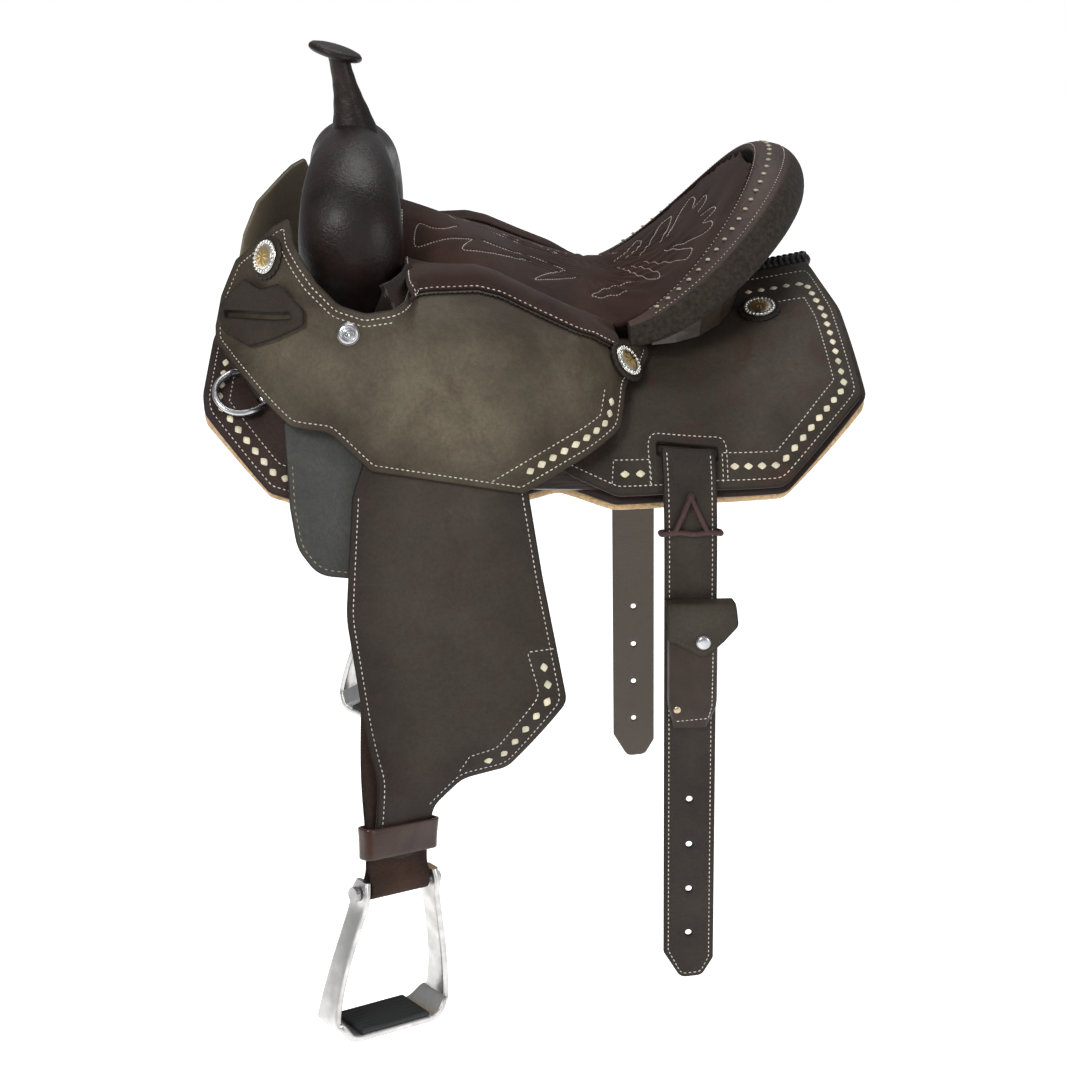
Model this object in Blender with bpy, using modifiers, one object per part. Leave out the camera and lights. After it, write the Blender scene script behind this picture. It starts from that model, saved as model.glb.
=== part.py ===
"""Barrel racing saddle: tree, seat, skirts, fenders, stirrups, rigging and billets.

Metres, +Z up. The horse's head is towards -X, so the near side is -Y.
The origin is the point of the horse's back under the seat, on the centre line.
"""
import math

import bmesh
import bpy
from mathutils import Matrix, Vector

# The back that the saddle is shaped to: a drop below its ridge gives a width
BACK_HALF_WIDTH = 0.27
BACK_DROP_SCALE = 0.08
BACK_DIP = 0.40

# Leather, fleece and clearances
GAP = 0.0005
LAYER_GAP = 0.0008
PIVOT_GAP = 0.0004
FLEECE_THICKNESS = 0.018
SKIRT_THICKNESS = 0.0055
HOUSING_THICKNESS = 0.0045
JOCKEY_THICKNESS = 0.0045
FLAP_THICKNESS = 0.003
FENDER_THICKNESS = 0.004
STRAP_THICKNESS = 0.0032
BILLET_THICKNESS = 0.004
KEEPER_THICKNESS = 0.0035

# Tree
BAR_THICKNESS = 0.020
BAR_TAIL_THINNING = 0.011
BAR_MIDDLE_DROP = 0.07875
BAR_HALF_DEPTH = 0.05625
BAR_FRONT = -0.272
BAR_TAIL = 0.210
FORK_X = -0.226
FORK_TOP_Z = 0.163
SWELL_WIDTH = 0.131
SWELL_THICKNESS = 0.003
HORN_HEIGHT = 0.062
HORN_BASE_SINK = 0.018
HORN_BASE_RADIUS = 0.0235
HORN_TOP_RADIUS = 0.0118
HORN_CAP_RADIUS = 0.0275
HORN_CAP_THICKNESS = 0.013
HORN_CAP_TILT = 17.0
HORN_LEAN = 0.014

# Cantle rim: ears, middle and the curve between them
EAR_X = 0.030
EAR_Z = 0.020
CANTLE_HALF_WIDTH = 0.158
CANTLE_X = 0.182
CANTLE_Z = 0.167
ROLL_WIDTH = 0.052
ROLL_DEPTH = 0.052
BOARD_THICKNESS = 0.014

# Seat
SEAT_FRONT = -0.184
SEAT_THICKNESS = 0.020
GROUND_SEAT_THICKNESS = 0.005
GROUND_SEAT_HALF_WIDTH = 0.088
GROUND_SEAT_STATIONS = 12
GROUND_SEAT_SHARES = [-1.0, -0.85, -0.78, -0.4, 0.0, 0.4, 0.78, 0.85, 1.0]

# The plane in which fenders and stirrup leathers hang
HANG_TILT = 13.5
HANG_INSET = 0.006
HANG_WIDTH = BACK_HALF_WIDTH - HANG_INSET
HANG_Z = -0.146
HINGE_X = -0.182
HINGE_DOWN = -0.104
LEATHER_WIDTH = 0.070
LEATHER_LEAN = 0.012
BOLT_DOWN = 0.345
EYE_FLARE = 0.022
TWIST_START = 0.17
TWIST_END = 0.31
STIRRUP_TURN = 38.0
HOBBLE_DOWN = 0.283
HOBBLE_HEIGHT = 0.030

# Stirrup
STIRRUP_BOLT_RADIUS = 0.004
STIRRUP_WIDTH = 0.138
STIRRUP_TOP_WIDTH = 0.092
STIRRUP_HEIGHT = 0.141
STIRRUP_WALL = 0.007
STIRRUP_LEG_DEPTH = 0.026
STIRRUP_TREAD_DEPTH = 0.046
PAD_THICKNESS = 0.0045
PAD_RIBS = 8

# Fittings
CONCHO_RADIUS = 0.016
CONCHO_THICKNESS = 0.0045
ROSETTE_RADIUS = 0.0215
ROSETTE_THICKNESS = 0.0025
SCREW_RADIUS = 0.0100
DEE_WIRE_RADIUS = 0.0032
DEE_WIDTH = 0.046
DEE_DEPTH = 0.040
LACING_RADIUS = 0.0103
LACING_START = 0.177
LACING_END = 0.240
LACING_SINK = 0.0025

# Billet and what it carries
BILLET_WIDTH = 0.051
BILLET_LENGTH = 0.560
BILLET_X = 0.0915
BILLET_DROP = 0.115
BILLET_LEAN = 0.010
BILLET_SLANT = 0.167
BILLET_HOLE_RADIUS = 0.0032
SLOT_LENGTH = 0.058
SLOT_HEIGHT = 0.0085
TIE_RADIUS = 0.0026
POUCH_WIDTH = 0.048
POUCH_HEIGHT = 0.130
POUCH_DEPTH = 0.016
POUCH_WALL = 0.0025
POUCH_FLAP_THICKNESS = 0.0022
POUCH_DOWN = 0.150
SNAP_RADIUS = 0.007

COLLECTION = "barrel_racing_saddle"


def clear_scene():
    """Remove what the file holds, and make the collections for the part and its cutters."""
    for old in list(bpy.data.objects):
        bpy.data.objects.remove(old, do_unlink=True)
    made = []
    for name in (COLLECTION, "cutters"):
        collection = bpy.data.collections.get(name) or bpy.data.collections.new(name)
        if collection.name not in bpy.context.scene.collection.children:
            bpy.context.scene.collection.children.link(collection)
        made.append(collection)
    return made


PART, CUTTERS = clear_scene()


def finish_material(name, colour, roughness, metallic=0.0):
    """A Principled material with the piece's colour, roughness and metallic value."""
    made = bpy.data.materials.new(name)
    made.use_nodes = True
    shader = made.node_tree.nodes["Principled BSDF"]
    shader.inputs["Base Color"].default_value = (*colour, 1.0)
    shader.inputs["Roughness"].default_value = roughness
    shader.inputs["Metallic"].default_value = metallic
    return made


OILED_LEATHER = ((0.10, 0.075, 0.05), 0.45)
DARK_LEATHER = ((0.035, 0.018, 0.012), 0.30)
SUEDE = ((0.055, 0.026, 0.016), 0.95)
ROUGHOUT = ((0.06, 0.045, 0.03), 0.9)
FLESH_LEATHER = ((0.30, 0.09, 0.04), 0.8)
GREY_LEATHER = ((0.13, 0.13, 0.12), 0.5)
FLEECE = ((0.60, 0.38, 0.15), 1.0)
WOOD = ((0.55, 0.38, 0.20), 0.7)
STEEL = ((0.45, 0.45, 0.47), 0.25, 1.0)
SILVER = ((0.75, 0.73, 0.68), 0.25, 1.0)
ALUMINIUM = ((0.70, 0.69, 0.67), 0.35, 1.0)
RUBBER = ((0.012, 0.014, 0.014), 0.8)


def add_object(name, bm, look, smooth=True):
    """Put a finished bmesh in the scene as one named sub-part."""
    mesh = bpy.data.meshes.new(name)
    bm.to_mesh(mesh)
    bm.free()
    if smooth:
        mesh.shade_smooth()
        mesh.set_sharp_from_angle(angle=math.radians(40))
    made = bpy.data.objects.new(name, mesh)
    PART.objects.link(made)
    mesh.materials.append(finish_material(name, *look))
    return made


def add_solidify(piece, thickness):
    """Give an open sheet its thickness, outwards from its inner face."""
    shell = piece.modifiers.new("thickness", "SOLIDIFY")
    shell.thickness = thickness
    shell.offset = 1.0
    shell.use_even_offset = True
    shell.use_quality_normals = True


def add_boolean(piece, operation, other):
    """Join or cut a piece with another object."""
    change = piece.modifiers.new(operation.lower(), "BOOLEAN")
    change.operation = operation
    change.solver = "EXACT"
    change.object = other


def as_cutter(piece):
    """Move an object to the cutters, where it is hidden and drawn as a wire."""
    PART.objects.unlink(piece)
    CUTTERS.objects.link(piece)
    piece.hide_render = True
    piece.display_type = "WIRE"


def baked(piece):
    """Replace an object's mesh with its evaluated form, without its modifiers."""
    bpy.context.view_layer.update()
    graph = bpy.context.evaluated_depsgraph_get()
    mesh = bpy.data.meshes.new_from_object(piece.evaluated_get(graph))
    piece.modifiers.clear()
    if piece.type == "MESH":
        piece.data = mesh
        return piece
    bm = bmesh.new()
    bm.from_mesh(mesh)
    bmesh.ops.remove_doubles(bm, verts=bm.verts, dist=0.00002)
    bm.to_mesh(mesh)
    bm.free()
    made = bpy.data.objects.new(piece.name, mesh)
    PART.objects.link(made)
    made.matrix_world = piece.matrix_world.copy()
    name = piece.name
    bpy.data.objects.remove(piece, do_unlink=True)
    made.name = name
    return made


def smooth_step(low, high, value):
    """Rise smoothly from 0 at low to 1 at high."""
    share = min(1.0, max(0.0, (value - low) / (high - low)))
    return share * share * (3.0 - 2.0 * share)


def between(stops, value):
    """Read a smooth curve through (place, height) stops."""
    if value <= stops[0][0]:
        return stops[0][1]
    for (a, low), (b, high) in zip(stops, stops[1:]):
        if value <= b:
            return low + (high - low) * (value - a) / (b - a)
    return stops[-1][1]


def through(points, value):
    """Read a rounded curve through (place, height) points, without corners."""
    places = [p[0] for p in points]
    last = len(points) - 2
    k = max(0, min(last, sum(1 for p in places[1:-1] if value > p)))
    slopes = []
    for i in (k, k + 1):
        a = points[max(0, i - 1)]
        b = points[min(len(points) - 1, i + 1)]
        slopes.append((b[1] - a[1]) / (b[0] - a[0]))
    (a, low), (b, high) = points[k], points[k + 1]
    run = b - a
    u = min(1.0, max(0.0, (value - a) / run))
    return (
        low * (2 * u ** 3 - 3 * u ** 2 + 1)
        + high * (3 * u ** 2 - 2 * u ** 3)
        + run * slopes[0] * (u ** 3 - 2 * u ** 2 + u)
        + run * slopes[1] * (u ** 3 - u ** 2)
    )


def rounded_max(a, b, blend):
    """The greater of two values, with the corner between them rounded off."""
    near = max(0.0, blend - abs(a - b)) / blend
    return max(a, b) + blend * near * near / 4.0


def back_frame(drop):
    """Half width of the back at a drop below its ridge, and its outward normal there."""
    width = BACK_HALF_WIDTH * (1.0 - math.exp(-drop / BACK_DROP_SCALE))
    slope = BACK_HALF_WIDTH / BACK_DROP_SCALE * math.exp(-drop / BACK_DROP_SCALE)
    size = math.hypot(1.0, slope)
    return width, 1.0 / size, slope / size


def back_point(x, drop, lift):
    """A point of the near side, lifted square off the horse's back."""
    width, out, up = back_frame(drop)
    return Vector((x, -(width + lift * out), BACK_DIP * x * x - drop + lift * up))


SKIRT_LIFT = FLEECE_THICKNESS + LAYER_GAP
BAR_LIFT = SKIRT_LIFT + SKIRT_THICKNESS + LAYER_GAP
HOUSING_LIFT = BAR_LIFT + GAP

# Places at which every sheet on the back is bent, so that the layers lie alike
BEND_X = 0.07
BEND_DROP = 0.0225


def bar_rise(x, drop, half_depth):
    """How far a tree bar stands above the skirt, fading to its edges."""
    rise = BAR_THICKNESS - BAR_TAIL_THINNING * smooth_step(-0.02, 0.16, x)
    edge = abs((drop - BAR_MIDDLE_DROP) / half_depth)
    return rise * max(0.0, 1.0 - edge ** 4)


def housing_rise(x, drop):
    """How far the rear housing bulges over the bar's tail."""
    return bar_rise(x, drop, BAR_HALF_DEPTH + 0.018) * (1.0 - smooth_step(0.215, 0.258, x))


def housing_point(x, drop, lift=0.0):
    """The inner face of the rear housing, or a point at a lift above it."""
    return back_point(x, drop, HOUSING_LIFT + housing_rise(x, drop) + lift)


def hang_axes():
    """The origin, downward and outward directions of the near fender's plane."""
    tilt = math.radians(HANG_TILT)
    down = Vector((0.0, -math.sin(tilt), -math.cos(tilt)))
    out = Vector((0.0, -math.cos(tilt), math.sin(tilt)))
    return Vector((0.0, -HANG_WIDTH, HANG_Z)), down, out


def hang_point(x, down_by, out_by):
    """A point in the near fender's plane."""
    origin, down, out = hang_axes()
    return origin + Vector((x, 0.0, 0.0)) + down * down_by + out * out_by


LEATHER_OUT = FLAP_THICKNESS + GAP
FENDER_OUT = LEATHER_OUT + 2.0 * STRAP_THICKNESS + 2.0 * GAP
JOCKEY_OUT = FENDER_OUT + FENDER_THICKNESS + 2.0 * GAP
STRAP_MIDDLE = LEATHER_OUT + STRAP_THICKNESS + 0.5 * GAP

# Lower edge of the seat along its side, by place
SEAT_EDGE = [
    (-0.190, 0.074), (-0.150, 0.069), (-0.107, 0.071), (-0.087, 0.066),
    (-0.050, 0.049), (-0.004, 0.029), (0.030, 0.018),
]


# How wide the jockey stands off the fork's foot, and its rounded shoulder over the fender
FORK_CLEAR_WIDTH = 0.155
FORK_CLEAR_SLOPE = 0.35
FORK_CLEAR_Z = 0.03
SHOULDER_FOOT_Z = -0.045
SHOULDER_TOP_Z = 0.15
SHOULDER_ROUNDNESS = 2.2


def width_of_stack(x, z, lift):
    """Half width of what lies on the back, at a height, for a lift that varies."""
    ridge = BACK_DIP * x * x
    drop = max(0.0, ridge - z)
    for _ in range(16):
        _, _, up = back_frame(drop)
        drop = 0.5 * drop + 0.5 * max(0.0, ridge - z + lift(x, drop) * up)
    width, out, _ = back_frame(drop)
    return width + lift(x, drop) * out


def lift_under_jockey(x, drop):
    """Lift of what the jockey lies on, away from the fender."""
    if x < -0.1:
        return BAR_LIFT + 0.011 * smooth_step(-0.365, -0.325, x)
    return HOUSING_LIFT + HOUSING_THICKNESS + 2.0 * GAP + housing_rise(x, drop)


def jockey_half_width(x, z):
    """Half width of the jockey's inner face, which bulges over the fender."""
    low = width_of_stack(x, z, lift_under_jockey)
    if x < -0.1:
        low = rounded_max(low, FORK_CLEAR_WIDTH - FORK_CLEAR_SLOPE * (z - FORK_CLEAR_Z), 0.02)
    tilt = math.radians(HANG_TILT)
    plane = HANG_WIDTH + JOCKEY_OUT / math.cos(tilt) + math.tan(tilt) * (HANG_Z - z)
    beside_seat = smooth_step(-0.20, -0.165, x)
    top = SHOULDER_TOP_Z + (between(SEAT_EDGE, x) + 0.004 - SHOULDER_TOP_Z) * beside_seat
    height = (z - SHOULDER_FOOT_Z) / (top - SHOULDER_FOOT_Z)
    shoulder = 1.0
    if height > 0.0:
        fall = max(0.0, 1.0 - min(1.0, height) ** SHOULDER_ROUNDNESS) ** (1.0 / SHOULDER_ROUNDNESS)
        shoulder = BACK_HALF_WIDTH * (1.0 + 2.0 * fall) / 3.0
    high = -rounded_max(-plane, -shoulder, 0.012)
    share = smooth_step(-0.36, -0.265, x) * (1.0 - smooth_step(-0.02, 0.06, x))
    return low + (max(high, low) - low) * share


def jockey_point(x, z, lift=0.0):
    """The inner face of the near jockey, or a point at a lift above it."""
    place = Vector((x, -jockey_half_width(x, z), z))
    if lift == 0.0:
        return place
    return place + surface_normal(jockey_point, x, z) * lift


def surface_normal(surface, u, v):
    """The outward normal of a near-side surface."""
    step = 0.006
    across = surface(u + step, v) - surface(u - step, v)
    along = surface(u, v + step) - surface(u, v - step)
    normal = across.cross(along).normalized()
    return -normal if normal.y > 0.0 else normal


def filleted(corners, per_corner=3):
    """An outline whose corners (place, place, radius) are rounded by arcs."""
    points = []
    count = len(corners)
    for i, corner in enumerate(corners):
        here = Vector(corner[:2])
        radius = corner[2] if len(corner) > 2 else 0.0
        before = Vector(corners[i - 1][:2]) - here
        after = Vector(corners[(i + 1) % count][:2]) - here
        turn = before.angle(after)
        if radius <= 0.0 or turn > math.pi - 0.02:
            points.append(here)
            continue
        reach = radius / math.tan(turn / 2.0)
        reach = min(reach, 0.47 * before.length, 0.47 * after.length)
        start = here + before.normalized() * reach
        end = here + after.normalized() * reach
        for k in range(per_corner + 1):
            u = k / per_corner
            points.append(
                start * (1 - u) ** 2 + here * (2 * u * (1 - u)) + end * u ** 2
            )
    return points


def ring(centre, radius, sides):
    """A round hole's outline."""
    return [
        Vector((
            centre[0] + radius * math.cos(2 * math.pi * i / sides),
            centre[1] + radius * math.sin(2 * math.pi * i / sides),
        ))
        for i in range(sides)
    ]


def flat_sheet(outline, holes, step_u, step_v, rows=()):
    """A filled outline in the plane, cut by a grid so that it can follow a surface."""
    bm = bmesh.new()
    edges = []
    for loop in [outline, *holes]:
        verts = [bm.verts.new((p.x, p.y, 0.0)) for p in loop]
        edges += [bm.edges.new((a, b)) for a, b in zip(verts, verts[1:] + verts[:1])]
    bmesh.ops.triangle_fill(bm, use_beauty=True, use_dissolve=False, edges=edges)
    bmesh.ops.dissolve_limit(
        bm, angle_limit=0.01, verts=bm.verts, edges=bm.edges, use_dissolve_boundaries=False
    )
    places = []
    for axis, step in ((0, step_u), (1, step_v)):
        low = min(p[axis] for p in outline)
        high = max(p[axis] for p in outline)
        k = math.floor(low / step) + 1
        while k * step < high:
            places.append((axis, k * step))
            k += 1
    places += [(1, row) for row in rows]
    for axis, place in places:
        at = Vector((0.0, 0.0, 0.0))
        at[axis] = place
        normal = Vector((0.0, 0.0, 0.0))
        normal[axis] = 1.0
        bmesh.ops.bisect_plane(
            bm, geom=bm.verts[:] + bm.edges[:] + bm.faces[:], dist=0.0004,
            plane_co=at, plane_no=normal,
        )
    bmesh.ops.triangulate(bm, faces=[f for f in bm.faces if len(f.verts) > 4])
    return bm


def wrapped_sheet(
    name, outline, surface, thickness, look, holes=(), step_u=1.0, step_v=1.0, rows=()
):
    """A leather piece: a flat outline laid on a surface, and closed at its thickness above it."""
    bm = flat_sheet(outline, holes, step_u, step_v, rows)
    under = bm.verts[:]
    flat = [vert.co.copy() for vert in under]
    rim = [edge for edge in bm.edges if len(edge.link_faces) == 1]
    faces = bm.faces[:]
    over = [bm.verts.new(place) for place in flat]
    pair = dict(zip(under, over))
    for face in faces:
        bm.faces.new([pair[vert] for vert in reversed(face.verts)])
    for edge in rim:
        one, two = edge.verts
        bm.faces.new((one, two, pair[two], pair[one]))
    for low, high, place in zip(under, over, flat):
        low.co = surface(place.x, place.y, 0.0)
        high.co = surface(place.x, place.y, thickness)
    bmesh.ops.recalc_face_normals(bm, faces=bm.faces)
    return add_object(name, bm, look)


def loft(name, rings, look, closed_path=False, capped=True):
    """A solid or tube through rings that have as many points each."""
    bm = bmesh.new()
    rows = [[bm.verts.new(p) for p in one] for one in rings]
    pairs = list(zip(rows, rows[1:]))
    if closed_path:
        pairs.append((rows[-1], rows[0]))
    for one, two in pairs:
        for i in range(len(one)):
            j = (i + 1) % len(one)
            bm.faces.new((one[i], one[j], two[j], two[i]))
    if capped and not closed_path:
        bm.faces.new(rows[0])
        bm.faces.new(rows[-1])
    bmesh.ops.recalc_face_normals(bm, faces=bm.faces)
    return add_object(name, bm, look)


def turned(name, profile, look, place, axis, sides=20):
    """A turned piece: a profile of (radius, height) spun about an axis."""
    mesh = bpy.data.meshes.new(name)
    verts = [(radius, 0.0, height) for radius, height in profile]
    mesh.from_pydata(verts, [(i, i + 1) for i in range(len(verts) - 1)], [])
    piece = bpy.data.objects.new(name, mesh)
    PART.objects.link(piece)
    spin = piece.modifiers.new("turn", "SCREW")
    spin.axis = "Z"
    spin.steps = sides
    spin.render_steps = sides
    spin.use_merge_vertices = True
    spin.merge_threshold = 0.00005
    mesh.materials.append(finish_material(name, *look))
    turn = axis.to_track_quat("Z", "Y").to_matrix().to_4x4()
    piece.matrix_world = Matrix.Translation(place) @ turn
    return piece


def mirrored(piece):
    """The off side's copy of a near-side piece."""
    bpy.context.view_layer.update()
    graph = bpy.context.evaluated_depsgraph_get()
    mesh = bpy.data.meshes.new_from_object(piece.evaluated_get(graph))
    mesh.transform(piece.matrix_world)
    mesh.transform(Matrix.Scale(-1.0, 4, (0.0, 1.0, 0.0)))
    mesh.flip_normals()
    name = piece.name.replace("near", "off")
    mesh.name = name
    copy = bpy.data.objects.new(name, mesh)
    PART.objects.link(copy)
    look = piece.active_material.copy()
    look.name = name
    mesh.materials.clear()
    mesh.materials.append(look)
    return copy


def hang_on(pivot_name, place, pieces):
    """Parent moving pieces to an empty that stands on their joint's axis."""
    pivot = bpy.data.objects.new(pivot_name, None)
    pivot.empty_display_size = 0.02
    pivot.location = place
    PART.objects.link(pivot)
    bpy.context.view_layer.update()
    for piece in pieces:
        piece.parent = pivot
        piece.matrix_parent_inverse = pivot.matrix_world.inverted()
    return pivot


# Skirts, fleece, tree bars and rear housings

SKIRT_OUTLINE = [
    (0.150, 0.002), (0.246, 0.002, 0.008), (0.262, 0.030, 0.02), (0.271, 0.091, 0.008),
    (0.187, 0.150, 0.02), (0.120, 0.146, 0.04), (0.022, 0.146, 0.03), (-0.030, 0.130, 0.03),
    (-0.110, 0.150, 0.05), (-0.285, 0.163, 0.02), (-0.306, 0.161, 0.012),
    (-0.366, 0.113, 0.010), (-0.368, 0.100, 0.02), (-0.360, 0.058, 0.02),
    (-0.335, 0.026, 0.03), (-0.270, 0.018, 0.03), (0.110, 0.018, 0.02),
]
HOUSING_OUTLINE = [
    (0.150, 0.0008), (0.242, 0.0008, 0.008), (0.257, 0.030, 0.02), (0.266, 0.091, 0.008),
    (0.184, 0.146, 0.02), (0.120, 0.142, 0.04), (0.023, 0.142, 0.03), (-0.028, 0.126, 0.012),
    (-0.032, 0.085, 0.02), (-0.018, 0.054, 0.01), (0.045, 0.048, 0.02), (0.090, 0.014, 0.02),
]


def build_skirt():
    """The skirt and its fleece lining, which lie on the horse under the tree."""
    fleece = [(x, d + 0.005 if d < 0.03 else d + 0.002) + tuple(r) for x, d, *r in SKIRT_OUTLINE]
    wrapped_sheet(
        "fleece_near", filleted(fleece), back_point, FLEECE_THICKNESS, FLEECE,
        step_u=BEND_X, step_v=BEND_DROP,
    )
    wrapped_sheet(
        "skirt_near", filleted(SKIRT_OUTLINE),
        lambda x, d, lift: back_point(x, d, SKIRT_LIFT + lift),
        SKIRT_THICKNESS, OILED_LEATHER, step_u=BEND_X, step_v=BEND_DROP,
    )


def build_bar():
    """A tree bar: a long pad-shaped board that carries the saddle on the horse."""
    first = math.ceil(BAR_FRONT / BEND_X)
    last = math.ceil(BAR_TAIL / BEND_X)
    places = [BAR_FRONT, *(k * BEND_X for k in range(first, last)), BAR_TAIL]
    levels = round(2.0 * BAR_HALF_DEPTH / BEND_DROP)
    rings = []
    for x in places:
        at_end = x in (BAR_FRONT, BAR_TAIL)
        half = BAR_HALF_DEPTH * (0.62 if at_end else 1.0)
        drops = [BAR_MIDDLE_DROP + half * (2.0 * k / levels - 1.0) for k in range(levels + 1)]
        top = [
            back_point(x, d, BAR_LIFT + max(0.003, 0.94 * bar_rise(x, d, BAR_HALF_DEPTH + 0.004)))
            for d in drops
        ]
        foot = BAR_LIFT + (3.0 * LAYER_GAP if at_end else 0.0)
        under = [back_point(x, d, foot) for d in reversed(drops)]
        rings.append(top + under)
    loft("tree_bar_near", rings, WOOD)


def build_housing():
    """The rear housing over the bar's tail, with the slot that the billet hangs from."""
    slot = filleted([
        (BILLET_X + sx * SLOT_LENGTH / 2, BILLET_DROP + sx * 0.003 + sz * SLOT_HEIGHT / 2, 0.002)
        for sx, sz in ((-1, -1), (1, -1), (1, 1), (-1, 1))
    ], 2)
    wrapped_sheet(
        "rear_housing_near", filleted(HOUSING_OUTLINE), housing_point,
        HOUSING_THICKNESS, OILED_LEATHER, holes=[slot], step_u=BEND_X / 2, step_v=BEND_DROP,
    )


def build_lacing():
    """The braided lace that joins the two housings along the ridge behind the cantle."""
    curve = bpy.data.curves.new("skirt_lacing", "CURVE")
    curve.dimensions = "3D"
    curve.bevel_depth = LACING_RADIUS
    curve.bevel_resolution = 2
    curve.use_fill_caps = True
    spline = curve.splines.new("POLY")
    count = 8
    spline.points.add(count - 1)
    for i in range(count):
        x = LACING_START + (LACING_END - LACING_START) * i / (count - 1)
        edge = back_point(x, 0.0008, HOUSING_LIFT + HOUSING_THICKNESS)
        spline.points[i].co = (x, 0.0, edge.z - LACING_SINK, 1.0)
    lacing = bpy.data.objects.new("skirt_lacing", curve)
    PART.objects.link(lacing)
    lacing = baked(lacing)
    lacing.data.materials.append(finish_material("skirt_lacing", *DARK_LEATHER))


# Fork, swell and horn

FORK_STOPS = [
    # half width y, height z, half length in x, half thickness
    (0.118, 0.014, 0.034, 0.022),
    (0.124, 0.050, 0.040, 0.027),
    (SWELL_WIDTH, 0.088, 0.047, 0.033),
    (0.122, 0.122, 0.046, 0.034),
    (0.090, 0.147, 0.042, 0.031),
    (0.048, FORK_TOP_Z - 0.003, 0.036, 0.029),
    (0.0, FORK_TOP_Z, 0.031, 0.029),
]


def fork_rings(grow, sides):
    """Rings along the fork's arch, from the near foot to the off foot."""
    path = [(-y, z, a, b) for y, z, a, b in FORK_STOPS]
    path += [(y, z, a, b) for y, z, a, b in reversed(FORK_STOPS[:-1])]
    rings = []
    for i, (y, z, half, thick) in enumerate(path):
        before = path[max(0, i - 1)]
        after = path[min(len(path) - 1, i + 1)]
        along = Vector((0.0, after[0] - before[0], after[1] - before[1])).normalized()
        if i in (0, len(path) - 1):
            along = Vector((0.0, 0.0, 1.0 if i == 0 else -1.0))
        out = Vector((0.0, -along.z, along.y))
        rings.append([
            Vector((FORK_X, y, z))
            + Vector((1, 0, 0)) * (half + grow) * math.cos(2 * math.pi * k / sides)
            + out * (thick + grow) * math.sin(2 * math.pi * k / sides)
            for k in range(sides)
        ])
    return rings


def build_fork():
    """The wooden fork, the leather swell cover drawn over it, and the horn."""
    sides = 14
    fork = loft("fork", fork_rings(0.0, sides), WOOD)
    cover = loft("swell_cover", fork_rings(GAP, sides), DARK_LEATHER, capped=False)
    add_solidify(cover, SWELL_THICKNESS)
    for piece in (fork, cover):
        trim_feet(piece)

    shell = GAP + SWELL_THICKNESS
    base_z = FORK_TOP_Z + FORK_STOPS[-1][3] + shell
    rings = []
    steps = 7
    for i in range(steps):
        u = i / (steps - 1)
        radius = HORN_TOP_RADIUS + (HORN_BASE_RADIUS - HORN_TOP_RADIUS) * (1.0 - u) ** 2.2
        sink = HORN_BASE_SINK if i == 0 else 0.0
        centre = Vector((FORK_X + 0.004 - HORN_LEAN * u, 0.0, base_z + HORN_HEIGHT * u - sink))
        tilt = math.radians(HORN_CAP_TILT) * u
        across = Vector((math.cos(tilt), 0.0, -math.sin(tilt)))
        ring_points = []
        for k in range(14):
            angle = 2 * math.pi * k / 14
            point = centre + across * radius * math.cos(angle)
            point += Vector((0, 1, 0)) * radius * 0.92 * math.sin(angle)
            ring_points.append(point)
        rings.append(ring_points)
    neck = loft("horn_neck", rings, DARK_LEATHER)
    crown = loft("swell_crown", fork_rings(shell + LAYER_GAP, sides), DARK_LEATHER)
    as_cutter(crown)
    add_boolean(neck, "DIFFERENCE", crown)
    baked(neck)

    tilt = math.radians(HORN_CAP_TILT)
    axis = Vector((math.sin(tilt), 0.0, math.cos(tilt)))
    top = Vector((FORK_X + 0.004 - HORN_LEAN, 0.0, base_z + HORN_HEIGHT))
    place = top + axis * GAP - Vector((math.cos(tilt), 0, -math.sin(tilt))) * 0.006
    r = HORN_CAP_RADIUS
    t = HORN_CAP_THICKNESS
    profile = [
        (0.0, t), (0.5 * r, 0.95 * t), (0.86 * r, 0.78 * t), (r, 0.52 * t),
        (0.97 * r, 0.26 * t), (0.80 * r, 0.08 * t), (0.5 * r, 0.0), (0.0, 0.0),
    ]
    turned("horn_cap", profile, DARK_LEATHER, place, axis, sides=24)


def trim_feet(piece):
    """Cut the fork's feet off above the bars that carry them."""
    bm = bmesh.new()
    bm.from_mesh(piece.data)
    foot_y = FORK_STOPS[0][0]
    foot = None
    for step in range(60):
        drop = 0.02 + 0.001 * step
        lift = BAR_LIFT + bar_rise(FORK_X, drop, BAR_HALF_DEPTH + 0.004)
        foot = back_point(FORK_X, drop, lift)
        if -foot.y > foot_y:
            break
    for side in (-1.0, 1.0):
        _, out, up = back_frame(BACK_DIP * FORK_X ** 2 - foot.z + 0.03)
        lean = Vector((-2.0 * BACK_DIP * FORK_X * 0.9, side * out, up)).normalized()
        at = Vector((FORK_X, side * foot_y, foot.z + 0.003))
        near = [v for v in bm.verts if v.co.y * side > 0.0]
        faces = [f for f in bm.faces if all(v in set(near) for v in f.verts)]
        edges = list({e for f in faces for e in f.edges})
        cut = bmesh.ops.bisect_plane(
            bm, geom=near + edges + faces, plane_co=at, plane_no=lean,
            clear_inner=True, dist=0.00005,
        )
        if piece.name == "fork":
            rim = [e for e in cut["geom_cut"] if isinstance(e, bmesh.types.BMEdge)]
            bmesh.ops.holes_fill(bm, edges=rim, sides=0)
    bm.normal_update()
    bm.to_mesh(piece.data)
    bm.free()


# Cantle

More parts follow.
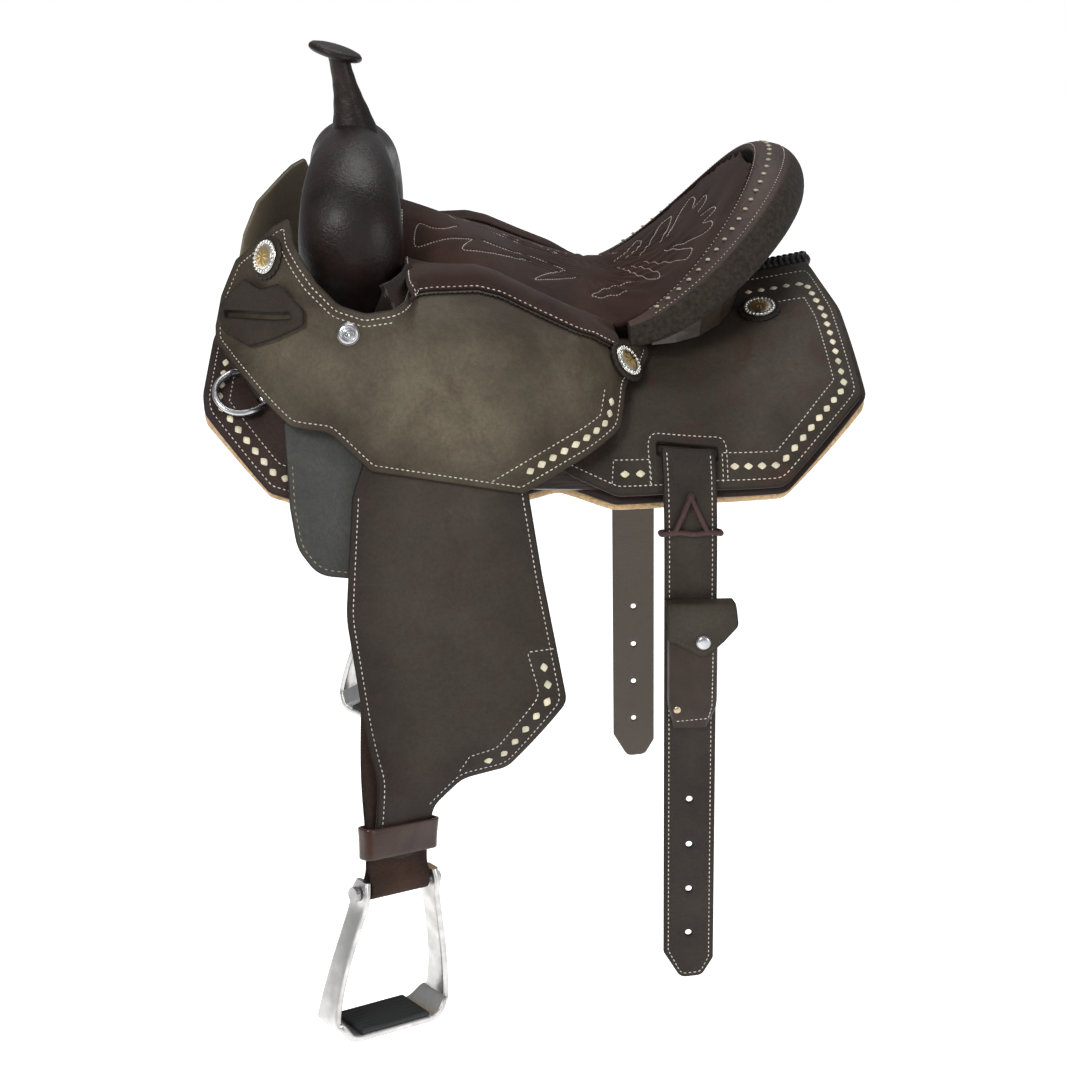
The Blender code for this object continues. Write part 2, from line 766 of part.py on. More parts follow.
def rim_frame(turn):
    """A point of the cantle's inner rim, the outward direction there, and its fullness."""
    angle = math.radians(turn)
    full = max(0.0, math.cos(angle))
    x = EAR_X + (CANTLE_X - EAR_X) * full ** 0.8
    y = CANTLE_HALF_WIDTH * math.sin(angle)
    z = EAR_Z + (CANTLE_Z - EAR_Z) * full ** 1.2
    out = Vector((full ** 0.7, math.sin(angle) * 1.0, 0.0)).normalized()
    return Vector((x, y, z)), out, full


RIM_TURNS = [-88, -82, -74, -64, -52, -40, -28, -14, 0, 14, 28, 40, 52, 64, 74, 82, 88]

ROLL_SECTION = [
    # share of the roll's width outwards, share of its depth downwards
    (0.0, 0.0), (0.36, -0.07), (0.74, 0.06), (0.97, 0.36), (1.0, 0.74),
    (0.82, 0.98), (0.52, 0.86), (0.30, 0.42),
]
ROLL_UNDERSIDE = [ROLL_SECTION[0], *reversed(ROLL_SECTION[5:])]


def build_cantle():
    """The wooden cantle board and the bound, rolled leather edge over it."""
    rolls = []
    boards = []
    for turn in RIM_TURNS:
        place, out, full = rim_frame(turn)
        size = 0.30 + 0.70 * full ** 0.6
        rolls.append([
            place + out * (u * ROLL_WIDTH * size) - Vector((0, 0, v * ROLL_DEPTH * size))
            for u, v in ROLL_SECTION
        ])
        if abs(turn) > 83:
            continue
        thick = BOARD_THICKNESS * (0.55 + 0.45 * full)
        outer = (0.003 + thick) / (ROLL_WIDTH * size)
        top = between(ROLL_UNDERSIDE, outer) * ROLL_DEPTH * size + 0.0025
        lean = 0.30 * full
        base = stand_height(place, out, thick)
        ring_points = []
        for u, level in ((0.0, 1.0), (thick, 1.0), (thick, 0.5), (thick, 0.0), (0.0, 0.0), (0.0, 0.5)):
            high = place.z - top
            z = base + (high - base) * level
            point = place + out * (0.003 + u - lean * (high - z))
            point.z = z
            ring_points.append(point)
        boards.append(ring_points)
    loft("cantle_roll", rolls, ROUGHOUT)
    loft("cantle_board", boards, WOOD)


def stand_height(place, out, thick):
    """The lowest height at which the cantle board clears the housings under it."""
    spots = [place + out * u for u in (-0.03, 0.0, thick)]
    return max(height_over(spot.x, abs(spot.y), over_housing) for spot in spots)


def over_housing(x, drop):
    """A point just above the rear housing's outer face."""
    return housing_point(x, drop, HOUSING_THICKNESS + 2.0 * GAP)


def over_bar(x, drop):
    """A point of the bar's upper face."""
    return back_point(x, drop, BAR_LIFT + bar_rise(x, drop, BAR_HALF_DEPTH + 0.004))


def height_over(x, y, surface):
    """The height of a surface over the back at a place seen from above."""
    low, high = 0.0, 0.2
    for _ in range(24):
        drop = (low + high) / 2.0
        if -surface(x, drop).y < y:
            low = drop
        else:
            high = drop
    return surface(x, low).z


# Seat and ground seat

SEAT_LINE = [
    (-0.200, 0.128), (-0.184, 0.121), (-0.150, 0.108), (-0.100, 0.086), (-0.050, 0.066),
    (0.000, 0.052), (0.050, 0.051), (0.100, 0.072), (0.140, 0.108), (0.165, 0.142),
    (0.182, 0.165),
]
SEAT_WIDTHS = [
    (-0.184, 0.082), (-0.165, 0.098), (-0.130, 0.116), (-0.090, 0.130), (-0.040, 0.143),
    (0.000, 0.151), (0.030, 0.157),
]


def rim_at(x):
    """The rim's half width and height where it passes a place along the saddle."""
    full = min(1.0, max(0.0, (x - EAR_X) / (CANTLE_X - EAR_X))) ** 1.25
    return CANTLE_HALF_WIDTH * math.sqrt(max(0.0, 1.0 - full * full)), (
        EAR_Z + (CANTLE_Z - EAR_Z) * full ** 1.2
    )


def seat_edge(x):
    """Half width and height of the seat's edge at a place along the saddle."""
    if x <= EAR_X:
        return between(SEAT_WIDTHS, x), between(SEAT_EDGE, x)
    return rim_at(x)


def seat_rings(rise, margin, front, back, edge_drop, stations, across):
    """Rows of points across the seat, from front to back, over its whole width."""
    rows = []
    for i in range(stations):
        u = i / (stations - 1)
        x = front + (back - front) * (1.0 - (1.0 - u) ** 1.35)
        width, edge = seat_edge(x)
        width -= margin
        middle = through(SEAT_LINE, x)
        row = []
        for j in range(across):
            v = 2.0 * j / (across - 1) - 1.0
            v = math.sin(v * math.pi / 2.0)
            z = middle + (edge - middle) * abs(v) ** 2.4 + rise
            z -= edge_drop * abs(v) ** 8
            row.append(Vector((x, width * v, z)))
        rows.append(row)
    return rows


def sheet_solid(name, top, bottom, look):
    """A closed solid between two grids of points."""
    rings = [one + list(reversed(two)) for one, two in zip(top, bottom)]
    return loft(name, rings, look)


def build_seat():
    """The padded seat, and the ground seat that bridges the bars under it."""
    stations, across = 18, 11
    margin = 0.0030
    back = CANTLE_X - 0.0040
    top = seat_rings(0.0, margin, SEAT_FRONT, back, 0.0, stations, across)
    under = seat_rings(-SEAT_THICKNESS, margin, SEAT_FRONT, back, 0.0, stations, across)
    for one, two in zip(top, under):
        for a, b in zip(one, two):
            share = abs(a.y) / max(abs(p.y) for p in one)
            b.z += (SEAT_THICKNESS - 0.005) * share ** 5
    sheet_solid("seat", top, under, SUEDE)

    top = []
    under = []
    for i in range(GROUND_SEAT_STATIONS):
        x = SEAT_FRONT + 0.012 + (0.128 - SEAT_FRONT - 0.012) * i / (GROUND_SEAT_STATIONS - 1)
        width, edge = seat_edge(x)
        middle = through(SEAT_LINE, x)
        upper = []
        lower = []
        for share in GROUND_SEAT_SHARES:
            y = GROUND_SEAT_HALF_WIDTH * share
            z = middle + (edge - middle) * abs(y / width) ** 2.4 - SEAT_THICKNESS - 7.0 * GAP
            floor = z - GROUND_SEAT_THICKNESS
            if abs(share) > 0.8:
                ledge = over_housing if x > 0.02 else over_bar
                floor = min(floor, height_over(x, abs(y), ledge) + LAYER_GAP)
            upper.append(Vector((x, y, z)))
            lower.append(Vector((x, y, floor)))
        top.append(upper)
        under.append(lower)
    sheet_solid("ground_seat", top, under, WOOD)


# Jockeys

JOCKEY_BEND_X = 0.0233
JOCKEY_BEND_Z = 0.015

JOCKEY_OUTLINE = [
    (-0.357, 0.010, 0.006), (-0.283, -0.050, 0.012), (-0.248, -0.055, 0.02),
    (-0.210, -0.091, 0.012), (-0.068, -0.114, 0.006), (0.026, -0.062, 0.012),
    (0.033, -0.030, 0.008), (0.052, -0.024, 0.008), (0.064, -0.012, 0.008),
    (0.060, -0.004, 0.004), (0.030, 0.004, 0.006), (0.000, 0.024, 0.02),
    (-0.050, 0.046, 0.02), (-0.087, 0.063, 0.01), (-0.107, 0.068, 0.01), (-0.172, 0.066, 0.004),
    (-0.176, 0.060, 0.004), (-0.189, 0.055, 0.012), (-0.212, 0.052, 0.02),
    (-0.236, 0.060, 0.02), (-0.256, 0.080, 0.02), (-0.277, 0.112, 0.012),
    (-0.281, 0.130, 0.004), (-0.296, 0.122, 0.004), (-0.333, 0.088, 0.012),
    (-0.350, 0.052, 0.012), (-0.357, 0.024, 0.006),
]


def build_jockey():
    """The big side jockey, which covers the fender's top and frames the swell."""
    wrapped_sheet(
        "jockey_near", filleted(JOCKEY_OUTLINE), jockey_point,
        JOCKEY_THICKNESS, OILED_LEATHER, step_u=JOCKEY_BEND_X, step_v=JOCKEY_BEND_Z,
    )


# Conchos, rosettes and seat screws

CONCHO_PLACES = {
    # the leather it lies on, its place there, and how far it beds into the leather's curve
    "front": ("jockey", -0.299, 0.097, 0.0009),
    "cantle": ("jockey", 0.031, -0.014, 0.0008),
    "rear": ("housing", 0.181, 0.029, 0.0007),
}


def fitting_frame(kind, u, v, radius):
    """Where a round fitting sits on the near side's leather, and the way it faces."""
    surface = jockey_point if kind == "jockey" else housing_point
    thickness = JOCKEY_THICKNESS if kind == "jockey" else HOUSING_THICKNESS
    axis = surface_normal(surface, u, v)
    place = surface(u, v)
    proud = 0.0
    for k in range(12):
        angle = 2.0 * math.pi * k / 12
        edge = surface(u + radius * math.cos(angle), v + radius * math.sin(angle))
        proud = max(proud, (edge - place).dot(axis))
    return place + axis * (thickness + proud + LAYER_GAP), axis


def build_conchos():
    """Berry-edged conchos, each on a scalloped leather rosette."""
    for place, (kind, u, v, bed) in CONCHO_PLACES.items():
        seat, axis = fitting_frame(kind, u, v, ROSETTE_RADIUS)
        seat -= axis * bed
        build_rosette("rosette_%s_near" % place, seat, axis)
        lift = ROSETTE_THICKNESS + GAP
        r, t = CONCHO_RADIUS, CONCHO_THICKNESS
        profile = [
            (0.0, t), (0.45 * r, 0.94 * t), (0.70 * r, 0.70 * t), (0.76 * r, 0.50 * t),
            (0.82 * r, 0.72 * t), (0.93 * r, 0.70 * t), (r, 0.32 * t), (0.97 * r, 0.0), (0.0, 0.0),
        ]
        turned("concho_%s_near" % place, profile, SILVER, seat + axis * lift, axis, sides=14)


def build_rosette(name, seat, axis):
    """A leather disc with a scalloped edge."""
    scallops = 12
    points = []
    for i in range(scallops * 2):
        radius = ROSETTE_RADIUS if i % 2 == 0 else ROSETTE_RADIUS * 0.93
        angle = math.pi * i / scallops
        points.append((radius * math.cos(angle), radius * math.sin(angle)))
    curve = bpy.data.curves.new(name, "CURVE")
    curve.dimensions = "2D"
    curve.fill_mode = "BOTH"
    curve.extrude = ROSETTE_THICKNESS / 2.0
    spline = curve.splines.new("POLY")
    spline.points.add(len(points) - 1)
    spline.use_cyclic_u = True
    for spot, (a, b) in zip(spline.points, points):
        spot.co = (a, b, 0.0, 1.0)
    disc = bpy.data.objects.new(name, curve)
    PART.objects.link(disc)
    turn = axis.to_track_quat("Z", "Y").to_matrix().to_4x4()
    disc.matrix_world = Matrix.Translation(seat + axis * ROSETTE_THICKNESS / 2.0) @ turn
    disc = baked(disc)
    disc.data.materials.clear()
    disc.data.materials.append(finish_material(name, *DARK_LEATHER))


def build_seat_screw():
    """The cup washer and screw that hold the jockey to the tree below the swell."""
    seat, axis = fitting_frame("jockey", -0.228, 0.034, SCREW_RADIUS)
    r = SCREW_RADIUS
    profile = [
        (0.0, 0.0042), (0.30 * r, 0.0040), (0.46 * r, 0.0028), (0.60 * r, 0.0030),
        (0.84 * r, 0.0028), (r, 0.0010), (r, 0.0), (0.0, 0.0),
    ]
    turned("seat_screw_near", profile, STEEL, seat, axis, sides=12)


# Front rigging

DEE_PLACE = (-0.3195, 0.0885)


def rigging_point(x, drop, lift):
    """A point over the skirt, under the front jockey."""
    return back_point(x, drop, BAR_LIFT + lift)


def dee_axes():
    """The middle of the dee's bar, the way along it, and the way the ring hangs."""
    x, drop = DEE_PLACE
    middle = rigging_point(x, drop, DEE_WIRE_RADIUS + 0.0025)
    along = rigging_point(x + 0.0085, drop + 0.0075, 0.0)
    along -= rigging_point(x - 0.0085, drop - 0.0075, 0.0)
    along.normalize()
    normal = surface_normal(lambda u, v: rigging_point(u, v, 0.0), x, drop)
    hang = along.cross(normal).normalized()
    if hang.x > 0.0:
        hang = -hang
    return middle, along, hang, normal


def build_rigging():
    """The dee ring, and the leather loop sewn to the skirt that holds its bar."""
    middle, along, hang, normal = dee_axes()
    half = DEE_WIDTH / 2.0
    points = []
    for i in range(15):
        angle = math.pi * i / 14
        reach = 0.008 + (DEE_DEPTH - 0.008) * math.sin(angle) ** 0.75
        if i in (0, 14):
            reach = 0.0
        points.append(middle - along * half * math.cos(angle) * (0.86 if i in (0, 14) else 1.0)
                      + hang * reach)
    curve = bpy.data.curves.new("rigging_dee_near", "CURVE")
    curve.dimensions = "3D"
    curve.bevel_depth = DEE_WIRE_RADIUS
    curve.bevel_resolution = 1
    spline = curve.splines.new("POLY")
    spline.points.add(len(points) - 1)
    spline.use_cyclic_u = True
    for spot, point in zip(spline.points, points):
        spot.co = (*point, 1.0)
    dee = bpy.data.objects.new("rigging_dee_near", curve)
    PART.objects.link(dee)
    dee = baked(dee)
    dee.data.materials.append(finish_material("rigging_dee_near", *STEEL))
    hang_on("dee_pivot_near", middle, [dee])

    sleeve_half = 0.0135
    inner = DEE_WIRE_RADIUS + PIVOT_GAP
    outer = inner + 0.0022
    sides = 12
    rings = []
    for radius, place in ((outer, -1), (outer, 1), (inner, 1), (inner, -1)):
        rings.append([
            middle + along * sleeve_half * place
            + hang * radius * math.cos(2 * math.pi * k / sides)
            + normal * radius * math.sin(2 * math.pi * k / sides)
            for k in range(sides)
        ])
    sleeve = loft("rigging_sleeve", rings, OILED_LEATHER, closed_path=True)
    tail = []
    for u, w in ((0.003, 1), (0.042, 1), (0.042, -1), (0.003, -1)):
        spot = middle - hang * u + along * sleeve_half * w
        tail.append(spot)
    strip = []
    for lift in (-DEE_WIRE_RADIUS - 0.0018, -DEE_WIRE_RADIUS + 0.0016):
        strip.append([p + normal * lift for p in tail])
    strap = loft("rigging_loop_near", strip, OILED_LEATHER)
    as_cutter(sleeve)
    add_boolean(strap, "UNION", sleeve)
    baked(strap)


def build_leg_flap():
    """The smooth leather flap between the front skirt and the fender."""
    outline = filleted([
        (-0.291, -0.100), (-0.287, -0.019, 0.05), (-0.281, 0.020, 0.04), (-0.262, 0.046, 0.03),
        (-0.225, 0.050, 0.02), (-0.165, 0.050, 0.01), (-0.165, -0.020), (-0.240, -0.100),
    ])
    wrapped_sheet(
        "leg_flap_near", outline, hang_point, FLAP_THICKNESS, GREY_LEATHER,
    )


KEEPER_HINGE = ((-0.318, 0.076), (-0.276, 0.082))


def build_keeper():
    """The latigo keeper, a shield of leather with a slot, hung under the front concho."""
    outline = filleted([
        (-0.318, 0.074, 0.004), (-0.302, 0.069, 0.012), (-0.284, 0.078, 0.004),
        (-0.267, 0.056, 0.008), (-0.267, 0.042, 0.006), (-0.288, 0.028, 0.006),
        (-0.316, 0.012, 0.004), (-0.345, 0.018, 0.008), (-0.349, 0.040, 0.008),
        (-0.332, 0.060, 0.008),
    ])
    slot = filleted([
        (-0.340, 0.0335, 0.0015), (-0.276, 0.0475, 0.0015),
        (-0.277, 0.0535, 0.0015), (-0.341, 0.0395, 0.0015),
    ], 1)
    above = JOCKEY_THICKNESS + 4.0 * LAYER_GAP
    keeper = wrapped_sheet(
        "latigo_keeper_near", outline, lambda x, z, lift: jockey_point(x, z, above + lift),
        KEEPER_THICKNESS, OILED_LEATHER, holes=[slot], step_u=JOCKEY_BEND_X, step_v=JOCKEY_BEND_Z,
    )
    hang_on("keeper_pivot_near", jockey_point(*KEEPER_HINGE[0], above), [keeper])


# Fender, stirrup leather and hobble strap

def leather_middle(down_by):
    """Where the stirrup leather's middle runs, leaning from the hinge to the bolt."""
    share = (down_by - HINGE_DOWN) / (BOLT_DOWN - HINGE_DOWN)
    return HINGE_X - LEATHER_LEAN * share


def twisted(x, down_by, out_by):
    """A point of the fender's plane, turned with the leather towards the stirrup."""
    turn = math.radians(STIRRUP_TURN) * smooth_step(TWIST_START, TWIST_END, down_by)
    middle = leather_middle(down_by)
    side = x - middle
    depth = out_by - STRAP_MIDDLE
    return hang_point(
        middle + side * math.cos(turn) + depth * math.sin(turn),
        down_by,
        STRAP_MIDDLE + depth * math.cos(turn) - side * math.sin(turn),
    )


FENDER_OUTLINE = [
    (-0.206, -0.092, 0.02), (-0.192, -0.116, 0.02), (-0.144, -0.116, 0.02),
    (-0.116, -0.092, 0.03), (-0.066, -0.055, 0.05), (-0.050, 0.050, 0.08),
    (-0.028, 0.170, 0.018), (-0.083, 0.238, 0.02), (-0.128, 0.246, 0.03),
    (-0.157, 0.272, 0.02), (-0.159, 0.312, 0.006), (-0.192, 0.319, 0.008),
    (-0.226, 0.312, 0.006), (-0.214, 0.240, 0.05), (-0.236, 0.085, 0.12),
    (-0.228, -0.030, 0.06),
]


TWIST_ROOM = 0.001
FENDER_ROOM = 0.0046
TWIST_STEPS = 7
TWIST_ROWS = [
    TWIST_START + (TWIST_END - TWIST_START) * k / TWIST_STEPS for k in range(TWIST_STEPS + 1)
]


def twist_share(down_by):
    """How far into its twist the leather is: 0 at both ends and 1 in the middle."""
    share = min(1.0, max(0.0, (down_by - TWIST_START) / (TWIST_END - TWIST_START)))
    return math.sin(math.pi * share) ** 2


def build_fender():
    """The fender, its stirrup leather, and the hobble strap that binds them."""
    fender = wrapped_sheet(
        "fender_near", filleted(FENDER_OUTLINE),
        lambda x, t, lift: twisted(x, t, FENDER_OUT + FENDER_ROOM * twist_share(t) + lift),
        FENDER_THICKNESS, OILED_LEATHER, step_u=LEATHER_WIDTH / 2.0, rows=TWIST_ROWS,
    )

    eye = STIRRUP_BOLT_RADIUS + 2.0 * GAP
    run = BOLT_DOWN - HINGE_DOWN
    turn_length = math.pi * (eye + STRAP_THICKNESS / 2.0)

    def strap_point(x, s, lift):
        """A point of the strap, which runs down, round the bolt and up again."""
        if run < s < run + turn_length:
            angle = math.pi * (s - run) / turn_length
            t = BOLT_DOWN + (eye + lift) * math.sin(angle)
            n = STRAP_MIDDLE + (eye + lift) * math.cos(angle)
        else:
            outer = s <= run
            t = HINGE_DOWN + (s if outer else 2.0 * run + turn_length - s)
            near = smooth_step(BOLT_DOWN - EYE_FLARE, BOLT_DOWN - 0.003, t)
            half = GAP / 2.0 + (eye - GAP / 2.0) * near + TWIST_ROOM * twist_share(t) + lift
            n = STRAP_MIDDLE + (half if outer else -half)
        return twisted(leather_middle(t) + x, t, n)

    half = LEATHER_WIDTH / 2.0
    whole = 2.0 * run + turn_length
    outline = [
        Vector((-half * math.cos(math.pi * i / 8), -half * math.sin(math.pi * i / 8)))
        for i in range(9)
    ]
    outline += [Vector((-p.x, whole - p.y)) for p in outline]
    one_strand = [t - HINGE_DOWN for t in TWIST_ROWS]
    one_strand += [run - EYE_FLARE, run - 0.67 * EYE_FLARE, run - 0.33 * EYE_FLARE, run]
    rows = one_strand + [whole - place for place in one_strand]
    rows += [run + turn_length * k / 6 for k in range(1, 6)]
    leather = wrapped_sheet(
        "stirrup_leather_near", outline, strap_point, STRAP_THICKNESS, FLESH_LEATHER,
        step_u=half, rows=rows,
    )
    hobble = build_hobble()
    hang_on(
        "fender_pivot_near", hang_point(HINGE_X, HINGE_DOWN, STRAP_MIDDLE),
        [fender, leather, hobble],
    )


def build_hobble():
    """The hobble strap, a band round the fender's neck and the stirrup leather."""
    low = STRAP_MIDDLE - STRAP_THICKNESS - 2.5 * GAP
    high = FENDER_OUT + FENDER_THICKNESS + 4.0 * GAP
    half = LEATHER_WIDTH / 2.0 + 0.0050
    corner = 0.004
    loop = filleted([
        (-half, low, corner), (half, low, corner), (half, high, corner), (-half, high, corner),
    ], 2)
    dense = []
    for a, b in zip(loop, loop[1:] + loop[:1]):
        parts = max(1, round((b - a).length / 0.02))
        dense += [a + (b - a) * k / parts for k in range(parts)]
    bm = bmesh.new()
    rows = []
    for k in range(3):
        t = HOBBLE_DOWN + HOBBLE_HEIGHT * k / 2
        room = twist_share(t)
        rows.append([
            bm.verts.new(twisted(
                leather_middle(t) + p.x, t,
                p.y + (FENDER_ROOM if p.y > STRAP_MIDDLE else -TWIST_ROOM) * room,
            ))
            for p in dense
        ])
    for one, two in zip(rows, rows[1:]):
        for i in range(len(one)):
            j = (i + 1) % len(one)
            bm.faces.new((one[i], two[i], two[j], one[j]))
    bm.normal_update()
    centre = sum((v.co for v in bm.verts), Vector()) / len(bm.verts)
    first = bm.faces[:][0]
    if first.normal.dot(first.calc_center_median() - centre) < 0.0:
        bmesh.ops.reverse_faces(bm, faces=bm.faces)
    hobble = add_object("hobble_strap_near", bm, DARK_LEATHER)
    add_solidify(hobble, 0.0028)
    return hobble


# Stirrup

def stirrup_axes():
    """The bolt's middle, and the near stirrup's across, down and depth directions."""
    place = twisted(leather_middle(BOLT_DOWN), BOLT_DOWN, STRAP_MIDDLE)
    ahead = twisted(leather_middle(BOLT_DOWN) + 0.01, BOLT_DOWN, STRAP_MIDDLE)
    across = (ahead - place).normalized()
    down = Vector((0.0, 0.0, -1.0))
    down = (down - across * down.dot(across)).normalized()
    return place, across, down, across.cross(down).normalized()


def stirrup_path():
    """The stirrup's half outline from the ear down to the middle of the tread."""
    top = STIRRUP_TOP_WIDTH / 2.0 - STIRRUP_WALL / 2.0
    wide = STIRRUP_WIDTH / 2.0 - STIRRUP_WALL / 2.0
    low = STIRRUP_HEIGHT
    leg = STIRRUP_LEG_DEPTH
    tread = STIRRUP_TREAD_DEPTH
    return [
        (top - 0.002, -0.012, 0.016), (top, 0.000, leg * 0.92), (top + 0.001, 0.014, leg * 0.9),
        (top + (wide - top) * 0.35, 0.040, leg * 0.86),
        (top + (wide - top) * 0.68, 0.070, leg * 0.90),
        (top + (wide - top) * 0.92, 0.100, leg), (wide, 0.124, leg * 1.2),
        (wide - 0.004, low - 0.013, tread * 0.86), (wide - 0.013, low - 0.003, tread),
        (wide - 0.024, low, tread), (0.5 * wide, low, tread),
    ]


def build_stirrup():
    """The cast stirrup, its rubber tread and the bolt that the leather turns on."""
    place, across, down, depth = stirrup_axes()
    half = stirrup_path()
    path = half + [(-a, h, c) for a, h, c in reversed(half)]
    rings = []
    for i, (a, h, c) in enumerate(path):
        before, after = path[max(0, i - 1)], path[min(len(path) - 1, i + 1)]
        along = Vector((after[0] - before[0], after[1] - before[1])).normalized()
        side = Vector((along.y, -along.x))
        t = STIRRUP_WALL / 2.0
        chamfer = 0.0018
        ring_points = []
        for n, w in (
            (t, c / 2 - chamfer), (t - chamfer, c / 2), (-t + chamfer, c / 2), (-t, c / 2 - chamfer),
            (-t, -c / 2 + chamfer), (-t + chamfer, -c / 2), (t - chamfer, -c / 2), (t, -c / 2 + chamfer),
        ):
            ring_points.append(
                place + across * (a + side.x * n) + down * (h + side.y * n) + depth * w
            )
        rings.append(ring_points)
    stirrup = loft("stirrup_near", rings, ALUMINIUM)

    bore = turned(
        "bolt_bore", [(0.0, 0.06), (STIRRUP_BOLT_RADIUS + 0.0003, 0.06),
                      (STIRRUP_BOLT_RADIUS + 0.0003, -0.06), (0.0, -0.06)],
        STEEL, place, across, sides=16,
    )
    bore = baked(bore)
    as_cutter(bore)
    add_boolean(stirrup, "DIFFERENCE", bore)
    baked(stirrup)

    face = STIRRUP_TOP_WIDTH / 2.0 + 2.5 * GAP
    r = STIRRUP_BOLT_RADIUS
    profile = [
        (0.0, face + 0.0035), (1.5 * r, face + 0.0032), (1.9 * r, face + 0.0016),
        (1.9 * r, face), (r, face), (r, -face), (1.8 * r, -face), (1.8 * r, -face - 0.005),
        (0.0, -face - 0.005),
    ]
    bolt = turned("stirrup_bolt_near", profile, STEEL, place, across, sides=16)

    floor = STIRRUP_HEIGHT - STIRRUP_WALL / 2.0 - GAP
    half_length = STIRRUP_WIDTH / 2.0 - 0.0285
    width = STIRRUP_TREAD_DEPTH - 0.003
    section = [(-width / 2, floor), (-width / 2, floor - PAD_THICKNESS + 0.0012)]
    pitch = width / PAD_RIBS
    for k in range(PAD_RIBS):
        start = -width / 2 + k * pitch
        section.append((start + 0.22 * pitch, floor - PAD_THICKNESS))
        section.append((start + 0.72 * pitch, floor - PAD_THICKNESS))
        if k < PAD_RIBS - 1:
            section.append((start + pitch, floor - PAD_THICKNESS + 0.0014))
    section += [(width / 2, floor - PAD_THICKNESS + 0.0012), (width / 2, floor)]
    rings = [
        [place + across * a + down * h + depth * w for w, h in section]
        for a in (-half_length, half_length)
    ]
    pad = loft("tread_pad_near", rings, RUBBER)
    hang_on("stirrup_pivot_near", place, [stirrup, bolt, pad])


# Billet, tie and pouch

def billet_line(s):
    """The billet's side view: a place along it gives a point and its outward normal."""
    lift = HOUSING_LIFT + HOUSING_THICKNESS + 4.0 * LAYER_GAP
    drop = BILLET_DROP
    edge_run = 0.034
    step = 0.002
    point = housing_side(drop, lift)
    before = point
    gone = 0.0
    while gone < min(s, edge_run):
        drop += step * 0.78
        before = point
        point = housing_side(drop, lift)
        gone += (point - before).length
    if s <= edge_run:
        ahead = housing_side(drop + 0.001, lift) - housing_side(drop - 0.001, lift)
        ahead.normalize()
        return point, Vector((0.0, ahead.z, -ahead.y))
    ahead = housing_side(drop + 0.001, lift) - housing_side(drop - 0.001, lift)
    angle = math.atan2(-ahead.y, -ahead.z)
    bend_run = 0.10
    left = s - edge_run
    steps = 24
    for k in range(steps):
        share = min(1.0, (k + 0.5) / steps * left / bend_run)
        lean = angle * (1.0 - share) ** 2
        point = point + Vector((0.0, -math.sin(lean), -math.cos(lean))) * left / steps
    lean = angle * (1.0 - min(1.0, left / bend_run)) ** 2
    return point, Vector((0.0, -math.cos(lean), math.sin(lean)))


def housing_side(drop, lift):
    """A point over the housing, at the billet's place along the saddle."""
    return back_point(BILLET_X, drop, lift + housing_rise(BILLET_X, drop))


def billet_point(x, s, lift=0.0):
    """A point of the billet: across it, down it, and above its inner face."""
    point, out = billet_line(s)
    lean = BILLET_LEAN * s / BILLET_LENGTH
    share = 1.0 - smooth_step(0.03, 0.09, s)
    ridge_rise = 2.0 * BACK_DIP * BILLET_X * x * share
    downwards = Vector((0.0, -out.z, out.y)) * BILLET_SLANT * x * share
    place = Vector((BILLET_X + x + lean, point.y, point.z + ridge_rise))
    return place + downwards + out * lift


def build_billet():
    """The rear billet, punched and pointed, which hangs from the housing's slot."""
    half = BILLET_WIDTH / 2.0
    length = BILLET_LENGTH
    outline = filleted([
        (-half, 0.0), (half, 0.0), (half, length - 0.022, 0.006), (0.014, length - 0.002, 0.01),
        (-0.008, length, 0.01), (-half, length - 0.030, 0.006),
    ])
    holes = [ring((0.0, length - 0.052 - 0.050 * k), BILLET_HOLE_RADIUS, 8) for k in range(4)]
    bends = [0.009, 0.018, 0.027, 0.034, 0.044, 0.055, 0.068, 0.084, 0.104, 0.134]
    billet = wrapped_sheet(
        "billet_near", outline, billet_point, BILLET_THICKNESS, OILED_LEATHER,
        holes=holes, rows=bends,
    )
    tie = build_tie()
    hang_on("billet_pivot_near", billet_point(0.0, 0.0), [billet, tie])


def curve_tube(name, loops, radius, look):
    """A tube along each of some routes, made one mesh object."""
    curve = bpy.data.curves.new(name, "CURVE")
    curve.dimensions = "3D"
    curve.bevel_depth = radius
    curve.bevel_resolution = 1
    curve.use_fill_caps = True
    for points, cyclic in loops:
        spline = curve.splines.new("POLY")
        spline.points.add(len(points) - 1)
        spline.use_cyclic_u = cyclic
        for spot, point in zip(spline.points, points):
            spot.co = (*point, 1.0)
    made = bpy.data.objects.new(name, curve)
    PART.objects.link(made)
    made = baked(made)
    made.data.materials.append(finish_material(name, *look))
    return made


def build_tie():
    """The thong tied round the billet, with its two ends drawn up to a hole above."""
    at = 0.078
    half = BILLET_WIDTH / 2.0 + TIE_RADIUS + 0.0008
    front = BILLET_THICKNESS + TIE_RADIUS + 0.0008
    back = -TIE_RADIUS - 0.0008
    bend = 0.003
    loop = filleted([
        (-half, back, bend), (half, back, bend), (half, front, bend), (-half, front, bend),
    ], 2)
    band = curve_tube(
        "billet_tie_near", [([billet_point(p.x, at, p.y) for p in loop], True)],
        TIE_RADIUS, DARK_LEATHER,
    )
    ends = []
    for side in (-1.0, 1.0):
        ends.append([
            billet_point(0.016 * side * (1 - u), at - 0.034 * u, front + 0.0004 * u)
            for u in (0.0, 0.35, 0.7, 1.0)
        ])
    thong = ends[0] + list(reversed(ends[1]))[1:]
    vee = curve_tube("tie_vee", [(thong, False)], TIE_RADIUS * 0.92, DARK_LEATHER)
    as_cutter(vee)
    add_boolean(band, "UNION", vee)
    return baked(band)


def pouch_frame(x, s, lift):
    """A point of the pouch, measured from the middle of its top edge on the billet."""
    return billet_point(x, POUCH_DOWN + s, BILLET_THICKNESS + lift)


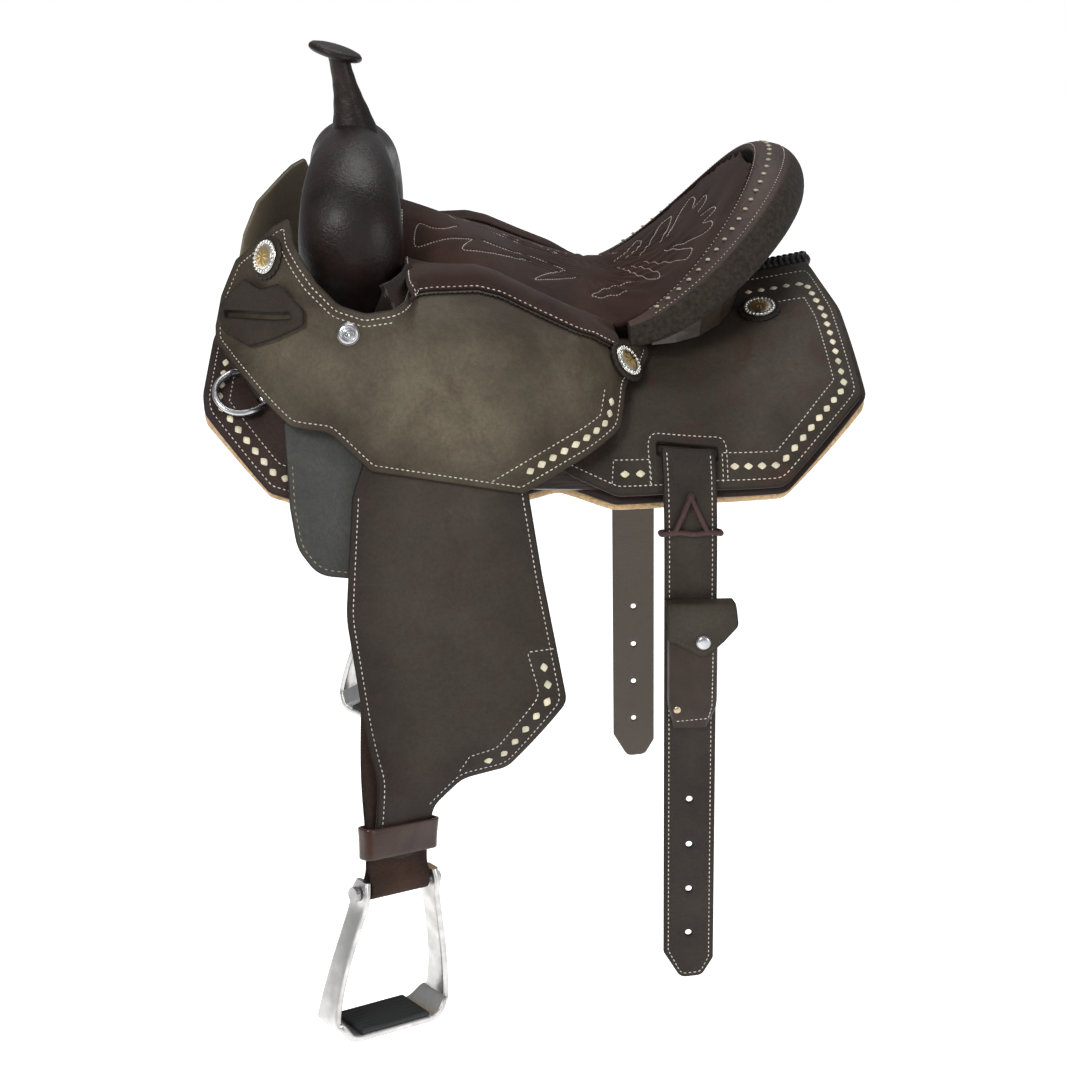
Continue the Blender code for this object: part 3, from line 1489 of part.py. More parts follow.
def build_pouch():
    """The small knife pouch on the near billet, with its snap flap."""
    half = POUCH_WIDTH / 2.0
    lean_right = 0.001
    levels = [0.0, 0.016, 0.050, 0.085, POUCH_HEIGHT - 0.018, POUCH_HEIGHT - 0.004]
    back = LAYER_GAP
    rings = []
    for s in levels:
        share = s / POUCH_HEIGHT
        depth = POUCH_DEPTH * (0.84 + 0.16 * math.sin(math.pi * min(1.0, share * 1.1)))
        depth *= 1.0 - 0.45 * smooth_step(0.80, 1.0, share)
        narrow = 0.006 * smooth_step(0.75, 1.0, share)
        shape = filleted([
            (-half + narrow, back, 0.002), (half - narrow * 1.6, back, 0.002),
            (half - narrow * 1.6, back + depth, 0.005), (-half + narrow, back + depth, 0.005),
        ], 2)
        rings.append([pouch_frame(p.x + lean_right, s, p.y) for p in shape])
    bm = bmesh.new()
    rows = [[bm.verts.new(p) for p in one] for one in rings]
    for one, two in zip(rows, rows[1:]):
        for i in range(len(one)):
            j = (i + 1) % len(one)
            bm.faces.new((one[i], one[j], two[j], two[i]))
    bm.faces.new(rows[-1])
    bmesh.ops.recalc_face_normals(bm, faces=bm.faces)
    bm.normal_update()
    centre = sum((v.co for v in bm.verts), Vector()) / len(bm.verts)
    outward = sum(f.normal.dot(f.calc_center_median() - centre) for f in bm.faces)
    if outward < 0.0:
        bmesh.ops.reverse_faces(bm, faces=bm.faces)
    pouch = add_object("pouch", bm, DARK_LEATHER)
    walls = pouch.modifiers.new("walls", "SOLIDIFY")
    walls.thickness = POUCH_WALL
    walls.offset = -1.0
    walls.use_even_offset = True

    top = -0.004
    front = back + POUCH_DEPTH + LAYER_GAP
    side = [
        # depth over the billet, way down from the pouch's top, and the way the flap faces
        (back, top, 0.0), (front - 0.003, top, 22.0), (front, top + 0.0042, 45.0),
        (front + 0.0004, 0.018, 90.0), (front + 0.0004, 0.050, 90.0),
    ]
    runs = [0.0]
    for (a, b, _), (c, d, _) in zip(side, side[1:]):
        runs.append(runs[-1] + math.hypot(c - a, d - b))

    def flap_point(x, along, lift=0.0):
        """A point of the flap, which folds over the pouch's mouth."""
        depth, down, angle = (between(list(zip(runs, stops)), along) for stops in zip(*side))
        angle = math.radians(angle)
        depth += lift * math.sin(angle)
        down -= lift * math.cos(angle)
        return pouch_frame(x, down, depth)

    reach = runs[-1]
    outline = filleted([
        (-half - 0.001, 0.0), (half + 0.016, 0.0, 0.002), (half + 0.020, reach - 0.034, 0.008),
        (half + 0.006, reach - 0.018, 0.006), (0.010, reach, 0.012), (-0.012, reach - 0.014, 0.01),
        (-half - 0.001, reach - 0.020, 0.004),
    ])
    flap = wrapped_sheet(
        "pouch_flap", outline, flap_point, POUCH_FLAP_THICKNESS, OILED_LEATHER, rows=runs[1:-1],
    )

    centre = flap_point(0.010, reach - 0.018)
    axis = surface_normal(flap_point, 0.010, reach - 0.018)
    r = SNAP_RADIUS
    profile = [(0.0, 0.0030), (0.5 * r, 0.0028), (0.85 * r, 0.0020), (r, 0.0008), (r, 0.0), (0.0, 0.0)]
    snap = turned(
        "snap_cap", profile, STEEL, centre + axis * (POUCH_FLAP_THICKNESS + GAP), axis, sides=12,
    )
    hang_on("flap_pivot", pouch_frame(0.0, top - POUCH_FLAP_THICKNESS, back), [flap, snap])


def build_near_side():
    """Every piece of the near side that the off side repeats."""
    build_skirt()
    build_bar()
    build_housing()
    build_jockey()
    build_conchos()
    build_seat_screw()
    build_rigging()
    build_leg_flap()
    build_keeper()
    build_fender()
    build_stirrup()
    build_billet()


def build_off_side():
    """The off side's pieces, each a mirrored copy with its own joint empty."""
    for piece in [o for o in PART.objects if o.type == "MESH" and o.name.endswith("_near")]:
        mirrored(piece)
    for pivot in [o for o in PART.objects if o.type == "EMPTY" and o.name.endswith("_near")]:
        place = pivot.matrix_world.translation.copy()
        place.y = -place.y
        pieces = [bpy.data.objects[c.name.replace("near", "off")] for c in pivot.children]
        hang_on(pivot.name.replace("near", "off"), place, pieces)


build_near_side()
build_off_side()
build_lacing()
build_fork()
build_cantle()
build_seat()
build_pouch()
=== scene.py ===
"""Looks of a barrel racing saddle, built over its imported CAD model.

Metres, +Z up. The horse's head is towards -X, so the near side, which the camera sees, is -Y.
"""
import math

import bmesh
import bpy
import numpy as np
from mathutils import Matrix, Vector
from mathutils.bvhtree import BVHTree
from mathutils.geometry import delaunay_2d_cdt


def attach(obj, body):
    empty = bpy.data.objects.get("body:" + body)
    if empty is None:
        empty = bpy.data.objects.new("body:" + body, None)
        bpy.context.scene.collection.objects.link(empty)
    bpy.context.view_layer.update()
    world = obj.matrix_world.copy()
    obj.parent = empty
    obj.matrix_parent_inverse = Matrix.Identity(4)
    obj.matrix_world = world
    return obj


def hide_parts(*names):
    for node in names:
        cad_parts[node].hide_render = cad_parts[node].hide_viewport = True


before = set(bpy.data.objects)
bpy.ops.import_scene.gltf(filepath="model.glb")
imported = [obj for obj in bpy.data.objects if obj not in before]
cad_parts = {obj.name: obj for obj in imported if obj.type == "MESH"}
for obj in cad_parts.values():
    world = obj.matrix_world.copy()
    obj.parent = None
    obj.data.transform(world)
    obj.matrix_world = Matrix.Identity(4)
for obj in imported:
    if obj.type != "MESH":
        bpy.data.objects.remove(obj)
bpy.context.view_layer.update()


# Studio
# A white room: a pale floor well under the hanging saddle, a white background that the lens
# sees, three soft lamps, and a long lens from the near side, a little towards the head.

CAMERA_DISTANCE = 2.31
CAMERA_LENS = 72.08
CAMERA_TURN = math.radians(-3.4)
CAMERA_HEIGHT = math.radians(19.0)
CAMERA_AIM = Vector((-0.042, 0.0, -0.247))
FLOOR_LEVEL = -1.02


def build_studio():
    """Floor, background, lamps and camera."""
    scene = bpy.context.scene
    scene.view_settings.view_transform = "Standard"
    floor = bpy.data.meshes.new("floor")
    floor.from_pydata(
        [(-9, -9, FLOOR_LEVEL), (9, -9, FLOOR_LEVEL), (9, 9, FLOOR_LEVEL), (-9, 9, FLOOR_LEVEL)],
        [], [(0, 1, 2, 3)],
    )
    floor = bpy.data.objects.new("floor", floor)
    scene.collection.objects.link(floor)
    pale = bpy.data.materials.new("pale_floor")
    pale.use_nodes = True
    shader = pale.node_tree.nodes["Principled BSDF"]
    shader.inputs["Base Color"].default_value = (0.92, 0.92, 0.92, 1.0)
    shader.inputs["Roughness"].default_value = 0.9
    shader.inputs["Emission Color"].default_value = (1.0, 1.0, 1.0, 1.0)
    shader.inputs["Emission Strength"].default_value = 0.80
    floor.data.materials.append(pale)

    world = bpy.data.worlds.new("white_room")
    world.use_nodes = True
    scene.world = world
    tree = world.node_tree
    tree.nodes.clear()
    seen = tree.nodes.new("ShaderNodeBackground")
    seen.inputs["Color"].default_value = (1.0, 1.0, 1.0, 1.0)
    lit = tree.nodes.new("ShaderNodeBackground")
    lit.inputs["Color"].default_value = (0.78, 0.80, 0.84, 1.0)
    lit.inputs["Strength"].default_value = 0.38
    ray = tree.nodes.new("ShaderNodeLightPath")
    mix = tree.nodes.new("ShaderNodeMixShader")
    end = tree.nodes.new("ShaderNodeOutputWorld")
    tree.links.new(ray.outputs["Is Camera Ray"], mix.inputs[0])
    tree.links.new(lit.outputs[0], mix.inputs[1])
    tree.links.new(seen.outputs[0], mix.inputs[2])
    tree.links.new(mix.outputs[0], end.inputs["Surface"])

    for name, place, size, power in (
        ("key", (-1.7, -2.6, 2.1), 1.1, 78.0),
        ("fill", (2.4, -2.4, 0.7), 1.4, 30.0),
        ("top", (0.2, 0.7, 2.6), 1.8, 44.0),
    ):
        lamp = bpy.data.lights.new(name, "AREA")
        lamp.size = size
        lamp.energy = power
        lamp = bpy.data.objects.new(name, lamp)
        lamp.location = place
        lamp.rotation_euler = (CAMERA_AIM - lamp.location).to_track_quat("-Z", "Y").to_euler()
        scene.collection.objects.link(lamp)

    lens = bpy.data.cameras.new("camera")
    lens.sensor_width = 36.0
    lens.lens = CAMERA_LENS
    camera = bpy.data.objects.new("camera", lens)
    back = Vector((
        math.sin(CAMERA_TURN) * math.cos(CAMERA_HEIGHT),
        -math.cos(CAMERA_TURN) * math.cos(CAMERA_HEIGHT),
        math.sin(CAMERA_HEIGHT),
    ))
    camera.location = CAMERA_AIM + back * CAMERA_DISTANCE
    camera.rotation_euler = (-back).to_track_quat("-Z", "Y").to_euler()
    scene.collection.objects.link(camera)
    scene.camera = camera


build_studio()


# Fleece lining
# A pad of tan sheep's wool glued and sewn under each skirt. It follows the horse's back, and its
# wool shows as a tan fringe behind the rear skirt.

BACK_HALF_WIDTH = 0.27
BACK_DROP_SCALE = 0.08
BACK_DIP = 0.40
FLEECE_THICKNESS = 0.018
LOCK_HEIGHT = 0.0011
SKIRT_OUTLINE = [
    (0.150, 0.002), (0.246, 0.002, 0.008), (0.262, 0.030, 0.02), (0.271, 0.091, 0.008),
    (0.187, 0.150, 0.02), (0.120, 0.146, 0.04), (0.022, 0.146, 0.03), (-0.030, 0.130, 0.03),
    (-0.110, 0.150, 0.05), (-0.285, 0.163, 0.02), (-0.306, 0.161, 0.012),
    (-0.366, 0.113, 0.010), (-0.368, 0.100, 0.02), (-0.360, 0.058, 0.02),
    (-0.335, 0.026, 0.03), (-0.270, 0.018, 0.03), (0.110, 0.018, 0.02),
]


def back_frame(drop):
    """Half width of the back at a drop below its ridge, and its outward normal there."""
    fall = BACK_HALF_WIDTH * np.exp(-drop / BACK_DROP_SCALE)
    slope = fall / BACK_DROP_SCALE
    size = np.hypot(1.0, slope)
    return BACK_HALF_WIDTH - fall, 1.0 / size, slope / size


def back_point(x, drop, lift):
    """Points of the near side, lifted square off the horse's back."""
    width, out, up = back_frame(drop)
    return np.stack([x, -(width + lift * out), BACK_DIP * x * x - drop + lift * up], -1)


def rounded(corners, per=6):
    """An outline or line whose corners (place, place, radius) are rounded off."""
    points = []
    count = len(corners)
    for i, corner in enumerate(corners):
        here = np.array(corner[:2])
        radius = corner[2] if len(corner) > 2 else 0.0
        before = np.array(corners[i - 1][:2]) - here
        after = np.array(corners[(i + 1) % count][:2]) - here
        one, two = np.linalg.norm(before), np.linalg.norm(after)
        turn = math.acos(max(-1.0, min(1.0, float(before @ after) / (one * two))))
        if radius <= 0.0 or turn > math.pi - 0.02:
            points.append(here)
            continue
        reach = min(radius / math.tan(turn / 2.0), 0.47 * one, 0.47 * two)
        for k in range(per + 1):
            u = k / per
            points.append(
                (here + before / one * reach) * (1 - u) ** 2
                + here * (2 * u * (1 - u)) + (here + after / two * reach) * u ** 2
            )
    return np.array(points)


def spread(loop, step, closed=True):
    """The same line with points no further apart than a step."""
    ends = np.roll(loop, -1, 0) if closed else loop[1:]
    points = []
    for a, b in zip(loop, ends):
        parts = max(1, math.ceil(np.linalg.norm(b - a) / step))
        points += [a + (b - a) * k / parts for k in range(parts)]
    if not closed:
        points.append(loop[-1])
    return np.array(points)


def run_along(path):
    """How far each point of a path is along it."""
    return np.concatenate([[0.0], np.cumsum(np.linalg.norm(np.diff(path, axis=0), axis=1))])


def read_along(stops, run, path):
    """The points at stops along a path's run."""
    return np.stack([np.interp(stops, run, column) for column in path.T], 1)


def full_turn(count):
    """Angles evenly round a full turn."""
    return 2.0 * np.pi * np.arange(count) / count


def way_to_edge(spots, loops):
    """How far each spot of the plane is from the nearest outline."""
    best = np.full(len(spots), 9.0)
    for loop in loops:
        run = np.roll(loop, -1, 0) - loop
        for chunk in range(0, len(spots), 2000):
            away = spots[chunk:chunk + 2000, None] - loop[None]
            share = (away * run).sum(-1) / (run * run).sum(-1)
            away -= np.clip(share, 0.0, 1.0)[..., None] * run
            near = np.sqrt((away * away).sum(-1)).min(1)
            best[chunk:chunk + 2000] = np.minimum(best[chunk:chunk + 2000], near)
    return best


def inside(spots, loops):
    """Which spots of the plane lie in an outline and out of its holes."""
    hits = np.zeros(len(spots), int)
    for loop in loops:
        end = np.roll(loop, -1, 0)
        for a, b in zip(loop, end):
            if a[1] == b[1]:
                continue
            across = (a[1] > spots[:, 1]) != (b[1] > spots[:, 1])
            at = a[0] + (spots[:, 1] - a[1]) / (b[1] - a[1]) * (b[0] - a[0])
            hits += across & (spots[:, 0] < at)
    return hits % 2 == 1


def filled(loops, step, rim):
    """Even triangles that fill an outline round its holes, with a close row inside each edge."""
    low, high = loops[0].min(0), loops[0].max(0)
    us, vs = np.meshgrid(
        np.arange(low[0], high[0], step), np.arange(low[1], high[1], step * 0.866)
    )
    us[1::2] += step / 2.0
    grid = np.stack([us.ravel(), vs.ravel()], 1)
    grid = grid[way_to_edge(grid, loops) > max(0.45 * step, 1.9 * rim)]
    rows = []
    for draw_in in (0.4 * rim, rim):
        for loop in loops:
            run = np.roll(loop, -1, 0) - np.roll(loop, 1, 0)
            side = np.stack([-run[:, 1], run[:, 0]], 1)
            side /= np.linalg.norm(side, axis=1)[:, None]
            for sign in (1.0, -1.0):
                row = loop + sign * draw_in * side
                rows.append(row[way_to_edge(row, loops) > 0.9 * draw_in])
    spots = np.vstack([*rows, grid])
    spots = spots[inside(spots, loops)]
    edges = []
    start = 0
    for loop in loops:
        count = len(loop)
        edges += [(start + i, start + (i + 1) % count) for i in range(count)]
        start += count
    everything = np.vstack([*loops, spots])
    made = delaunay_2d_cdt([Vector(p) for p in everything], edges, [], 0, 1e-7)
    flat = np.array([p[:] for p in made[0]])
    faces = np.array([f[:] for f in made[2]])
    return flat, faces[inside(flat[faces].mean(1), loops)]


def add_piece(name, points, faces, material, body, hides=(), finish=None, **marks):
    """One finished piece of the saddle, smooth, facing out, riding on its body."""
    mesh = bpy.data.meshes.new(name)
    mesh.from_pydata([tuple(p) for p in points], [], [tuple(int(i) for i in f) for f in faces])
    for mark, values in marks.items():
        layer = mesh.attributes.new(mark, "FLOAT", "POINT")
        layer.data.foreach_set("value", np.asarray(values, dtype=np.float32))
    bm = bmesh.new()
    bm.from_mesh(mesh)
    if bm.calc_volume(signed=True) < 0.0:
        bmesh.ops.reverse_faces(bm, faces=bm.faces)
    bm.to_mesh(mesh)
    bm.free()
    mesh.shade_smooth()
    mesh.set_sharp_from_angle(angle=math.radians(50.0))
    mesh.materials.append(material)
    made = bpy.data.objects.new(name, mesh)
    bpy.context.scene.collection.objects.link(made)
    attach(made, body)
    if hides:
        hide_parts(*hides)
    return made


def both_sides(name, points, faces, material, body, hides=(), finish=None, **marks):
    """A piece of the near side and its mirrored twin on the off side."""
    made = []
    for side, turn in (("near", 1.0), ("off", -1.0)):
        made.append(add_piece(
            name + "_" + side, points * (1.0, turn, 1.0), faces, material,
            body if body == "saddle" else body + "_" + side,
            [node + "_" + side for node in hides], finish, **marks,
        ))
    return made


def panel_mesh(surface, outline, thick, holes=(), step=0.006, rim=0.0012):
    """A sheet of leather laid on a surface: points, faces, way to its edge, and its flesh side."""
    loops = [spread(outline, 0.004)] + [spread(hole, 0.002) for hole in holes]
    flat, top = filled(loops, step, rim)
    edge = way_to_edge(flat, loops)
    share = np.clip(1.0 - edge / rim, 0.0, 1.0)
    fall = rim * (1.0 - np.sqrt(1.0 - share ** 2))
    over = surface(flat[:, 0], flat[:, 1], thick - fall)
    under = surface(flat[:, 0], flat[:, 1], fall)
    count = len(flat)
    sides = {}
    for face in top:
        for a, b in zip(face, np.roll(face, -1)):
            sides[(int(a), int(b))] = sides.get((int(a), int(b)), 0) + 1
    walls = [(b, a, a + count, b + count) for a, b in sides if (b, a) not in sides]
    faces = [tuple(f) for f in top] + [tuple(f + count)[::-1] for f in top] + walls
    marks = {
        "edge": np.concatenate([edge, edge]),
        "flesh": np.concatenate([np.zeros(count), np.ones(count)]),
    }
    return np.vstack([over, under]), faces, marks


def panel(name, surface, outline, thick, material, body, hides, finish, **mesh):
    """A sheet of leather laid on a surface, with its mirrored twin on the off side."""
    points, faces, marks = panel_mesh(surface, outline, thick, **mesh)
    return both_sides(name, points, faces, material, body, hides, finish, **marks)


def finished_mesh(piece):
    """The mesh that a piece's modifiers make, with the modifiers applied and gone."""
    bpy.context.view_layer.update()
    graph = bpy.context.evaluated_depsgraph_get()
    mesh = bpy.data.meshes.new_from_object(piece.evaluated_get(graph))
    piece.modifiers.clear()
    piece.data = mesh
    return mesh


def node(tree, kind, inputs=None, **settings):
    """A shader node with its settings, values and links."""
    made = tree.nodes.new(kind)
    for key, value in settings.items():
        setattr(made, key, value)
    for key, value in (inputs or {}).items():
        if isinstance(value, bpy.types.NodeSocket):
            tree.links.new(value, made.inputs[key])
        elif isinstance(value, tuple) and len(value) == 3 and made.inputs[key].type == "RGBA":
            made.inputs[key].default_value = (*value, 1.0)
        else:
            made.inputs[key].default_value = value
    return made


def new_material(name, **values):
    """A Principled material, its tree, its shader and the object's own coordinates."""
    made = bpy.data.materials.new(name)
    made.use_nodes = True
    tree = made.node_tree
    shader = tree.nodes["Principled BSDF"]
    for key, value in values.items():
        socket = shader.inputs[key.replace("_", " ")]
        socket.default_value = (*value, 1.0) if isinstance(value, tuple) else value
    place = tree.nodes.new("ShaderNodeTexCoord").outputs["Object"]
    return made, tree, shader, place


def noise(tree, place, scale, detail=4.0, roughness=0.55, distortion=0.0):
    """Noise from 0 to 1 at a scale."""
    return node(
        tree, "ShaderNodeTexNoise",
        {"Vector": place, "Scale": scale, "Detail": detail, "Roughness": roughness,
         "Distortion": distortion},
    ).outputs["Fac"]


def levels(tree, value, low, high, start=0.0, end=1.0):
    """A value spread from low..high to start..end."""
    return node(
        tree, "ShaderNodeMapRange",
        {"Value": value, "From Min": low, "From Max": high, "To Min": start, "To Max": end},
    ).outputs["Result"]


def blend(tree, share, one, two, how="MIX"):
    """Two colours mixed by a share."""
    made = tree.nodes.new("ShaderNodeMix")
    made.data_type = "RGBA"
    made.blend_type = how
    for index, value in ((0, share), (6, one), (7, two)):
        if isinstance(value, bpy.types.NodeSocket):
            tree.links.new(value, made.inputs[index])
        else:
            made.inputs[index].default_value = (*value, 1.0) if isinstance(value, tuple) else value
    return made.outputs[2]


def bumps(tree, shader, *layers):
    """Stacked bumps, each a height and its depth in metres."""
    before = None
    for height, depth in layers:
        inputs = {"Height": height, "Distance": depth, "Strength": 1.0}
        if before is not None:
            inputs["Normal"] = before
        before = node(tree, "ShaderNodeBump", inputs).outputs["Normal"]
    tree.links.new(before, shader.inputs["Normal"])


def wool_material():
    """Tan wool: curly, dull and unevenly tanned."""
    made, tree, shader, place = new_material(
        "fleece_wool", Roughness=0.97, Sheen_Weight=0.35, Specular_IOR_Level=0.15
    )
    curl = noise(tree, place, 130.0, 5.0, 0.6, 1.2)
    patch = noise(tree, place, 9.0)
    colour = blend(tree, levels(tree, patch, 0.3, 0.7), (0.47, 0.30, 0.13), (0.62, 0.42, 0.21))
    colour = blend(tree, levels(tree, curl, 0.25, 0.6), (0.27, 0.15, 0.06), colour)
    tree.links.new(colour, shader.inputs["Base Color"])
    bumps(tree, shader, (curl, 0.003), (noise(tree, place, 420.0, 3.0), 0.0008))
    return made


def build_fleece():
    """The wool: a lumpy pad with a rounded, bulging edge."""
    corners = [(x, d + (0.005 if d < 0.03 else 0.002), *r) for x, d, *r in SKIRT_OUTLINE]

    def wool(x, drop, lift):
        """A point of the fleece, with the lumps of its locks on the horse's side."""
        lumps = np.sin(310 * x + 5 * np.sin(170 * drop)) * np.sin(290 * drop + 4 * np.sin(190 * x))
        lumps += 0.6 * np.sin(620 * x + 1.0) * np.sin(570 * drop + 2.0)
        under = np.clip(1.0 - lift / FLEECE_THICKNESS, 0.0, 1.0)
        return back_point(x, drop, lift + LOCK_HEIGHT * lumps * under)

    for piece in panel(
        "fleece_wool", wool, rounded(corners), FLEECE_THICKNESS, wool_material(), "saddle",
        ["fleece"], "fleece", step=0.005, rim=0.006,
    ):
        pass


build_fleece()


# Skirts
# Oiled leather skirts over the wool, made from one hide: grey-brown grain with red and green
# scuffs, burnished edges, and a flesh side underneath. White thread and a buck-stitched border.

LAYER_GAP = 0.0008
GAP = 0.0005
SKIRT_THICKNESS = 0.0055
SKIRT_LIFT = FLEECE_THICKNESS + LAYER_GAP
STITCH_IN = 0.0062
DIAMOND_IN = 0.0150
INNER_STITCH_IN = 0.0245
PITCHES = {
    "stitch": 0.0050, "seat_stitch": 0.0054, "fine_stitch": 0.0044, "quilt_stitch": 0.0034,
    "tan_stitch": 0.0062, "dark_stitch": 0.0046, "diamond": 0.0130, "cantle_diamond": 0.0134,
}


def leather(name, dark, light, scuff, roughness=0.62, grain=0.00022, scuffs=0.45):
    """Oiled leather: mottled, scuffed and pored, with darker burnished edges."""
    made, tree, shader, place = new_material(name, Specular_IOR_Level=0.24)
    edge = node(tree, "ShaderNodeAttribute", attribute_name="edge").outputs["Fac"]
    cloud = noise(tree, place, 8.0, 6.0, 0.62, 0.3)
    worn = node(
        tree, "ShaderNodeMath", {0: cloud, 1: levels(tree, edge, 0.004, 0.050, -0.16, 0.10)},
        operation="ADD",
    ).outputs["Value"]
    colour = blend(tree, levels(tree, worn, 0.30, 0.72), dark, light)
    wear = noise(tree, place, 24.0, 9.0, 0.76, 0.8)
    colour = blend(tree, levels(tree, wear, 0.50, 0.66, 0.0, scuffs), colour, scuff)
    nick = noise(tree, place, 62.0, 9.0, 0.80, 1.4)
    colour = blend(
        tree, levels(tree, nick, 0.60, 0.70, 0.0, 0.75 * scuffs), colour,
        tuple(0.45 * c for c in dark),
    )
    speck = noise(tree, place, 300.0, 3.0, 0.7)
    tone = levels(tree, speck, 0.25, 0.75, 0.78, 1.20)
    tone = node(tree, "ShaderNodeCombineColor", {"Red": tone, "Green": tone, "Blue": tone})
    colour = blend(tree, 1.0, colour, tone.outputs["Color"], "MULTIPLY")
    rim = levels(tree, edge, 0.0004, 0.0020, 1.0, 0.0)
    colour = blend(tree, rim, colour, tuple(0.30 * c for c in dark))
    flesh = node(tree, "ShaderNodeAttribute", attribute_name="flesh").outputs["Fac"]
    colour = blend(tree, flesh, colour, tuple(min(1.0, 1.5 * c + 0.02) for c in light))
    tree.links.new(colour, shader.inputs["Base Color"])
    gloss = levels(tree, noise(tree, place, 14.0, 4.0), 0.3, 0.7, roughness + 0.08, roughness - 0.08)
    tree.links.new(gloss, shader.inputs["Roughness"])
    pores = node(
        tree, "ShaderNodeTexVoronoi", {"Vector": place, "Scale": 900.0}, feature="F1"
    ).outputs["Distance"]
    bumps(
        tree, shader,
        (noise(tree, place, 30.0, 4.0), 0.0012), (speck, 2.0 * grain), (pores, grain),
    )
    return made


def inset(corners, by):
    """The corners of an outline drawn in by a distance."""
    spots = np.array([corner[:2] for corner in corners])
    ahead = np.roll(spots, -1, 0) - spots
    area = (spots[:, 0] * np.roll(spots[:, 1], -1) - spots[:, 1] * np.roll(spots[:, 0], -1)).sum()
    ahead /= np.linalg.norm(ahead, axis=1)[:, None]
    side = np.sign(area) * np.stack([-ahead[:, 1], ahead[:, 0]], 1)
    before = np.roll(side, 1, 0)
    move = (side + before) / (1.0 + (side * before).sum(1))[:, None]
    drawn = spots + by * move
    return [(*spot, *corner[2:]) for spot, corner in zip(drawn, corners)]


def part_of(corners, first, last):
    """An open line along an outline's rounded corners, from one corner to another."""
    chosen = [corners[i % len(corners)] for i in range(first, last + 1)]
    chosen[0] = chosen[0][:2]
    chosen[-1] = chosen[-1][:2]
    return rounded(chosen)


SEWN = {}


def stitch_stops(kind, run, pitch=None):
    """The middles of a kind's stitches along a run."""
    count = max(1, round(run[-1] / (pitch or PITCHES[kind])))
    return (np.arange(count) + 0.5) * run[-1] / count


def sew(kind, body, surface, lift, line, pitch=None, both=True):
    """Note where stitches of a kind go along a line of the plane laid on a surface."""
    dense = spread(np.asarray(line, float), 0.001, False)
    run = run_along(surface(*dense.T, np.full(len(dense), lift)))
    stops = stitch_stops(kind, run, pitch)
    spots, fore, aft = (read_along(stops + by, run, dense) for by in (0.0, 0.0012, -0.0012))
    level = np.full(len(stops), lift)
    place = surface(*spots.T, level)
    along = surface(*fore.T, level) - surface(*aft.T, level)
    note(kind, body, place, along, surface(*spots.T, level + 0.001) - place, both)


def note(kind, body, place, along, out, both=True):
    """Keep stitches for one body, or for the near body and its mirrored twin."""
    sides = (("near", 1.0), ("off", -1.0)) if both else (("near", 1.0),)
    for side, turn in sides:
        mirror = np.array([1.0, turn, 1.0])
        # A mirrored stitch runs the other way, so that it isn't turned inside out
        target = body if body in ("saddle", "pouch_flap") else body + "_" + side
        SEWN.setdefault((kind, target), []).append(
            (place * mirror, along * mirror * turn, out * mirror)
        )


def skirt_point(x, drop, lift):
    """A point of the skirt."""
    return back_point(x, drop, SKIRT_LIFT + lift)


def build_skirts():
    """The skirts, with a stitched and buck-stitched front corner."""
    oiled = leather(
        "skirt_leather", (0.022, 0.011, 0.008), (0.040, 0.022, 0.017), (0.018, 0.018, 0.022)
    )
    panel(
        "skirt_leather", skirt_point, rounded(SKIRT_OUTLINE), SKIRT_THICKNESS, oiled, "saddle",
        ["skirt"], "oiled_leather", rim=0.0016,
    )
    for kind, draw_in, first, last in (
        ("stitch", STITCH_IN, 9, 14), ("diamond", DIAMOND_IN, 9, 14),
        ("stitch", INNER_STITCH_IN, 9, 14), ("stitch", STITCH_IN, 1, 5),
    ):
        line = part_of(inset(SKIRT_OUTLINE, draw_in), first, last)
        sew(kind, "saddle", skirt_point, SKIRT_THICKNESS, line)


build_skirts()


# Tree
# The tree under the leather: two bars, the fork, the cantle board and the ground seat, of wood
# sealed under dark brown resin. That dark colour is also painted shade where the cantle board
# shows under the roll. Their shapes are the CAD nodes' own.

def wood_and_shade_material():
    """Wood under dark resin, grain along the saddle; the dark colour is also painted shade under the
    roll.
    """
    made, tree, shader, place = new_material("tree_wood", Roughness=0.42, Coat_Weight=0.2)
    stretched = node(
        tree, "ShaderNodeMapping", {"Vector": place, "Scale": (6.0, 60.0, 60.0)}
    ).outputs["Vector"]
    rings = noise(tree, stretched, 3.0, 6.0, 0.6, 1.5)
    # Dark resin colours; the darkness also stands in as painted shade where the cantle board shows
    # under the roll.
    colour = blend(tree, levels(tree, rings, 0.35, 0.65), (0.016, 0.009, 0.005), (0.040, 0.024, 0.014))
    tree.links.new(colour, shader.inputs["Base Color"])
    bumps(tree, shader, (rings, 0.0006))
    return made


def paint(material, *nodes):
    """Give CAD nodes that keep their shape a better material."""
    for name in nodes:
        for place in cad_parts[name].material_slots:
            place.material = material


# The dark resin is also painted shade: where the cantle board shows under the roll, it stands in for
# shadow.
paint(wood_and_shade_material(), "tree_bar_near", "tree_bar_off", "fork", "cantle_board", "ground_seat")


# Rear housings
# The big rear panels, oiled leather over the tails of the bars, with the slot that the billet
# hangs from, a stitched loop round the slot, and a buck-stitched border.

HOUSING_THICKNESS = 0.0045
BAR_LIFT = SKIRT_LIFT + SKIRT_THICKNESS + LAYER_GAP
HOUSING_LIFT = BAR_LIFT + GAP
BAR_THICKNESS = 0.020
BAR_TAIL_THINNING = 0.011
BAR_MIDDLE_DROP = 0.07875
BAR_HALF_DEPTH = 0.05625
BILLET_X = 0.0915
BILLET_DROP = 0.115
SLOT_LENGTH = 0.058
SLOT_HEIGHT = 0.0085
SLOT_DIAMOND_PITCH = 0.0150
HOUSING_OUTLINE = [
    (0.150, 0.0008), (0.242, 0.0008, 0.008), (0.257, 0.030, 0.02), (0.266, 0.091, 0.008),
    (0.184, 0.146, 0.02), (0.120, 0.142, 0.04), (0.023, 0.142, 0.03), (-0.028, 0.126, 0.012),
    (-0.032, 0.085, 0.02), (-0.018, 0.054, 0.01), (0.045, 0.048, 0.02), (0.090, 0.014, 0.02),
]


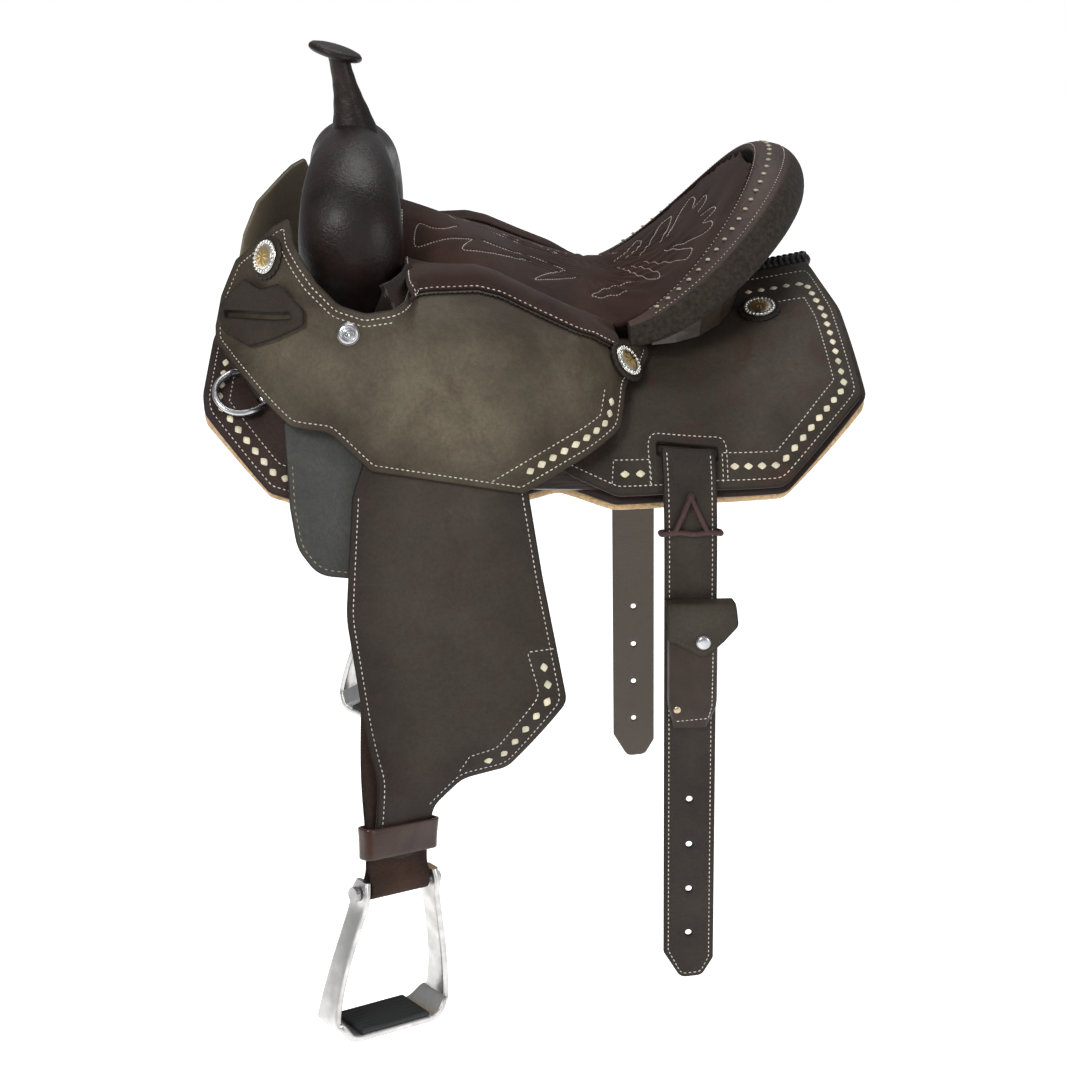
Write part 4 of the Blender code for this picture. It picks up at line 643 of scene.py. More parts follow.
def smooth_step(low, high, value):
    """Rise smoothly from 0 at low to 1 at high."""
    share = np.clip((value - low) / (high - low), 0.0, 1.0)
    return share * share * (3.0 - 2.0 * share)


def bar_rise(x, drop, half_depth):
    """How far a tree bar stands above the skirt, fading to its edges."""
    rise = BAR_THICKNESS - BAR_TAIL_THINNING * smooth_step(-0.02, 0.16, x)
    return rise * np.maximum(0.0, 1.0 - np.abs((drop - BAR_MIDDLE_DROP) / half_depth) ** 4)


def housing_rise(x, drop):
    """How far the rear housing bulges over the bar's tail."""
    return bar_rise(x, drop, BAR_HALF_DEPTH + 0.018) * (1.0 - smooth_step(0.215, 0.258, x))


def housing_point(x, drop, lift):
    """A point of the rear housing."""
    return back_point(x, drop, HOUSING_LIFT + housing_rise(x, drop) + lift)


def build_housings():
    """The rear housings and their stitching."""
    oiled = leather(
        "housing_leather", (0.020, 0.015, 0.010), (0.058, 0.048, 0.035), (0.050, 0.018, 0.012),
        scuffs=0.70,
    )
    slot = rounded([
        (BILLET_X + a * SLOT_LENGTH / 2, BILLET_DROP + a * 0.003 + b * SLOT_HEIGHT / 2, 0.002)
        for a, b in ((-1, -1), (1, -1), (1, 1), (-1, 1))
    ])
    panel(
        "housing_leather", housing_point, rounded(HOUSING_OUTLINE), HOUSING_THICKNESS, oiled,
        "saddle", ["rear_housing"], "oiled_leather", holes=[slot], rim=0.0014,
    )
    side = inset(HOUSING_OUTLINE, INNER_STITCH_IN)
    border = [(0.160, side[1][1]), side[1][:2], (*side[2][:2], 0.01), side[3][:2], side[4][:2],
              (0.125, side[5][1]), (0.125, 0.138)]
    middle = inset(HOUSING_OUTLINE, DIAMOND_IN)
    band = [(0.168, middle[1][1]), *(corner[:2] for corner in middle[1:5]), (0.130, middle[5][1])]
    box = [(0.020, 0.119), (0.055, 0.119), (0.056, 0.1365)]
    loop = [(0.055, 0.1355), (0.0535, 0.1015, 0.010), (0.1295, 0.1075, 0.010), (0.1295, 0.1355)]
    for kind, line, pitch in (
        ("stitch", part_of(inset(HOUSING_OUTLINE, STITCH_IN), 0, 7), None),
        ("stitch", rounded(border), None), ("diamond", rounded(band), None),
        ("stitch", box, None), ("stitch", [(0.020, 0.119), (0.018, 0.1345)], None),
        ("diamond", [(0.023, 0.128), (0.053, 0.128)], SLOT_DIAMOND_PITCH),
        ("stitch", rounded(loop), None),
    ):
        sew(kind, "saddle", housing_point, HOUSING_THICKNESS, line, pitch)


build_housings()


# Lacing behind the cantle
# A black lace braided over the ridge where the two housings meet, made as flat crossing strands
# laid over a core.

LACING_START = 0.177
LACING_END = 0.240
LACING_RADIUS = 0.0095
LACING_SINK = 0.0025
LACE_PITCH = 0.0062
LACES_ROUND = 7


def dark_leather(name, dark, light, roughness, grain=0.00012, coat=0.0):
    """Smooth dyed leather with fine creases and a shine."""
    made, tree, shader, place = new_material(
        name, Specular_IOR_Level=0.27, Coat_Weight=coat, Coat_Roughness=0.18
    )
    cloud = noise(tree, place, 18.0, 6.0, 0.6, 0.5)
    colour = blend(tree, levels(tree, cloud, 0.35, 0.68), dark, light)
    tree.links.new(colour, shader.inputs["Base Color"])
    gloss = levels(tree, noise(tree, place, 40.0, 5.0), 0.3, 0.7, roughness - 0.07, roughness + 0.10)
    tree.links.new(gloss, shader.inputs["Roughness"])
    creases = node(
        tree, "ShaderNodeTexVoronoi", {"Vector": place, "Scale": 420.0},
        feature="DISTANCE_TO_EDGE",
    ).outputs["Distance"]
    bumps(
        tree, shader,
        (cloud, 0.0010), (noise(tree, place, 260.0, 4.0), 2.0 * grain), (creases, grain),
    )
    return made


BLACK_LACE = dark_leather("black_lace", (0.010, 0.009, 0.009), (0.022, 0.020, 0.020), 0.38)


def tube(path, radius, sides, closed=False, cross=None):
    """A tube along a path of points: its points and faces, with rounded ends where it is open."""
    path = np.asarray(path, float)
    run = (np.roll(path, -1, 0) - np.roll(path, 1, 0)) if closed else np.gradient(path, axis=0)
    run /= np.linalg.norm(run, axis=1)[:, None]
    radii = np.full(len(path), radius)
    if not closed:
        cap = np.array([1.0, 0.85, 0.5, 0.12])
        radii = np.concatenate([radius * cap[::-1], radii[1:-1], radius * cap])
        ends = [path[0] - run[0] * radius * a for a in (0.95, 0.8, 0.45)]
        tail = [path[-1] + run[-1] * radius * a for a in (0.45, 0.8, 0.95)]
        path = np.vstack([ends, path, tail])
        run = np.vstack([run[:1]] * 3 + [run] + [run[-1:]] * 3)
    up = np.array(cross if cross is not None else (0.0, 0.0, 1.0), float)
    rings = []
    for spot, way, size in zip(path, run, radii):
        side = np.cross(way, up)
        if np.linalg.norm(side) < 1e-6:
            side = np.cross(way, (1.0, 0.0, 0.0))
        side /= np.linalg.norm(side)
        over = np.cross(side, way)
        if cross is None:
            up = over
        angles = full_turn(sides)[:, None]
        rings.append(spot + size * (np.cos(angles) * side + np.sin(angles) * over))
    return lofted(np.array(rings), closed)


def lofted(rings, closed=False):
    """Faces between rings of points, capped at both ends or closed round on itself."""
    rows, sides = rings.shape[:2]
    faces = []
    for i in range(rows if closed else rows - 1):
        j = (i + 1) % rows
        for k in range(sides):
            m = (k + 1) % sides
            faces.append((i * sides + k, i * sides + m, j * sides + m, j * sides + k))
    if not closed:
        faces.append(tuple(range(sides))[::-1])
        faces.append(tuple((rows - 1) * sides + k for k in range(sides)))
    return rings.reshape(-1, 3), faces


def build_lacing():
    """The lace's core, and the places of its crossing strands."""
    xs = np.linspace(LACING_START, LACING_END, 24)
    ridge = back_point(xs, np.full(24, 0.0008), np.full(24, HOUSING_LIFT + HOUSING_THICKNESS))
    path = np.stack([xs, np.zeros(24), ridge[:, 2] - LACING_SINK], 1)
    points, faces = tube(path, LACING_RADIUS * 0.93, 16)
    add_piece("skirt_lace", points, faces, BLACK_LACE, "saddle", ["skirt_lacing"], "dark_leather")
    count = round((LACING_END - LACING_START) / LACE_PITCH)
    for i in range(count + 1):
        x = LACING_START + (i + 0.25) * LACE_PITCH
        middle = np.array([
            min(x, LACING_END), 0.0, float(np.interp(x, path[:, 0], path[:, 2]))
        ])
        for k in range(LACES_ROUND):
            angle = math.radians(-96 + 32 * k)
            out = np.array([[0.0, math.sin(angle), math.cos(angle)]])
            slant = 0.8 if k % 2 == 0 else -0.8
            along = np.array([[slant, math.cos(angle), -math.sin(angle)]])
            spot = middle + out * LACING_RADIUS * 0.94
            note("lace", "saddle", spot, along, out, both=False)


build_lacing()


# Swell, horn and horn cap
# Glossy dark brown leather drawn wet over the fork's swell, a wrapped horn neck, and the thin
# leather-covered horn cap, tilted forward with a stitched rim.

FORK_X = -0.226
SWELL_SKIN = 0.0035
FORK_STOPS = np.array([
    # half width y, height z, half length in x, half thickness
    (0.118, 0.014, 0.034, 0.022), (0.124, 0.050, 0.040, 0.027), (0.131, 0.088, 0.047, 0.033),
    (0.122, 0.122, 0.046, 0.034), (0.090, 0.147, 0.042, 0.031), (0.048, 0.160, 0.036, 0.029),
    (0.0, 0.163, 0.031, 0.029),
])
HORN_HEIGHT = 0.062
HORN_LEAN = 0.014
HORN_TILT = math.radians(17.0)
HORN_BASE_RADIUS = 0.0235
HORN_TOP_RADIUS = 0.0118
HORN_CAP_RADIUS = 0.0275
HORN_CAP_THICKNESS = 0.013
HORN_BACK = 0.004
HORN_SINK = 0.010
CAP_FORWARD = 0.006
CAP_STITCHES = 46

SWELL_LEATHER = dark_leather(
    "swell_leather", (0.0045, 0.0026, 0.0020), (0.017, 0.0085, 0.0060), 0.44, 0.0003, coat=0.05
)


def smooth_through(points, per, closed=False):
    """A rounded curve through points, with so many steps from each to the next."""
    points = np.asarray(points, float)
    if closed:
        padded = np.vstack([points[-1:], points, points[:2]])
    else:
        padded = np.vstack([2 * points[:1] - points[1:2], points, 2 * points[-1:] - points[-2:-1]])
    out = []
    for a, b, c, d in zip(padded, padded[1:], padded[2:], padded[3:]):
        for k in range(per):
            u = k / per
            out.append(0.5 * (
                2 * b + (c - a) * u + (2 * a - 5 * b + 4 * c - d) * u ** 2
                + (3 * b - a - 3 * c + d) * u ** 3
            ))
    if not closed:
        out.append(points[-1])
    return np.array(out)


def fork_foot():
    """The height at which the swell's feet stand on the bars."""
    drops = 0.02 + 0.001 * np.arange(60)
    xs = np.full(60, FORK_X)
    lifts = BAR_LIFT + bar_rise(xs, drops, BAR_HALF_DEPTH + 0.004)
    spots = back_point(xs, drops, lifts)
    return float(spots[np.argmax(-spots[:, 1] > FORK_STOPS[0, 0]), 2])


def build_swell():
    """The leather-covered fork."""
    near = FORK_STOPS * (-1.0, 1.0, 1.0, 1.0)
    path = smooth_through(np.vstack([near, FORK_STOPS[-2::-1]]), 7)
    run = np.gradient(path[:, :2], axis=0)
    run /= np.linalg.norm(run, axis=1)[:, None]
    run[0], run[-1] = (0.0, 1.0), (0.0, -1.0)
    angles = full_turn(48)
    rings = []
    for (y, z, half, thick), (ry, rz) in zip(path, run):
        out = np.array([0.0, -rz, ry])
        across = (half + SWELL_SKIN) * np.cos(angles)
        depth = (thick + SWELL_SKIN) * np.sin(angles)
        rings.append(
            np.array([FORK_X, y, z]) + across[:, None] * np.array([1.0, 0.0, 0.0])
            + depth[:, None] * out
        )
    points, faces = lofted(np.array(rings))
    mesh = bpy.data.meshes.new("swell")
    mesh.from_pydata([tuple(p) for p in points], [], faces)
    bm = bmesh.new()
    bm.from_mesh(mesh)
    foot = fork_foot()
    for side in (-1.0, 1.0):
        _, out, up = back_frame(BACK_DIP * FORK_X ** 2 - foot + 0.03)
        lean = Vector((-2.0 * BACK_DIP * FORK_X * 0.9, side * float(out), float(up))).normalized()
        at = Vector((FORK_X, side * FORK_STOPS[0, 0], foot + 0.003))
        chosen = [v for v in bm.verts if v.co.y * side > 0.0]
        known = set(chosen)
        flat = [f for f in bm.faces if all(v in known for v in f.verts)]
        edges = list({e for f in flat for e in f.edges})
        cut = bmesh.ops.bisect_plane(
            bm, geom=chosen + edges + flat, plane_co=at, plane_no=lean, clear_inner=True,
            dist=0.00005,
        )
        rim = [e for e in cut["geom_cut"] if isinstance(e, bmesh.types.BMEdge)]
        bmesh.ops.holes_fill(bm, edges=rim, sides=0)
    bmesh.ops.triangulate(bm, faces=[f for f in bm.faces if len(f.verts) > 4])
    bm.to_mesh(mesh)
    points = np.array([v.co[:] for v in bm.verts])
    faces = [[v.index for v in f.verts] for f in bm.faces]
    bm.free()
    add_piece(
        "swell_leather", points, faces, SWELL_LEATHER, "saddle", ["swell_cover"], "dark_leather"
    )


def square_to(axis):
    """Two directions square to an axis and to each other."""
    side = np.cross(axis, (0.31, 0.17, 0.93))
    side /= np.linalg.norm(side)
    return side, np.cross(axis, side)


def turned_piece(profile, place, axis, sides=64, ripple=None):
    """A piece turned about an axis from a profile of (radius, height), closed at its poles."""
    axis = np.asarray(axis, float) / np.linalg.norm(axis)
    side, over = square_to(axis)
    angles = full_turn(sides)
    rings = []
    for radius, height in profile:
        level = height + (ripple(radius, angles) if ripple else 0.0 * angles)
        radius = max(radius, 1e-5)
        rings.append(
            place + radius * (np.cos(angles)[:, None] * side + np.sin(angles)[:, None] * over)
            + level[:, None] * axis
        )
    return lofted(np.array(rings))


def build_horn():
    """The horn's wrapped neck and its cap."""
    base = FORK_STOPS[-1, 1] + FORK_STOPS[-1, 3] + SWELL_SKIN
    rings = []
    angles = full_turn(40)
    for i in range(26):
        u = i / 25
        radius = HORN_TOP_RADIUS + (HORN_BASE_RADIUS - HORN_TOP_RADIUS) * (1.0 - u) ** 2.2
        radius *= 1.0 + 0.012 * math.sin(26.0 * u)
        centre = np.array([FORK_X + HORN_BACK - HORN_LEAN * u, 0.0, base + HORN_HEIGHT * u])
        centre[2] -= HORN_SINK * (1.0 - u) ** 6
        tilt = HORN_TILT * u
        across = np.array([math.cos(tilt), 0.0, -math.sin(tilt)])
        folds = 1.0 + 0.010 * np.sin(5 * angles + 6.0 * u)
        rings.append(
            centre + (radius * folds * np.cos(angles))[:, None] * across
            + (radius * 0.92 * folds * np.sin(angles))[:, None] * np.array([0.0, 1.0, 0.0])
        )
    points, faces = lofted(np.array(rings))
    add_piece(
        "horn_wrap", points, faces, SWELL_LEATHER, "saddle", ["horn_neck"], "dark_leather"
    )
    axis = np.array([math.sin(HORN_TILT), 0.0, math.cos(HORN_TILT)])
    across = np.array([math.cos(HORN_TILT), 0.0, -math.sin(HORN_TILT)])
    place = np.array([FORK_X + HORN_BACK - HORN_LEAN, 0.0, base + HORN_HEIGHT])
    place = place + axis * GAP - across * CAP_FORWARD
    r, t = HORN_CAP_RADIUS, HORN_CAP_THICKNESS
    profile = smooth_through([
        (0.0, t), (0.5 * r, 0.95 * t), (0.80 * r, 0.82 * t), (0.93 * r, 0.70 * t), (r, 0.50 * t),
        (0.97 * r, 0.26 * t), (0.80 * r, 0.08 * t), (0.5 * r, 0.0), (0.0, 0.0),
    ], 4)
    points, faces = turned_piece(profile, place, axis)
    add_piece(
        "horn_cap_leather", points, faces, SWELL_LEATHER, "saddle", ["horn_cap"], "dark_leather"
    )
    turns = full_turn(CAP_STITCHES)[:, None]
    over = np.array([0.0, 1.0, 0.0])
    ring = np.cos(turns) * across + np.sin(turns) * over
    along = -np.sin(turns) * across + np.cos(turns) * over
    spots = place + ring * r * 0.90 + axis * t * 0.735
    note("dark_stitch", "saddle", spots, along, ring * 0.5 + axis, both=False)


build_swell()
build_horn()


# Cantle roll
# The bound, padded edge of the cantle: a smooth brown binding strip on top with a buck-stitched
# lace between two rows of thread, and rough-out leather rolled over the back.

EAR_X = 0.030
EAR_Z = 0.020
CANTLE_HALF_WIDTH = 0.158
CANTLE_X = 0.182
CANTLE_Z = 0.167
ROLL_WIDTH = 0.052
ROLL_DEPTH = 0.052
BINDING_END = 9.3
BACK_END = 38.5
ROLL_SECTION = smooth_through([
    (0.0, 0.0), (0.36, -0.07), (0.74, 0.06), (0.97, 0.36), (1.0, 0.74), (0.82, 0.98),
    (0.52, 0.86), (0.30, 0.42),
], 5, closed=True)


def roll_point(turn, place, lift):
    """A point of the roll: degrees round the rim, and a place from 0 to 40 round its section."""
    angle = np.radians(turn)
    full = np.maximum(0.0, np.cos(angle))
    rim = np.stack([
        EAR_X + (CANTLE_X - EAR_X) * full ** 0.8, CANTLE_HALF_WIDTH * np.sin(angle),
        EAR_Z + (CANTLE_Z - EAR_Z) * full ** 1.2,
    ], -1)
    out = np.stack([full ** 0.7, np.sin(angle), np.zeros_like(angle)], -1)
    out /= np.linalg.norm(out, axis=-1)[..., None]
    size = 0.30 + 0.70 * full ** 0.6
    count = len(ROLL_SECTION)
    steps = np.arange(count + 1)
    ring = np.vstack([ROLL_SECTION, ROLL_SECTION[:1]])
    u, v = (np.interp(np.mod(place, count), steps, ring[:, k]) for k in (0, 1))
    fore_u, fore_v = (np.interp(np.mod(place + 0.5, count), steps, ring[:, k]) for k in (0, 1))
    du, dv = fore_u - u, fore_v - v
    long = np.hypot(du, dv)
    wide = u * ROLL_WIDTH * size + lift * dv / long
    deep = v * ROLL_DEPTH * size - lift * du / long
    return rim + out * wide[..., None] - deep[..., None] * np.array([0.0, 0.0, 1.0])


def sew_round(kind, at):
    """Stitches of a kind round the roll, at a place of its section."""
    line = np.stack([np.linspace(-82.0, 82.0, 160), np.full(160, at)], 1)
    path = roll_point(*line.T, np.zeros(160))
    run = run_along(path)
    stops = stitch_stops(kind, run)
    spots = read_along(stops, run, line)
    place = roll_point(*spots.T, np.zeros(len(stops)))
    above = roll_point(*spots.T, np.full(len(stops), 0.001))
    along = read_along(stops + 0.001, run, path) - read_along(stops - 0.001, run, path)
    note(kind, "saddle", place, along, above - place, both=False)


def build_roll():
    """The roll, with its binding strip marked on its top, and its stitching."""
    made, tree, shader, place = new_material("cantle_binding", Specular_IOR_Level=0.35)
    cloud = noise(tree, place, 16.0, 6.0)
    smooth = blend(tree, levels(tree, cloud, 0.3, 0.7), (0.022, 0.010, 0.0065), (0.044, 0.021, 0.014))
    nap = noise(tree, place, 240.0, 5.0, 0.7)
    rough = blend(tree, levels(tree, nap, 0.35, 0.65), (0.008, 0.006, 0.004), (0.032, 0.024, 0.016))
    back = node(tree, "ShaderNodeAttribute", attribute_name="back").outputs["Fac"]
    tree.links.new(blend(tree, back, smooth, rough), shader.inputs["Base Color"])
    tree.links.new(levels(tree, back, 0.0, 1.0, 0.55, 0.95), shader.inputs["Roughness"])
    bumps(tree, shader, (cloud, 0.0008), (nap, 0.0009))

    turns = np.linspace(-88.0, 88.0, 121)
    places = np.arange(len(ROLL_SECTION), dtype=float)
    rings = np.array([roll_point(np.full(len(places), t), places, 0.0 * places) for t in turns])
    points, faces = lofted(rings)
    mark = np.tile(((places > BINDING_END) & (places < BACK_END)).astype(float), len(turns))
    add_piece(
        "cantle_binding", points, faces, made, "saddle", ["cantle_roll"], "roughout_leather",
        back=mark,
    )
    for kind, at in (("fine_stitch", 1.0), ("cantle_diamond", 4.4), ("fine_stitch", 8.0)):
        sew_round(kind, at)


build_roll()


# Jockeys
# The big side panels, one hide each, bulging over the fender's top and cut out round the swell.
# The near edge of each is bevelled and burnished; thread runs round it, twice round the cut-out,
# and a buck-stitched border follows its lower rear corner.

JOCKEY_THICKNESS = 0.0045
SECOND_ROW = 0.0055
FLAP_THICKNESS = 0.003
STRAP_THICKNESS = 0.0032
FENDER_THICKNESS = 0.004
HANG_TILT = math.radians(13.5)
HANG_WIDTH = BACK_HALF_WIDTH - 0.006
HANG_Z = -0.146
LEATHER_OUT = FLAP_THICKNESS + GAP
FENDER_OUT = LEATHER_OUT + 2.0 * STRAP_THICKNESS + 2.0 * GAP
JOCKEY_OUT = FENDER_OUT + FENDER_THICKNESS + 2.0 * GAP
STRAP_MIDDLE = LEATHER_OUT + STRAP_THICKNESS + 0.5 * GAP
FORK_CLEAR_WIDTH = 0.155
FORK_CLEAR_SLOPE = 0.35
FORK_CLEAR_Z = 0.03
SHOULDER_FOOT_Z = -0.045
SHOULDER_TOP_Z = 0.15
SHOULDER_ROUNDNESS = 2.2
REACH = 0.006
SEAT_EDGE = np.array([
    (-0.190, 0.074), (-0.150, 0.069), (-0.107, 0.071), (-0.087, 0.066), (-0.050, 0.049),
    (-0.004, 0.029), (0.030, 0.018),
])
JOCKEY_OUTLINE = [
    (-0.357, 0.010, 0.006), (-0.283, -0.050, 0.012), (-0.248, -0.055, 0.02),
    (-0.210, -0.091, 0.012), (-0.068, -0.114, 0.006), (0.026, -0.062, 0.012),
    (0.033, -0.030, 0.008), (0.052, -0.024, 0.008), (0.064, -0.012, 0.008),
    (0.060, -0.004, 0.004), (0.030, 0.004, 0.006), (0.000, 0.024, 0.02),
    (-0.050, 0.046, 0.02), (-0.087, 0.063, 0.01), (-0.107, 0.068, 0.01), (-0.172, 0.066, 0.004),
    (-0.176, 0.060, 0.004), (-0.189, 0.055, 0.012), (-0.212, 0.052, 0.02),
    (-0.236, 0.060, 0.02), (-0.256, 0.080, 0.02), (-0.277, 0.112, 0.012),
    (-0.281, 0.130, 0.004), (-0.296, 0.122, 0.004), (-0.333, 0.088, 0.012),
    (-0.350, 0.052, 0.012), (-0.357, 0.024, 0.006),
]


def rounded_max(a, b, blend_over):
    """The greater of two values, with the corner between them rounded off."""
    near = np.maximum(0.0, blend_over - np.abs(a - b)) / blend_over
    return np.maximum(a, b) + blend_over * near * near / 4.0


def lift_under_jockey(x, drop):
    """Lift of what the jockey lies on, away from the fender."""
    front = BAR_LIFT + 0.011 * smooth_step(-0.365, -0.325, x)
    rear = HOUSING_LIFT + HOUSING_THICKNESS + 2.0 * GAP + housing_rise(x, drop)
    return np.where(x < -0.1, front, rear)


def jockey_half_width(x, z):
    """Half width of the jockey's inner face, which bulges over the fender."""
    ridge = BACK_DIP * x * x
    drop = np.maximum(0.0, ridge - z)
    for _ in range(16):
        _, _, up = back_frame(drop)
        drop = 0.5 * drop + 0.5 * np.maximum(0.0, ridge - z + lift_under_jockey(x, drop) * up)
    width, out, _ = back_frame(drop)
    low = width + lift_under_jockey(x, drop) * out
    clear = FORK_CLEAR_WIDTH - FORK_CLEAR_SLOPE * (z - FORK_CLEAR_Z)
    low = np.where(x < -0.1, rounded_max(low, clear, 0.02), low)
    plane = HANG_WIDTH + JOCKEY_OUT / math.cos(HANG_TILT) + math.tan(HANG_TILT) * (HANG_Z - z)
    beside_seat = smooth_step(-0.20, -0.165, x)
    edge = np.interp(x, SEAT_EDGE[:, 0], SEAT_EDGE[:, 1]) + 0.004
    top = SHOULDER_TOP_Z + (edge - SHOULDER_TOP_Z) * beside_seat
    height = (z - SHOULDER_FOOT_Z) / (top - SHOULDER_FOOT_Z)
    share = np.clip(height, 0.0, 1.0) ** SHOULDER_ROUNDNESS
    fall = np.maximum(0.0, 1.0 - share) ** (1.0 / SHOULDER_ROUNDNESS)
    shoulder = np.where(height > 0.0, BACK_HALF_WIDTH * (1.0 + 2.0 * fall) / 3.0, 1.0)
    high = -rounded_max(-plane, -shoulder, 0.012)
    share = smooth_step(-0.36, -0.265, x) * (1.0 - smooth_step(-0.02, 0.06, x))
    return low + (np.maximum(high, low) - low) * share


def jockey_point(x, z, lift):
    """A point of the jockey."""
    x, z, lift = np.broadcast_arrays(np.asarray(x, float), z, lift)

    def face(u, v):
        """A point of the jockey's inner face."""
        return np.stack([u, -jockey_half_width(u, v), v], -1)

    normal = np.cross(
        face(x + REACH, z) - face(x - REACH, z), face(x, z + REACH) - face(x, z - REACH)
    )
    normal /= np.linalg.norm(normal, axis=-1)[..., None]
    normal *= np.where(normal[..., 1:2] > 0.0, -1.0, 1.0)
    return face(x, z) + normal * lift[..., None]


def rounded_open(corners):
    """An open line with its inner corners rounded."""
    return rounded([corners[0][:2], *corners[1:-1], corners[-1][:2]])


JOCKEY_LEATHER = leather(
    "jockey_leather", (0.036, 0.026, 0.016), (0.110, 0.091, 0.059), (0.042, 0.027, 0.017)
)


def build_jockeys():
    """The jockeys and their stitching."""
    panel(
        "jockey_leather", jockey_point, rounded(JOCKEY_OUTLINE), JOCKEY_THICKNESS,
        JOCKEY_LEATHER, "saddle", ["jockey"], "oiled_leather", step=0.0055, rim=0.0016,
    )
    drawn = inset(JOCKEY_OUTLINE, STITCH_IN)
    second = inset(JOCKEY_OUTLINE, STITCH_IN + SECOND_ROW)
    band = [(-0.066, -0.0958), (0.0125, -0.0525, 0.006), (0.0168, -0.0340)]
    inner = [(-0.0975, -0.1023), (0.0045, -0.0459, 0.002), (0.0091, -0.0250)]
    for kind, line in (
        ("stitch", part_of(drawn, 22, 36)), ("stitch", part_of(drawn, 16, 22)),
        ("stitch", part_of(second, 17, 21)), ("diamond", rounded_open(band)),
        ("stitch", rounded_open(inner)),
    ):
        sew(kind, "saddle", jockey_point, JOCKEY_THICKNESS, line)


build_jockeys()


# Feet of the swell cover
# The lower ends of the swell's leather: drawn down behind the swell, turned in to it and nailed
# to the bars under the jockeys. They close the rear corner of each cut-out.

FOOT_THICKNESS = 0.003
FOOT_TUCK = 0.026
FOOT_OUTLINE = [
    (-0.160, 0.046, 0.004), (-0.160, 0.070, 0.004), (-0.170, 0.080, 0.004),
    (-0.192, 0.080, 0.004), (-0.207, 0.046, 0.004),
]


def foot_point(x, z, lift):
    """A point of a foot, which lies under the jockey and turns in to the swell."""
    turned = 1.0 - smooth_step(-0.212, -0.172, np.asarray(x, float))
    return jockey_point(x, z, lift - FOOT_THICKNESS - GAP - FOOT_TUCK * turned)


def build_swell_feet():
    """The feet of the swell cover."""
    panel(
        "swell_foot", foot_point, rounded(FOOT_OUTLINE), FOOT_THICKNESS, SWELL_LEATHER, "saddle",
        (), "dark_leather", step=0.004, rim=0.0008,
    )


build_swell_feet()


# Conchos, rosettes and seat screws
# Silver conchos with a ring of berries and a gilt centre engraved with a plain eight-petalled
# rosette, each on a black leather rosette with a pinked, dotted edge; and cupped seat screws.

CONCHO_RADIUS = 0.016
CONCHO_THICKNESS = 0.0045
ROSETTE_RADIUS = 0.0215
ROSETTE_THICKNESS = 0.0025
SCREW_RADIUS = 0.010
SCREW_PLACE = (-0.228, 0.034)
CONCHO_PLACES = {
    # surface, its thickness, the place on it, and how far the rosette beds into it
    "front": (jockey_point, JOCKEY_THICKNESS, -0.299, 0.097, 0.0009),
    "cantle": (jockey_point, JOCKEY_THICKNESS, 0.031, -0.014, 0.0008),
    "rear": (housing_point, HOUSING_THICKNESS, 0.181, 0.029, 0.0007),
}
BERRIES = 22
DOTS = 20
PINKING = 0.055


def metal(name, colour, roughness, scratch=260.0, dark=None):
    """Polished or brushed metal, a little dulled in patches."""
    made, tree, shader, place = new_material(name, Metallic=1.0)
    worn = noise(tree, place, 60.0, 5.0)
    tint = blend(tree, levels(tree, worn, 0.35, 0.7), colour, tuple(0.72 * c for c in colour))
    if dark:
        depth = node(tree, "ShaderNodeAttribute", attribute_name="gilt").outputs["Fac"]
        tint = blend(tree, depth, tint, dark)
    tree.links.new(tint, shader.inputs["Base Color"])
    tree.links.new(levels(tree, worn, 0.3, 0.7, roughness - 0.06, roughness + 0.1),
                   shader.inputs["Roughness"])
    bumps(tree, shader, (noise(tree, place, scratch, 4.0, 0.7), 0.00012))
    return made


SILVER = metal("silver", (0.80, 0.78, 0.72), 0.24, dark=(0.83, 0.60, 0.26))
STEEL = metal("steel", (0.56, 0.56, 0.57), 0.28)
BLACK_LEATHER = dark_leather("black_leather", (0.014, 0.011, 0.009), (0.030, 0.022, 0.017), 0.5)


def facing(surface, u, v):
    """The way that the near side's leather faces at a place."""
    across = surface(u + REACH, v, 0.0) - surface(u - REACH, v, 0.0)
    axis = np.cross(across, surface(u, v + REACH, 0.0) - surface(u, v - REACH, 0.0))
    axis /= np.linalg.norm(axis)
    return -axis if axis[1] > 0.0 else axis


def fitting_frame(surface, thickness, u, v, radius):
    """Where a round fitting sits on the near side's leather, and the way it faces."""
    axis = facing(surface, u, v)
    place = surface(u, v, 0.0)
    angles = full_turn(12)
    edge = surface(u + radius * np.cos(angles), v + radius * np.sin(angles), 0.0 * angles)
    proud = max(0.0, float(((edge - place) @ axis).max()))
    return place + axis * (thickness + proud + LAYER_GAP), axis


def circle_about(axis, count, start=0.0):
    """Directions and tangents round an axis."""
    side, over = square_to(axis)
    angles = start + full_turn(count)[:, None]
    ring = np.cos(angles) * side + np.sin(angles) * over
    return ring, np.cos(angles) * over - np.sin(angles) * side


